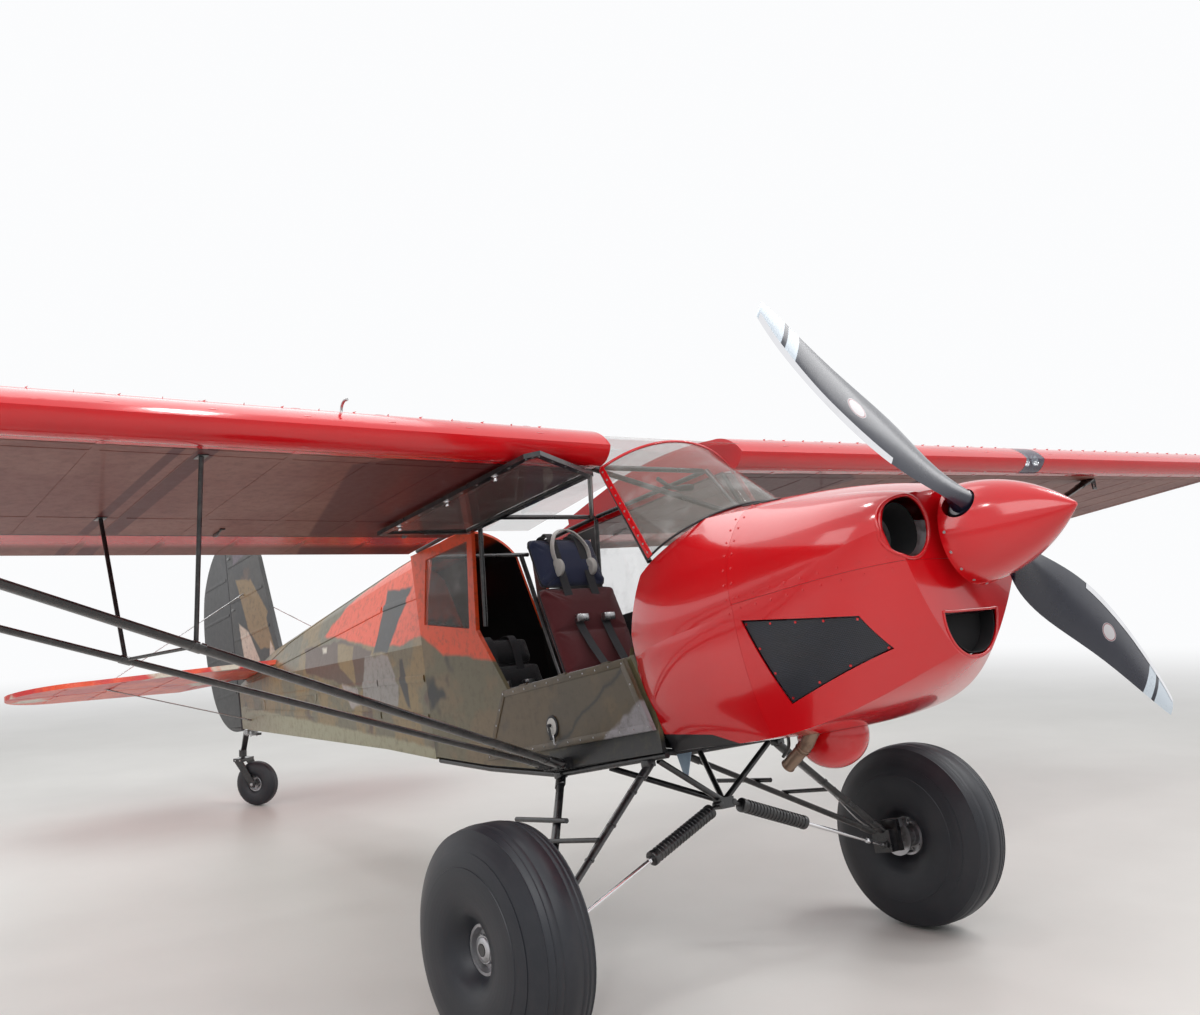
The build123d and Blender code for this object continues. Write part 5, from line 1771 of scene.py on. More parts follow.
@dataclass
class Windscreen:
    """The seals and strips that hold the wrapped windshield."""

    half: float = 0.368
    foot: tuple[Point, Point] = ((-0.197, 1.235), (-0.517, 1.373))       # side and middle, (y, z)
    head: tuple[Point, Point] = ((-0.007, 1.641), (-0.092, 1.742))
    post: tuple[Point, Point] = ((-0.200, 1.231), (0.000, 1.633))
    post_w: float = 0.026

    def seal(self, name: str, side: Point, middle: Point, radius: float, finish: Finish) -> None:
        """Runs a bead round one curved edge of the sheet.

        Args:
            name: The bead's name.
            side: The edge's end, (y, z).
            middle: The edge's middle, (y, z).
            radius: The bead's radius.
            finish: Its finish.
        """
        line = arc_through((-self.half, *side), (0, *middle), (self.half, *side), 14)
        Bench.hand_over(Bench.pipe(name, line, radius), Body.AIRFRAME, finish)

    def posts(self) -> None:
        """Lays the red strip and its screws over the joint at each door post."""
        (y0, z0), (y1, z1) = self.post
        length = math.hypot(y1 - y0, z1 - z0)
        ny, nz = -(z1 - z0) / length, (y1 - y0) / length
        strips, screws = [], []
        for s in SIDES:
            x = s * 0.3735
            near, far = 0.004, 0.004 + self.post_w
            corners = [(x, y0 + ny * near, z0 + nz * near), (x, y1 + ny * near, z1 + nz * near),
                       (x * 0.985, y1 + ny * far, z1 + nz * far), (x * 0.985, y0 + ny * far, z0 + nz * far)]
            strips.append(Bench.plate("strip", corners, 0.0022, 0.0006))
            middle = near + self.post_w / 2
            for i in range(11):
                share = (i + 0.5) / 11
                place = Vector((x * 0.9925 + s * 0.0011, y0 + (y1 - y0) * share + ny * middle,
                                z0 + (z1 - z0) * share + nz * middle))
                screws.append(stand(place, Vector((s, 0, 0))))
        Bench.deliver("post_strips", strips, Body.AIRFRAME, Paints.cowl)
        Bench.hand_over(Screw(0.0042).set_in("post_screws", screws), Body.AIRFRAME, Paints.steel)

    def build(self) -> None:
        """Makes the seals and strips."""
        self.seal("windshield_foot_seal", *self.foot, 0.0045, Paints.trim)
        self.seal("windshield_head_strip", *self.head, 0.006, Paints.cowl)
        self.posts()


def shrunk(corners: Sequence[Point], d: float) -> list[Point]:
    """A flat outline moved inwards by d.

    Args:
        corners: Its corners.
        d: How far.

    Returns:
        The new corners.
    """
    turn = math.copysign(1,
                         sum(a[0] * b[1] - b[0] * a[1] for a, b in zip(corners, [*corners[1:], corners[0]])))
    lines = []
    for a, b in zip(corners, [*corners[1:], corners[0]]):
        length = math.hypot(b[0] - a[0], b[1] - a[1])
        lines.append((a[0] - (b[1] - a[1]) / length * turn * d, a[1] + (b[0] - a[0]) / length * turn * d,
                      b[0] - a[0], b[1] - a[1]))
    out = []
    for (ax, ay, adx, ady), (bx, by, bdx, bdy) in zip([lines[-1], *lines[:-1]], lines):
        t = ((bx - ax) * bdy - (by - ay) * bdx) / (adx * bdy - ady * bdx)
        out.append((ax + adx * t, ay + ady * t))
    return out


@dataclass
class Doors:
    """The rims, screws, latch, pins and seal of the open clamshell door, and the sill."""

    wall_x: float = 0.372
    upper: tuple[Point, ...] = ((0.014, 1.628), (-0.184, 1.231), (-0.124, 1.190), (1.042, 1.190),
                                (0.968, 1.628))
    lower: tuple[Point, ...] = ((-0.002, 0.895), (0.858, 0.895), (1.042, 1.190), (-0.124, 1.190))
    upper_hinge_z: float = 1.636
    upper_open: float = math.radians(92)
    lower_hinge: tuple[float, float] = (-0.378, 0.895)
    lower_open: float = math.radians(178)
    latch: Point = (0.509, 0.694)

    def raised(self, y: float, z: float, inwards: float = 0.0) -> Vector:
        """A point of the upper door when it is up.

        Args:
            y: Its place along the closed door.
            z: Its height on the closed door.
            inwards: Its distance inside the closed door's outer face.

        Returns:
            The point.
        """
        down, a = self.upper_hinge_z - z, self.upper_open
        return Vector((-self.wall_x - down * math.sin(a) + inwards * math.cos(a), y,
                       self.upper_hinge_z - down * math.cos(a) - inwards * math.sin(a)))

    def hanging(self, y: float, z: float, inwards: float = 0.0) -> Vector:
        """A point of the lower door when it hangs open, like raised."""
        x0, z0 = self.lower_hinge
        dx, dz, a = -self.wall_x - x0 + inwards, z - z0, -self.lower_open
        return Vector((x0 + dx * math.cos(a) + dz * math.sin(a), y, z0 - dx * math.sin(a) + dz * math.cos(a)))

    def upper_fittings(self) -> None:
        """Seals and screws the upper door's frame and gives it its pins."""
        path = shrunk(self.upper, 0.034)
        loop = [self.raised(y, z, 0.012) for y, z in [*path, path[0]]]
        rods = [Bench.rod("seal", a, b, 0.0035, 8) for a, b in zip(loop, loop[1:])]
        Bench.deliver("upper_door_seal", rods, Body.UPPER_DOOR, Paints.trim)
        down = (self.raised(0, 1.4, 0.2) - self.raised(0, 1.4, 0)).normalized()
        spots = [stand(self.raised(y, z, 0.018), down) for y, z in spaced(shrunk(self.upper, 0.018), 0.11, 2)]
        Bench.hand_over(Screw(0.0045).set_in("upper_door_screws", spots), Body.UPPER_DOOR, Paints.steel)
        pins = []
        for y in (0.10, 0.86, 0.46):
            base = self.raised(y, 1.212, 0.017)
            pins.append(Bench.rod("pin", base, base + down * 0.022, 0.0075, 16, round_edge=0.002))
            pins.append(Bench.rod("pad", base, base + down * 0.004, 0.014, 20, round_edge=0.001))
        Bench.deliver("upper_door_pins", pins, Body.UPPER_DOOR, Paints.chrome)

    def lower_fittings(self) -> None:
        """Gives the lower door's inner face its rim, screws, latch and bolt."""
        t = 0.018
        out = (self.hanging(0.4, 1.0, 0.2) - self.hanging(0.4, 1.0, 0.0)).normalized()
        outline, inner = shrunk(self.lower, 0.008), shrunk(self.lower, 0.034)
        rim = []
        for i, (a, b) in enumerate(zip(outline, [*outline[1:], outline[0]])):
            c, d = inner[(i + 1) % len(inner)], inner[i]
            rim.append(Bench.plate("rim", [self.hanging(*p, t + 0.0015) for p in (a, b, c, d)], 0.003,
                                   0.0008))
        Bench.deliver("lower_door_rim", rim, Body.LOWER_DOOR, Paints.lining)
        spots = [stand(self.hanging(y, z, t + 0.003), out)
                 for y, z in spaced(shrunk(self.lower, 0.021), 0.085, 3)]
        Bench.hand_over(Screw(0.004).set_in("lower_door_screws", spots), Body.LOWER_DOOR, Paints.steel)
        y0, z0 = self.latch[0], 2 * self.lower_hinge[1] - self.latch[1]
        base = [self.hanging(y0 + 0.040 * c, z0 + 0.046 * s, t + 0.003) for c, s in circle(28)]
        face = [self.hanging(y0 + 0.031 * c, z0 + 0.036 * s, t + 0.007) for c, s in circle(28)]
        Bench.hand_over(Bench.plate("latch_rim", base, 0.006, 0.0015), Body.LOWER_DOOR, Paints.trim)
        Bench.hand_over(Bench.plate("latch_plate", face, 0.003, 0.0008), Body.LOWER_DOOR, Paints.pale)
        pivot = self.hanging(y0 + 0.004, z0 - 0.006, t + 0.008)
        lever = [Bench.rod("lever", pivot, pivot + out * 0.014, 0.007, 16, round_edge=0.001),
                 Bench.rod("arm", pivot + out * 0.012, self.hanging(y0 - 0.010, z0 + 0.052, t + 0.022),
                           0.0045, 14, 0.006, round_edge=0.0008)]
        Bench.deliver("latch_lever", lever, Body.LOWER_DOOR, Paints.trim)
        bolts = [Bench.rod("bolt", self.hanging(y0, z0 + 0.04, t + 0.004), self.hanging(y0, 1.168, t + 0.004),
                           0.003, 10),
                 Bench.rod("guide", self.hanging(y0, 1.13, t + 0.004), self.hanging(y0, 1.155, t + 0.004),
                           0.006, 14, round_edge=0.001)]
        Bench.deliver("latch_bolt", bolts, Body.LOWER_DOOR, Paints.steel)

    def sill(self) -> None:
        """Puts a scuff strip along the doorway's lower edge."""
        x = -self.wall_x + 0.0122
        strip = Bench.block("sill_strip", (x - 0.0062, 0.005, 0.8945), (x + 0.0062, 0.850, 0.8968), 0.0008)
        Bench.hand_over(strip, Body.AIRFRAME, Paints.steel)

    def build(self) -> None:
        """Makes the doors' fittings."""
        self.upper_fittings()
        self.lower_fittings()
        self.sill()


@dataclass
class Pad:
    """A sewn cushion: a block that is remeshed and swollen as cloth between its sewn channels."""

    name: str
    size: Point                                  # across, along and thickness
    place: Matrix                                # of its middle
    finish: Finish
    channels: tuple[float, ...] = ()             # where it is sewn, as shares of its length
    cap: float = 0.016
    voxel: float = 0.006

    def block(self) -> bpy.types.Object:
        """The pad's rounded block, a little smaller than the finished pad."""
        w, l, t = (v / 2 for v in self.size)
        return Bench.block(self.name, (-w + 0.006, -l + 0.006, -t * 0.72), (w - 0.006, l - 0.006, t * 0.72),
                           0.022)

    def swell(self, pad: bpy.types.Object) -> None:
        """Remeshes the pad and lets cloth swell under pressure, held at its seams.

        Args:
            pad: The block.
        """
        remesh = pad.modifiers.new("remesh", "REMESH")
        remesh.mode, remesh.voxel_size = "VOXEL", self.voxel
        Bench.apply(pad)
        length, thick = self.size[1], self.size[2]
        held = pad.vertex_groups.new(name="seams")
        for vertex in pad.data.vertices:
            share = vertex.co.y / length + 0.5
            if any(abs(share - c) * length < self.voxel * 0.8 for c in self.channels) or \
                    abs(vertex.co.z) < self.voxel * 0.6:
                held.add([vertex.index], 1.0, "REPLACE")
                if abs(vertex.co.z) > thick * 0.2:
                    vertex.co.z *= 0.80
        rest = [vertex.co.copy() for vertex in pad.data.vertices]
        cloth = pad.modifiers.new("swell", "CLOTH")
        cloth.settings.quality, cloth.settings.mass = 4, 0.3
        cloth.settings.use_pressure, cloth.settings.uniform_pressure_force = True, 4.0
        cloth.settings.vertex_group_mass = "seams"
        cloth.settings.effector_weights.gravity = 0.0
        cloth.point_cache.frame_start, cloth.point_cache.frame_end = 1, 20
        for step in range(1, 21):
            bpy.context.scene.frame_set(step)
        Bench.apply(pad)
        for vertex, start in zip(pad.data.vertices, rest):
            moved = vertex.co - start
            if moved.length > self.cap:
                vertex.co = start + moved.normalized() * self.cap
        bpy.context.scene.frame_set(1)

    def build(self, *stands_for: str) -> bpy.types.Object:
        """Makes the pad and its piping.

        Args:
            stands_for: The CAD nodes that it replaces.

        Returns:
            The pad.
        """
        pad = self.block()
        self.swell(pad)
        soft = pad.modifiers.new("soften", "SUBSURF")
        soft.levels = soft.render_levels = 1
        Bench.apply(pad)
        pad.vertex_groups.clear()
        pad.data.transform(self.place)
        Bench.hand_over(pad, Body.AIRFRAME, self.finish, *stands_for, angle=70)
        w, l = self.size[0] / 2 - 0.006, self.size[1] / 2 - 0.006
        r = 0.022
        loop = [(-w, -l + r), (-w, l - r), (-w + r * 0.3, l - r * 0.3), (-w + r, l), (w - r, l),
                (w - r * 0.3, l - r * 0.3),
                (w, l - r), (w, -l + r), (w - r * 0.3, -l + r * 0.3), (w - r, -l), (-w + r, -l),
                (-w + r * 0.3, -l + r * 0.3), (-w, -l + r)]
        piping = Bench.pipe(f"{self.name}_piping", [self.place @ Vector((x, y, 0)) for x, y in loop], 0.0035,
                            3)
        Bench.hand_over(piping, Body.AIRFRAME, Paints.seat_black)
        return pad


@dataclass
class Cabin:
    """Seats, harness, instruments, levers and pedals."""

    front_y: float = 0.160
    rear_y: float = 0.900
    seat_z: float = 0.672
    rake: float = 0.29                           # how far a seat back leans aft in each metre up
    floor_z: float = 0.522

    def seat(self, word: str, y0: float, width: float, back: float, upper: Finish, lower: Finish) -> None:
        """One seat: its tube frame, cushion and raked back with a head panel.

        Args:
            word: front or rear.
            y0: The cushion's front.
            width: The seat's width.
            back: The height of its back above the cushion's foot.
            upper: The finish of the back's top panel.
            lower: The finish of the cushion and the back's main panel.
        """
        lean = math.atan2(self.rake, 1.0)
        cushion = Pad(f"{word}_cushion", (width, 0.43, 0.10),
                      Matrix.Translation((0, y0 + 0.215, self.seat_z + 0.048)) @
                      Matrix.Rotation(math.radians(3), 4, "X"), lower, (0.33, 0.66))
        cushion.build(f"{word}_seat")
        start, long = self.seat_z + 0.075, back - 0.075
        split = long * 0.70
        for part, low, high, finish, channels in (("back", 0.0, split, lower, (0.3, 0.62)),
                                                  ("head", split + 0.004, long, upper, ())):
            middle, length = start + (low + high) / 2, (high - low) / math.cos(lean)
            y = y0 + 0.425 + self.rake * (middle - self.seat_z - 0.06)
            place = Matrix.Translation((0, y, middle)) @ Matrix.Rotation(math.pi / 2 - lean, 4, "X")
            Pad(f"{word}_{part}", (width * (1.0 if part == "back" else 0.86), length, 0.085), place, finish,
                channels).build()
        w = width / 2 - 0.02
        tubes = []
        for s in SIDES:
            line = [(s * w, y0 + 0.03, self.floor_z + 0.02), (s * w, y0 + 0.01, self.seat_z - 0.010),
                    (s * w, y0 + 0.40, self.seat_z - 0.012), (s * w, y0 + 0.46, self.seat_z + 0.06),
                    (s * w, y0 + 0.478 + self.rake * (back - 0.12), self.seat_z + back - 0.06)]
            tubes.append(Bench.pipe("tube", line, 0.011))
            tubes.append(Bench.pipe("tube", [(s * w, y0 + 0.38, self.floor_z + 0.05),
                                             (s * w, y0 + 0.42, self.seat_z - 0.012)],
                                    0.011))
        for y, z in ((y0 + 0.01, self.seat_z - 0.02), (y0 + 0.40, self.seat_z - 0.012)):
            tubes.append(Bench.rod("cross", (-w, y, z), (w, y, z), 0.010, 16))
        Bench.deliver(f"{word}_seat_frame", tubes, Body.AIRFRAME, Paints.black_tube)

    def harness(self) -> None:
        """Shoulder straps over each seat back and a lap belt, with their buckles."""
        straps, metal = [], []
        for y0, back, half in ((self.front_y, 0.880, 0.075), (self.rear_y, 0.520, 0.07)):
            top = self.seat_z + back
            for s in SIDES:
                x = s * half
                yt = y0 + 0.425 + self.rake * (back - 0.06)
                line = [(x * 0.9, yt + 0.075, top - 0.16), (x, yt + 0.050, top - 0.012), (x, yt, top + 0.016),
                        (x, yt - 0.055, top - 0.020),
                        (x, y0 + 0.38 + self.rake * (back * 0.5), self.seat_z + back * 0.55),
                        (x * 0.7, y0 + 0.345, self.seat_z + 0.20), (x * 0.4, y0 + 0.31, self.seat_z + 0.118)]
                straps.append(Bench.ribbon("strap", line, LEFT, 0.045, 0.0022))
                lap = [(s * 0.21, y0 + 0.40, self.seat_z + 0.03), (s * 0.20, y0 + 0.36, self.seat_z + 0.105),
                       (s * 0.11, y0 + 0.32, self.seat_z + 0.122), (s * 0.03, y0 + 0.30, self.seat_z + 0.118)]
                straps.append(Bench.ribbon("lap", lap, (0, 1, 0.1), 0.045, 0.0022))
                metal.append(Bench.block("adjuster", (x - 0.030, y0 + 0.335 + self.rake * (back * 0.5),
                                                      self.seat_z + back * 0.55 - 0.02),
                                         (x + 0.030, y0 + 0.362 + self.rake * (back * 0.5),
                                          self.seat_z + back * 0.55 + 0.015), 0.003))
            metal.append(Bench.block("buckle", (-0.036, y0 + 0.275, self.seat_z + 0.116),
                                     (0.036, y0 + 0.325, self.seat_z + 0.134), 0.005))
        Bench.deliver("harness_straps", straps, Body.AIRFRAME, Paints.webbing)
        Bench.deliver("harness_metal", metal, Body.AIRFRAME, Paints.steel)

    def headset(self) -> None:
        """Hangs a pilot's headset over the front seat's head panel."""
        top = self.seat_z + 0.880
        y = self.front_y + 0.425 + self.rake * 0.80
        band = [(-0.095, y - 0.085, top - 0.145), (-0.100, y - 0.075, top - 0.06),
                (-0.06, y - 0.055, top + 0.012),
                (0.0, y - 0.05, top + 0.035), (0.06, y - 0.055, top + 0.012), (0.100, y - 0.075, top - 0.06),
                (0.095, y - 0.085, top - 0.145)]
        Bench.hand_over(Bench.ribbon("headset_band", band, (0, 1, 0.25), 0.028, 0.007), Body.AIRFRAME,
                        Paints.pale)
        profile = ((0.0, 0.004), (0.0, 0.034), (0.006, 0.040), (0.020, 0.041), (0.026, 0.034), (0.030, 0.020),
                   (0.030, 0.004))
        cups = [Bench.lathe("cup", profile, (s * 0.080, y - 0.088, top - 0.150), (s, 0, 0), 36)
                for s in SIDES]
        Bench.deliver("headset_cups", cups, Body.AIRFRAME, Paints.pale)

    def panel(self) -> None:
        """The dials, knobs and radio on the panel."""
        face_y, tilt = -0.2475, math.atan2(0.012, 0.211)
        turned = Matrix.Rotation(-math.pi / 2 - tilt, 4, "X")

        def at(x: float, z: float) -> Matrix:
            """The place of a dial on the panel."""
            return Matrix.Translation((x, face_y + (z - 1.03) * 0.057, z)) @ turned
        bezel = ((0.0, 0.044), (0.0, 0.036), (0.004, 0.0345), (0.011, 0.036), (0.013, 0.040), (0.010, 0.044))
        spots = [(x, z) for x in (-0.21, -0.11, 0.11, 0.21) for z in (1.045, 1.145)] + [(0.0, 1.135)]
        places = [at(x, z) for x, z in spots]
        Bench.hand_over(Bench.copies("dial_bezels", Bench.lathe("bezel", bezel, ORIGIN, UP, 36), places),
                        Body.AIRFRAME, Paints.trim)
        card = Bench.rod("card", (0, 0, 0.0005), (0, 0, 0.003), 0.0355, 32)
        Bench.hand_over(Bench.copies("dial_faces", card, places), Body.AIRFRAME, Paints.panel)
        marks = []
        for i in range(12):
            a = math.radians(30 * i)
            marks.append(Bench.block("mark", (-0.0008, 0.026, 0.003), (0.0008, 0.033, 0.0036), 0.0001))
            marks[-1].data.transform(Matrix.Rotation(a, 4, "Z"))
        marks.append(Bench.block("needle", (-0.0012, -0.008, 0.0042), (0.0012, 0.026, 0.005), 0.0003))
        model = Bench.joined("dial_mark", marks)
        Bench.hand_over(Bench.copies("dial_marks", model, places), Body.AIRFRAME, Paints.pale)
        knob = Bench.lathe("knob", ((0.0, 0.003), (0.0, 0.009), (0.010, 0.008), (0.012, 0.005),
                                    (0.012, 0.002)), ORIGIN,
                           UP, 20)
        knobs = [at(x, z)
                 for x, z in ((-0.045, 1.06), (0.045, 1.06), (-0.045, 1.02), (0.045, 1.02), (0.0, 1.02),
                              (-0.28, 1.02), (0.28, 1.02), (-0.28, 1.06), (0.28, 1.06))]
        Bench.hand_over(Bench.copies("panel_knobs", knob, knobs), Body.AIRFRAME, Paints.trim)
        radio = Bench.block("radio", (-0.04, -0.018, 0.0), (0.04, 0.018, 0.010), 0.002)
        radio.data.transform(at(0.0, 1.075))
        Bench.hand_over(radio, Body.AIRFRAME, Paints.panel)

    def controls(self) -> None:
        """Rudder pedals, the throttle quadrants and the flap lever."""
        pedals = []
        z = self.floor_z
        for y, places in ((-0.46, (-0.22, -0.10, 0.10, 0.22)), (0.40, (-0.28, 0.28))):
            for x in places:
                pedals.append(Bench.pipe("stem", [(x, y, z + 0.01), (x, y - 0.01, z + 0.07),
                                                  (x, y - 0.03, z + 0.13)], 0.007))
                pedals.append(Bench.rod("bar", (x - 0.045, y - 0.03, z + 0.135),
                                        (x + 0.045, y - 0.03, z + 0.135), 0.009, 16, round_edge=0.002))
        Bench.deliver("rudder_pedals", pedals, Body.AIRFRAME, Paints.black_tube)
        levers = []
        for y in (0.02, 0.86):
            levers.append(Bench.block("quadrant", (0.325, y - 0.05, 1.02), (0.350, y + 0.07, 1.07), 0.004))
            levers.append(Bench.pipe("lever", [(0.330, y, 1.05), (0.322, y - 0.012, 1.10),
                                               (0.318, y - 0.03, 1.135)], 0.004))
            levers.append(Bench.rod("ball", (0.318, y - 0.032, 1.128), (0.318, y - 0.042, 1.152), 0.011, 18,
                                    round_edge=0.005))
        levers.append(Bench.pipe("flap_lever",
                                 [(-0.05, 0.02, 1.615), (-0.05, -0.05, 1.56), (-0.05, -0.10, 1.54)], 0.009))
        levers.append(Bench.rod("flap_grip", (-0.05, -0.10, 1.54), (-0.05, -0.17, 1.525), 0.014, 20,
                                round_edge=0.004))
        Bench.deliver("cabin_levers", levers, Body.AIRFRAME, Paints.trim)

    def build(self) -> None:
        """Makes the cabin's furniture."""
        self.seat("front", self.front_y, 0.43, 0.880, Paints.seat_blue, Paints.seat_red)
        self.seat("rear", self.rear_y, 0.40, 0.520, Paints.seat_black, Paints.seat_black)
        self.harness()
        self.headset()
        self.panel()
        self.controls()


@dataclass
class Fuselage:
    """Stringers under the fabric, inspection rings, the belly vane and the belly bars."""

    shell_y: tuple[float, float] = (1.56, 2.14)  # ends of the stringers on the rear cabin shell
    aft_y: float = 2.16                          # their front ends on the aft fuselage
    stringer: tuple[float, float] = (0.034, 0.0045)          # width and how far it stands proud
    light_stringer: tuple[float, float] = (0.028, 0.004)

    def stringers(self) -> None:
        """Raises the stringers along the rear fuselage."""
        shell, aft = Skin("rear_cabin_shell"), Skin("aft_fuselage")
        (y0, y1), y2, made = self.shell_y, self.aft_y, []
        for s in SIDES:
            for low, middle, high in ((0.86, 0.94, 1.26), (1.05, 1.11, 1.34)):
                for skin, line in ((shell, ((y0, low), (y1, middle))), (aft, ((y2, middle), (4.70, high)))):
                    points = [(s * 0.6, y, z) for y, z in line]
                    made.append(skin.strip("stringer", points, UP, *self.stringer, (-s, 0, 0), 24))
            for skin, line in ((shell, ((y0, 1.47), (y1, 1.50))), (aft, ((y2, 1.50), (4.60, 1.46)))):
                points = [(s * 0.5, y, z) for y, z in line]
                made.append(skin.strip("deck_stringer", points, UP, 0.030, 0.004, (-s, 0, 0), 24))
        for x in (-0.09, 0.0, 0.09):
            for skin, line, steps in ((shell, [(x, y0, 2.2), (x, y1, 2.2)], 8),
                                      (aft, [(x, y2, 2.2), (x * 0.35, 4.40, 2.2)], 24)):
                made.append(skin.strip("turtle", line, LEFT, *self.light_stringer, DOWN, steps))
        for x in (-0.12, 0.0, 0.12):
            for skin, line, steps in ((aft, [(x, y2, 0.2), (x * 0.2, 4.60, 0.2)], 24),
                                      (shell, [(x, y0, 0.2), (x, y1, 0.2)], 8)):
                made.append(skin.strip("belly", line, LEFT, *self.light_stringer, UP, steps))
        Bench.deliver("fuselage_stringers", made, Body.AIRFRAME, Paints.side, angle=60)

    def rings(self) -> None:
        """Sets the inspection rings on the sides of the aft fuselage."""
        aft, places = Skin("aft_fuselage"), []
        for s in SIDES:
            for y, z in ((4.25, 1.24), (3.2, 1.18)):
                hit = aft.hit((s * 0.6, y, z), (-s, 0, 0))
                if hit:
                    places.append(stand(*hit))
        profile = ((-0.001, 0.002), (-0.001, 0.052), (0.0012, 0.052), (0.0022, 0.049), (0.0012, 0.045),
                   (0.0012, 0.002))
        Bench.hand_over(Bench.copies("inspection_rings", Bench.lathe("ring", profile, ORIGIN, UP, 36),
                                     places),
                        Body.AIRFRAME, Paints.side)

    def belly(self) -> None:
        """The pale blue vane, the drain pipes, the edge bars and the screws under the cabin."""
        vane = Bench.plate("belly_vane", [(0, 0.25, 0.512), (0, 0.155, 0.512), (0, 0.200, 0.415),
                                          (0, 0.222, 0.407)], 0.004, 0.0012)
        Bench.hand_over(vane, Body.AIRFRAME, Paints.vane)
        bars = []
        for s in SIDES:
            line = [(s * 0.350, -0.10, 0.512), (s * 0.350, 0.60, 0.503), (s * 0.350, 1.10, 0.572),
                    (s * 0.350, 1.535, 0.652)]
            for a, b in zip(line, line[1:]):
                bars.append(Bench.rod("longeron", a, b, 0.0125, 18))
            bars.append(Bench.pipe("drain", [(s * 0.12, -0.50, 0.515), (s * 0.12, -0.49, 0.470),
                                             (s * 0.125, -0.46, 0.44)], 0.006))
        Bench.deliver("belly_tubes", bars, Body.AIRFRAME, Paints.black_tube)
        screws = []
        skin = Skin("cabin_floor")
        for x in (-0.31, 0.31, 0.0):
            screws += skin.row((x, 0.06, 0.1), (x, 1.50, 0.1), 14, UP)
        Bench.hand_over(Screw(0.005).set_in("belly_screws", screws), Body.AIRFRAME, Paints.steel)

    def build(self) -> None:
        """Makes the fuselage's details."""
        self.stringers()
        self.rings()
        self.belly()


def underside(x: float) -> float:
    """Height of the wing's flat underside at the distance x from the middle."""
    return WING_ROOT_Z + (abs(x) - WING_ROOT_X) * math.tan(DIHEDRAL)


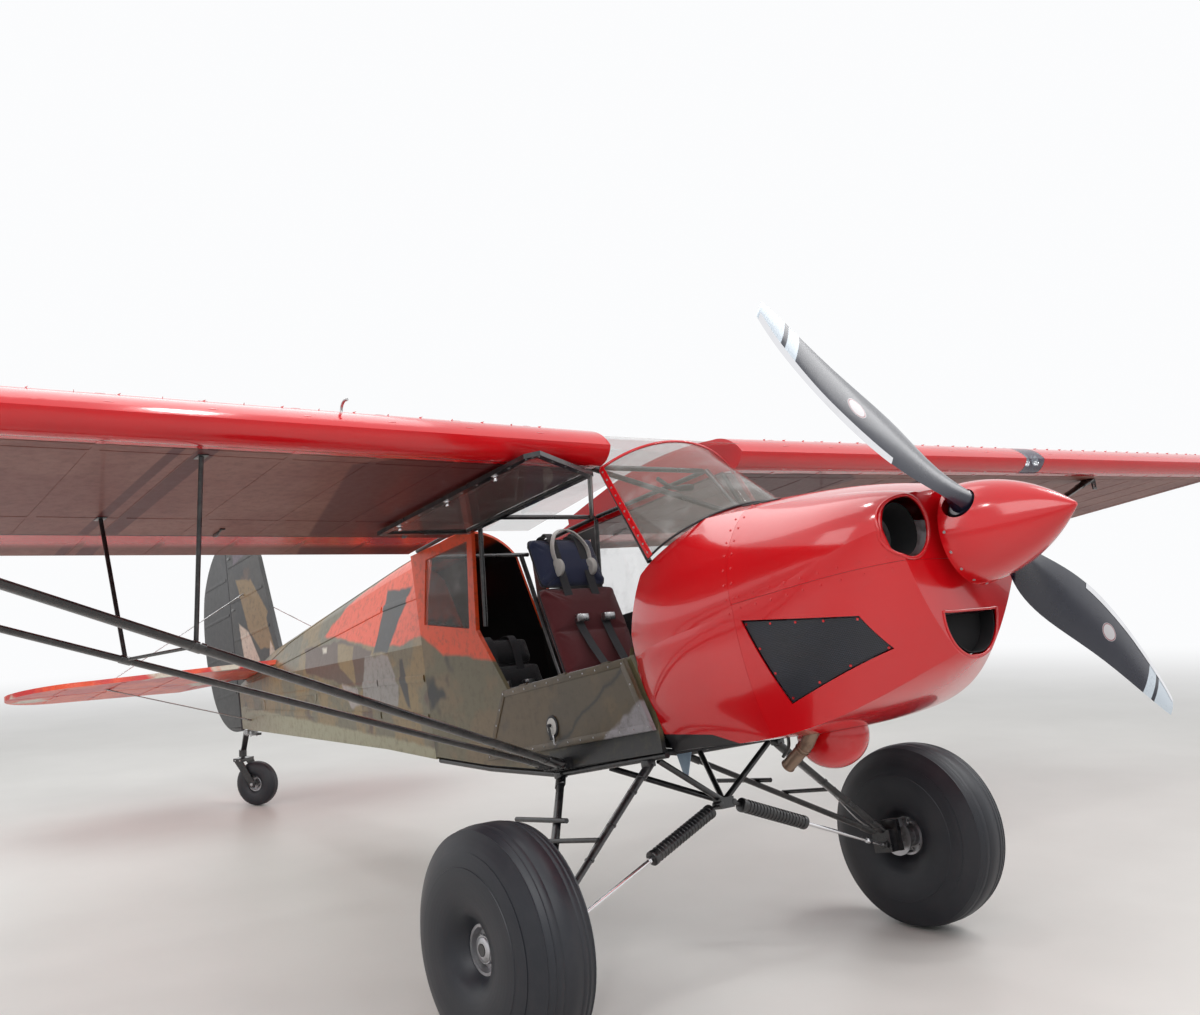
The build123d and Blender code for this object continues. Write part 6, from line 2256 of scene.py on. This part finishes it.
@dataclass
class Wings:
    """Rib tapes, edge seams, vortex generators, lights, hinges, strut fittings, fuel caps and vents."""

    root_x: float = WING_ROOT_X
    tip_x: float = 5.04
    pitch: float = 0.3118                        # of the ribs
    tape: tuple[float, float] = (0.030, 0.0011)  # its width and how far it stands proud
    surface_tape: tuple[float, float] = (0.028, 0.0010)
    lamp_x: tuple[float, float] = (2.605, 2.695)
    hinge_y: float = 1.205
    strut_foot: tuple[Point, Point] = ((0.398, 0.505, 0.540), (0.398, 0.592, 0.540))
    strut_head: tuple[Point, Point] = ((3.560, 0.130, 1.711), (3.560, 0.930, 1.711))

    def both(self, piece: bpy.types.Object, finish: Finish, left: Body = Body.AIRFRAME,
             right: Body = Body.AIRFRAME, angle: float = 35.0) -> None:
        """Hands a left piece and its mirror image over.

        Args:
            piece: The left piece.
            finish: Their finish.
            left: The body it rides on.
            right: The body of its mirror image.
            angle: Edges sharper than this stay sharp.
        """
        name = piece.name
        other = Bench.mirrored(piece)
        piece.name, other.name = f"{name}_left", f"{name}_right"
        Bench.hand_over(piece, left, finish, angle=angle)
        Bench.hand_over(other, right, finish, angle=angle)

    def tapes(self) -> None:
        """Lays the rib tapes and the seams of the leading edge sheet."""
        wing, made = Skin("wing_left"), []
        count = round((self.tip_x - self.root_x) / self.pitch)
        for i in range(1, count + 1):
            x = self.root_x + i * self.pitch
            made.append(wing.strip("under", [(x, -0.03, BELOW_WING), (x, 1.172, BELOW_WING)], LEFT,
                                   *self.tape, UP, 10))
            made.append(wing.strip("over", [(x, -0.062, ABOVE_WING), (x, 1.182, ABOVE_WING)], LEFT,
                                   *self.tape, DOWN, 16))
        for y, z, way in ((0.070, BELOW_WING, 1), (0.105, ABOVE_WING, -1), (0.93, BELOW_WING, 1),
                          (0.13, BELOW_WING, 1)):
            made.append(wing.strip("seam", [(self.root_x + 0.01, y, z), (self.tip_x - 0.01, y, z)], AFT,
                                   0.026, 0.0010, (0, 0, way), 30))
        self.both(Bench.joined("wing_tapes", made), Paints.wing, angle=60)
        for word, x0, x1, left, right in (("flap", 0.40, 2.585, Body.FLAP_LEFT, Body.FLAP_RIGHT),
                                          ("aileron", 2.63, 4.945, Body.AILERON_LEFT, Body.AILERON_RIGHT)):
            skin, made = Skin(f"{word}_left"), []
            ribs = round((x1 - x0) / self.pitch)
            for i in range(ribs + 1):
                x = x0 + 0.015 + (x1 - x0 - 0.03) * i / ribs
                made.append(skin.strip("under", [(x, 1.215, BELOW_WING), (x, 1.525, BELOW_WING)], LEFT,
                                       *self.surface_tape, UP, 4))
                made.append(skin.strip("over", [(x, 1.215, ABOVE_WING), (x, 1.525, ABOVE_WING)], LEFT,
                                       *self.surface_tape, DOWN, 4))
            self.both(Bench.joined(f"{word}_tapes", made), Paints.wing, left, right, 60)

    def generators(self) -> None:
        """Sets the vortex generators on the nose of the wing."""
        skin = Skin("wing_left")
        blade = Bench.plate("generator",
                            [(0, -0.010, -0.001), (0, 0.012, -0.001), (0, 0.012, 0.0075), (0, 0.004, 0.0075)],
                            0.0012, 0.0003)
        places = []
        for i in range(34):
            x = 0.62 + i * 0.13
            hit = skin.hit((x, 0.008, ABOVE_WING), DOWN)
            if hit and not 2.54 < x < 2.76:
                place, normal = hit
                toe = math.radians(14 if i % 2 else -14)
                places.append(Matrix.Translation(place)
                              @ Matrix.Rotation(-math.atan2(-normal.y, normal.z), 4, "X") @
                              Matrix.Rotation(toe, 4, "Z"))
        self.both(Bench.copies("vortex_generators", blade, places), Paints.cowl)

    def lights(self) -> None:
        """Fits lamps behind the landing light lens and a navigation light at the tip."""
        bowl = ((0.0, 0.010), (0.022, 0.026), (0.030, 0.034), (0.033, 0.034), (0.026, 0.024), (0.004, 0.006))
        lamps = [Bench.lathe("bowl", bowl, (x, -0.020, underside(x) + 0.056), FORWARD, 32)
                 for x in self.lamp_x]
        bulbs = [Bench.rod("bulb", (x, -0.022, underside(x) + 0.056), (x, -0.040, underside(x) + 0.056),
                           0.008, 18, round_edge=0.003) for x in self.lamp_x]
        self.both(Bench.joined("landing_lamps", lamps + bulbs), Paints.chrome)
        hit = Skin("wing_left").hit((5.10, -0.7, 1.81), AFT)
        if hit:
            dome = Bench.lathe("dome", ((-0.002, 0.002), (-0.002, 0.019), (0.004, 0.018), (0.011, 0.013),
                                        (0.015, 0.005), (0.0155, 0.002)), hit[0], hit[1], 28)
            other = Bench.mirrored(dome)
            dome.name, other.name = "tip_light_left", "tip_light_right"
            Bench.hand_over(dome, Body.AIRFRAME, Paints.red_lens)
            Bench.hand_over(other, Body.AIRFRAME, Paints.green_lens)

    def hinges(self) -> None:
        """Hangs the flap and aileron hinge plates under the rear spar."""
        y, made = self.hinge_y, []
        for x in (0.62, 1.49, 2.36, 2.83, 3.75, 4.75):
            z = underside(x)
            made.append(Bench.plate("hinge", [(x, y - 0.150, z - 0.001), (x, y - 0.042, z - 0.001),
                                              (x, y - 0.044, z - 0.012), (x, y - 0.075, z - 0.018)],
                                    0.005, 0.001))
            made.append(Bench.rod("pad", (x - 0.011, y - 0.145, z - 0.0025),
                                  (x + 0.011, y - 0.145, z - 0.0025), 0.004, 10))
        self.both(Bench.joined("surface_hinges", made), Paints.black_tube)

    def caps(self) -> None:
        """Puts a fuel cap and a bent vent on each wing's top."""
        skin = Skin("wing_left")
        place, normal = skin.hit((1.15, 0.42, ABOVE_WING), DOWN)
        cap = Bench.lathe("cap", ((-0.001, 0.002), (-0.001, 0.044), (0.004, 0.044), (0.006, 0.040),
                                  (0.006, 0.030), (0.014, 0.028),
                                  (0.016, 0.024), (0.016, 0.002)), ORIGIN, UP, 40)
        cap.data.transform(stand(place, normal))
        cap.name = "fuel_cap"
        self.both(cap, Paints.steel)
        place, _ = skin.hit((1.452, -0.03, ABOVE_WING), DOWN)
        x, y, z = place
        vent = Bench.pipe("fuel_vent",
                          [(x, y + 0.03, z - 0.002), (x, y + 0.028, z + 0.030), (x, y + 0.005, z + 0.048),
                           (x, y - 0.022, z + 0.046)], 0.005)
        self.both(vent, Paints.steel)

    def struts(self) -> None:
        """Collars, end forks and bolts of the lift struts, and the jury clamps."""
        made, bolts = [], []
        for (foot, head), scale, share in zip(zip(self.strut_foot, self.strut_head), (1.0, 0.8),
                                              (0.475, 0.505)):
            foot, head = Vector(foot), Vector(head)
            run = (head - foot).normalized()
            chord, thick = 0.074 * scale + 0.004, 0.030 * scale + 0.004
            for at, long in ((foot + run * 0.055, 0.075), (head - run * 0.070, 0.080),
                             (foot.lerp(head, share), 0.042)):
                made.append(Bench.sleeve("collar", at, run, AFT, chord, thick, long))
            for end, way in ((foot, run), (head, -run)):
                for dy in (-0.017, 0.017):
                    made.append(Bench.sleeve("fork", end + way * 0.012 + Vector((0, dy * scale, 0)), run, UP,
                                             0.034, 0.005, 0.085))
                bolts.append(Bench.rod("bolt", end + way * 0.004 + Vector((0, -0.030, 0)),
                                       end + way * 0.004 + Vector((0, 0.030, 0)),
                                       0.0055, 6, round_edge=0.0008))
            spot = foot.lerp(head, share)
            bolts.append(Bench.rod("clamp_bolt", spot + Vector((0, -0.048 * scale, 0.004)),
                                   spot + Vector((0, 0.048 * scale, 0.004)), 0.004, 6, round_edge=0.0006))
            pad = (spot.x, 0.130 if scale == 1.0 else 0.930, underside(spot.x) - 0.002)
            made.append(Bench.block("pad", Vector(pad) - Vector((0.018, 0.026, 0.0012)),
                                    Vector(pad) + Vector((0.018, 0.026, 0.0012)), 0.0008))
        self.both(Bench.joined("strut_collars", made), Paints.black_tube)
        self.both(Bench.joined("strut_bolts", bolts), Paints.steel)

    def build(self) -> None:
        """Makes the wings' details."""
        self.tapes()
        self.generators()
        self.lights()
        self.hinges()
        self.caps()
        self.struts()


@dataclass
class Tail:
    """Ribs, hinges, wire ends, rudder horn and light of the tail."""

    elevator_y: float = 4.700
    stab_z: float = 1.500
    rib: tuple[float, float] = (0.022, 0.0018)   # its width and how far it stands proud

    def ribs(self) -> None:
        """Raises the ribs under the fabric of each surface."""
        for word, body, ribs in (
                ("stabiliser", Body.AIRFRAME,
                 [(x, y, 4.672) for x, y in ((0.28, 4.06), (0.62, 4.17), (0.96, 4.27),
                                             (1.28, 4.40))]),
                ("elevator", Body.ELEVATOR,
                 [(x, 4.705, y) for x, y in ((0.30, 5.08), (0.62, 5.10), (0.96, 5.09),
                                             (1.26, 5.03))])):
            skin = Skin(word)
            made = [skin.strip("rib", [(s * x, y0, z), (s * x, y1, z)], LEFT, *self.rib, way, 6)
                    for s in SIDES for x, y0, y1 in ribs for z, way in ((2.2, DOWN), (0.9, UP))]
            Bench.deliver(f"{word}_ribs", made, body, Paints.plane, angle=60)
        for word, body, finish, lines in (
                ("fin", Body.AIRFRAME, Paints.tail,
                 [((4.16, 1.78), (4.80, 1.78)), ((4.22, 2.06), (4.80, 2.06)),
                  ((4.30, 2.32), (4.80, 2.32))]),
                ("rudder", Body.RUDDER, Paints.rudder, [((4.86, z), (y, z)) for z, y in
                                                        ((1.42, 5.25), (1.70, 5.35), (1.98, 5.36),
                                                         (2.24, 5.28))])):
            skin = Skin(word)
            made = [skin.strip("rib", [(s * 0.3, y0, z0), (s * 0.3, y1, z1)], UP, *self.rib, (-s, 0, 0), 6)
                    for (y0, z0), (y1, z1) in lines for s in SIDES]
            Bench.deliver(f"{word}_ribs", made, body, finish, angle=60)

    def fittings(self) -> None:
        """Hinge barrels, wire clevises and the rudder's bands, horn and light."""
        made = []
        for s in SIDES:
            for x in (0.18, 0.78, 1.38):
                made.append(Bench.rod("barrel", (s * x - 0.016, self.elevator_y - 0.014, self.stab_z + 0.012),
                                      (s * x + 0.016, self.elevator_y - 0.014, self.stab_z + 0.012), 0.006,
                                      14, round_edge=0.001))
            for a, b in (((0.012, 4.56, 2.08), (1.0, 4.56, 1.513)),
                         ((0.032, 4.56, 1.18), (1.0, 4.56, 1.487))):
                start, end = Vector((s * a[0], *a[1:])), Vector((s * b[0], *b[1:]))
                run = (end - start).normalized()
                for at, way in ((start, run), (end, -run)):
                    made.append(Bench.rod("clevis", at + way * 0.010, at + way * 0.085, 0.006, 14, 0.0045,
                                          round_edge=0.001))
        Bench.deliver("tail_fittings", made, Body.AIRFRAME, Paints.steel)
        bands = [Bench.block("band", (s * 0.0155 - 0.0012, 4.74, z - 0.011),
                             (s * 0.0155 + 0.0012, 4.806, z + 0.011), 0.0006)
                 for s in SIDES for z in (1.62, 2.0, 2.38)]
        Bench.deliver("rudder_hinge_bands", bands, Body.AIRFRAME, Paints.black_tube)
        horn = Bench.plate("rudder_horn", [(-0.085, 4.85, 1.165), (0.085, 4.85, 1.165), (0.070, 4.885, 1.165),
                                           (-0.070, 4.885, 1.165)],
                           0.004, 0.0012)
        Bench.hand_over(horn, Body.RUDDER, Paints.black_tube)
        lamp = Bench.lathe("tail_light",
                           ((-0.004, 0.002), (-0.004, 0.017), (0.004, 0.016), (0.012, 0.010), (0.015, 0.002)),
                           (0, 5.333, 1.50), AFT, 28)
        Bench.hand_over(lamp, Body.RUDDER, Paints.pale)

    def build(self) -> None:
        """Makes the tail's details."""
        self.ribs()
        self.fittings()


@dataclass
class MainGear:
    """Detailed tyres, wheel bolts, brake pipes, shock boots and leg collars."""

    track: float = 1.101
    tyre_r: float = 0.395
    tyre_w: float = 0.286
    rim_r: float = 0.082
    hub_w: float = 0.150

    def tyre_profile(self, radius: float, width: float, rim: float, hub_w: float,
                     grooves: int = 3) -> list[Point]:
        """The tyre's outline as (distance across, radius), with bead, moulding steps and shallow tread rings.

        Args:
            radius: The tyre's radius.
            width: Its width.
            rim: The radius of its bead.
            hub_w: The width between its beads.
            grooves: Rings on each half of the tread.

        Returns:
            The closed outline.
        """
        half, wall = width / 2, radius - rim
        side = [(hub_w / 2, rim + 0.001), (hub_w / 2 + 0.006, rim + 0.004), (half * 0.86, rim + 0.12 * wall),
                (half * 0.93, rim + 0.22 * wall), (half * 0.955, rim + 0.25 * wall),
                (half * 0.985, rim + 0.34 * wall),
                (half * 0.998, rim + 0.46 * wall), (half * 0.996, rim + 0.52 * wall),
                (half * 0.975, rim + 0.60 * wall),
                (half * 0.955, rim + 0.605 * wall), (half * 0.925, rim + 0.69 * wall),
                (half * 0.87, rim + 0.755 * wall),
                (half * 0.855, rim + 0.752 * wall), (half * 0.79, rim + 0.83 * wall),
                (half * 0.70, rim + 0.895 * wall)]
        crown = []
        for i in range(grooves):
            u = 0.60 - 0.52 * i / grooves
            r = radius - 0.035 * radius * (u / 0.6) ** 2 - 0.0006
            crown += [(half * (u + 0.035), r), (half * (u + 0.012), r - 0.0022),
                      (half * (u - 0.012), r - 0.0022), (half * (u - 0.035), r + 0.0008)]
        right = side + crown
        return right + [(-x, r) for x, r in reversed(right)]

    def tyres(self) -> None:
        """Turns both main tyres in place of their nodes."""
        profile = self.tyre_profile(self.tyre_r, self.tyre_w, self.rim_r, self.hub_w)
        for s, word, body in ((1, "left", Body.WHEEL_LEFT), (-1, "right", Body.WHEEL_RIGHT)):
            piece = Bench.lathe(f"tundra_tyre_{word}", profile, (s * self.track, 0, 0), LEFT, 112)
            centre = tuple(sum(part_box(f"tyre_{word}"), Vector()) / 2)
            finish = Rubber(f"tyre_rubber_{word}", *Paints.TYRE_WITH_REFLECTION_TINT, centre, slot="tyre")
            Bench.hand_over(piece, body, finish, f"tyre_{word}", angle=50)

    def wheels(self) -> None:
        """Sets wheel bolts, disc bolts, a dust cap and a valve stem on each wheel."""
        for s, body in ((1, Body.WHEEL_LEFT), (-1, Body.WHEEL_RIGHT)):
            word = "left" if s > 0 else "right"
            bolts = []
            for face in (1, -1):
                x = s * self.track + face * (self.hub_w / 2 - 0.026)
                for y, z in ((0.060 * c, 0.060 * d) for c, d in circle(8)):
                    bolts.append(Bench.rod("bolt", (x - face * 0.002, y, z), (x + face * 0.007, y, z), 0.0055,
                                           6, round_edge=0.0008))
            out = s * (self.track + self.hub_w / 2)
            cap = Bench.lathe("cap", ((-0.003, 0.0215), (-0.003, 0.040), (0.002, 0.040), (0.005, 0.036),
                                      (0.007, 0.026), (0.007, 0.0215)), (out, 0, 0), (s, 0, 0), 36)
            valve = Bench.rod("valve", (out - s * 0.030, 0.0, 0.0695), (out + s * 0.002, 0.0, 0.072), 0.004,
                              12, 0.003, round_edge=0.0006)
            disc_x = s * (self.track - self.tyre_w / 2 + 0.002)
            for y, z in ((0.036 * c, 0.036 * d) for c, d in circle(6, 0.5)):
                bolts.append(Bench.rod("disc_bolt", (disc_x - s * 0.003, y, z), (disc_x - s * 0.009, y, z),
                                       0.0045, 6, round_edge=0.0006))
            Bench.deliver(f"wheel_bolts_{word}", bolts, body, Paints.steel)
            Bench.deliver(f"wheel_caps_{word}", [cap, valve], body, Paints.cast)

    def shocks(self) -> None:
        """Ribs the shock cylinders, caps them and joins their ends."""
        made, bright = [], []
        for s in SIDES:
            inner, outer = Vector((s * 0.036, 0.016, 0.292)), Vector((s * 0.868, 0.0, -0.014))
            run = (outer - inner).normalized()
            start, end = inner.lerp(outer, 0.065), inner.lerp(outer, 0.445)
            for i in range(19):
                at = start.lerp(end, (i + 0.5) / 19)
                made.append(Bench.ring("rib", at, run, 0.0252, 0.0030, 28, 8))
            for at in (start, end):
                made.append(Bench.rod("cap", at - run * 0.010, at + run * 0.010, 0.0285, 28,
                                      round_edge=0.003))
            made.append(Bench.rod("eye", inner + Vector((0, -0.022, 0)), inner + Vector((0, 0.022, 0)), 0.013,
                                  20, round_edge=0.002))
            made.append(Bench.rod("eye", outer + Vector((0, -0.020, 0)), outer + Vector((0, 0.020, 0)), 0.013,
                                  20, round_edge=0.002))
            bright.append(Bench.rod("nut", outer - run * 0.115, outer - run * 0.085, 0.0125, 6,
                                    round_edge=0.001))
            bright.append(Bench.rod("nut", end + run * 0.012, end + run * 0.026, 0.0125, 6, round_edge=0.001))
        Bench.deliver("shock_boots", made, Body.AIRFRAME, Paints.black_tube, angle=50)
        Bench.deliver("shock_nuts", bright, Body.AIRFRAME, Paints.chrome)

    def legs(self) -> None:
        """Adds collars, gussets, lugs, brake pipes and their clips to the legs."""
        made, pipes = [], []
        for s in SIDES:
            knuckle, rear_end = Vector((s * 0.906, 0.006, 0.022)), Vector((s * 0.886, 0.040, 0.034))
            front, rear = Vector((s * 0.352, 0.015, 0.482)), Vector((s * 0.352, 0.585, 0.490))
            for root, end in ((front, knuckle), (rear, rear_end)):
                run = (end - root).normalized()
                made.append(Bench.sleeve("collar", root + run * 0.030, run, AFT, 0.052, 0.028, 0.070))
                made.append(Bench.sleeve("gusset", end - run * 0.050, run, AFT, 0.050, 0.026, 0.050))
                made.append(Bench.block("lug", root + Vector((-0.020, -0.022, -0.004)),
                                        root + Vector((0.020, 0.022, 0.022)), 0.004))
            run = (knuckle - front).normalized()
            back = Vector((0, 0.030, 0))
            line = [front + run * 0.02 + back, front + run * 0.10 + back,
                    front.lerp(knuckle, 0.5) + back * 0.95,
                    knuckle - run * 0.06 + back, Vector((s * 0.925, 0.040, 0.062))]
            pipes.append(Bench.pipe("brake_pipe", line, 0.0032))
            for share in (0.18, 0.40, 0.62, 0.84):
                made.append(Bench.sleeve("clip", front.lerp(knuckle, share), run, AFT, 0.049, 0.025, 0.010))
        Bench.deliver("gear_collars", made, Body.AIRFRAME, Paints.black_tube)
        Bench.deliver("brake_pipes", pipes, Body.AIRFRAME, Paints.steel)

    def brakes(self) -> None:
        """Bolts the calipers and gives them pistons."""
        made = []
        for s in SIDES:
            x = s * 0.930
            for y in (-0.030, 0.026):
                made.append(Bench.rod("bolt", (x - s * 0.004, y, 0.066), (x + s * 0.060, y, 0.066), 0.005, 6,
                                      round_edge=0.0008))
            made.append(Bench.rod("piston", (x - s * 0.008, -0.002, 0.066), (x + s * 0.008, -0.002, 0.066),
                                  0.016, 26, round_edge=0.002))
        Bench.deliver("caliper_bolts", made, Body.AIRFRAME, Paints.steel)

    def build(self) -> None:
        """Makes the main gear's details."""
        self.tyres()
        self.wheels()
        self.shocks()
        self.legs()
        self.brakes()


@dataclass
class TailWheelDress:
    """The leaf clamps, fork bolts and tyre of the tail wheel, in the parked frame."""

    swivel: float = math.radians(147)
    trail: float = 0.118

    def build(self) -> None:
        """Makes the tail wheel's details."""
        low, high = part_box("tail_tyre")
        centre = (low + high) / 2
        turn = Matrix.Translation(centre) @ Matrix.Rotation(-self.swivel, 4, "Z")
        profile = MainGear().tyre_profile(0.155, 0.096, 0.052, 0.060, 2)
        tyre = Bench.lathe("tail_wheel_tyre", profile, ORIGIN, LEFT, 72)
        tyre.data.transform(turn)
        finish = Rubber("tail_tyre_rubber", *Paints.TAIL_TYRE_WITH_REFLECTION_TINT, tuple(centre), -147.0, 120.0, slot="tyre")
        Bench.hand_over(tyre, Body.TAIL_WHEEL, finish, "tail_tyre", parked=True, angle=50)
        bolts = [Bench.rod("bolt", (s * 0.024, y, z), (s * 0.0335, y, z), 0.0045, 6, round_edge=0.0006)
                 for s in SIDES for y, z in ((0.037 * c, 0.037 * d) for c, d in circle(6))]
        joined = Bench.joined("tail_wheel_bolts", bolts)
        joined.data.transform(turn)
        Bench.hand_over(joined, Body.TAIL_WHEEL, Paints.steel, parked=True)
        nuts = [Bench.rod("nut", (s * 0.0665, 0, 0), (s * 0.0745, 0, 0), 0.012, 6, round_edge=0.001)
                for s in SIDES]
        nuts += [Bench.rod("pin", (s * 0.060, -0.118 + y, 0.165), (s * 0.0715, -0.118 + y, 0.165), 0.006, 6,
                           round_edge=0.0006)
                 for s in SIDES for y in (-0.015, 0.022)]
        nuts.append(Bench.rod("kingpin_nut", (0, -0.118, 0.226), (0, -0.118, 0.244), 0.016, 6,
                              round_edge=0.0015))
        joined = Bench.joined("fork_nuts", nuts)
        joined.data.transform(turn)
        Bench.hand_over(joined, Body.TAIL_FORK, Paints.steel, parked=True)
        pivot_y = centre.y - self.trail * math.cos(self.swivel)
        start = PARK @ Vector((0, 4.60, 1.085))
        end = Vector((0, pivot_y - 0.02, 0.372))
        clamps = []
        for share, width in ((0.22, 0.052), (0.52, 0.050), (0.66, 0.050)):
            spot = start.lerp(end, share)
            skin_hit = world_skin("tail_spring").ray_cast(spot + Vector((0, 0, 0.3)), Vector(DOWN))[0]
            if skin_hit is None:
                continue
            clamps.append(Bench.block("clamp", skin_hit + Vector((-width / 2, -0.014, -0.026)),
                                      skin_hit + Vector((width / 2, 0.014, 0.004)), 0.002))
            for s in SIDES:
                clamps.append(Bench.rod("bolt", skin_hit + Vector((s * width * 0.42, 0, -0.034)),
                                        skin_hit + Vector((s * width * 0.42, 0, 0.010)), 0.004, 6,
                                        round_edge=0.0006))
        Bench.deliver("spring_clamps", clamps, Body.AIRFRAME, Paints.steel, parked=True)


def world_skin(name: str) -> BVHTree:
    """A CAD node's surface in the parked frame."""
    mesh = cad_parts[name].data
    return BVHTree.FromPolygons([v.co for v in mesh.vertices], [tuple(f.vertices) for f in mesh.polygons])


def main() -> None:
    """Builds the studio and every sub-assembly."""
    logging.basicConfig(level=logging.INFO, format="%(message)s")
    for assembly in (Studio(), BaseFinishes(), Nose(), PropellerDress(), Windscreen(), Doors(), Cabin(),
                     Fuselage(), Wings(), Tail(), MainGear(), TailWheelDress()):
        log.info("building %s", type(assembly).__name__)
        assembly.build()


if __name__ == "__main__":
    main()
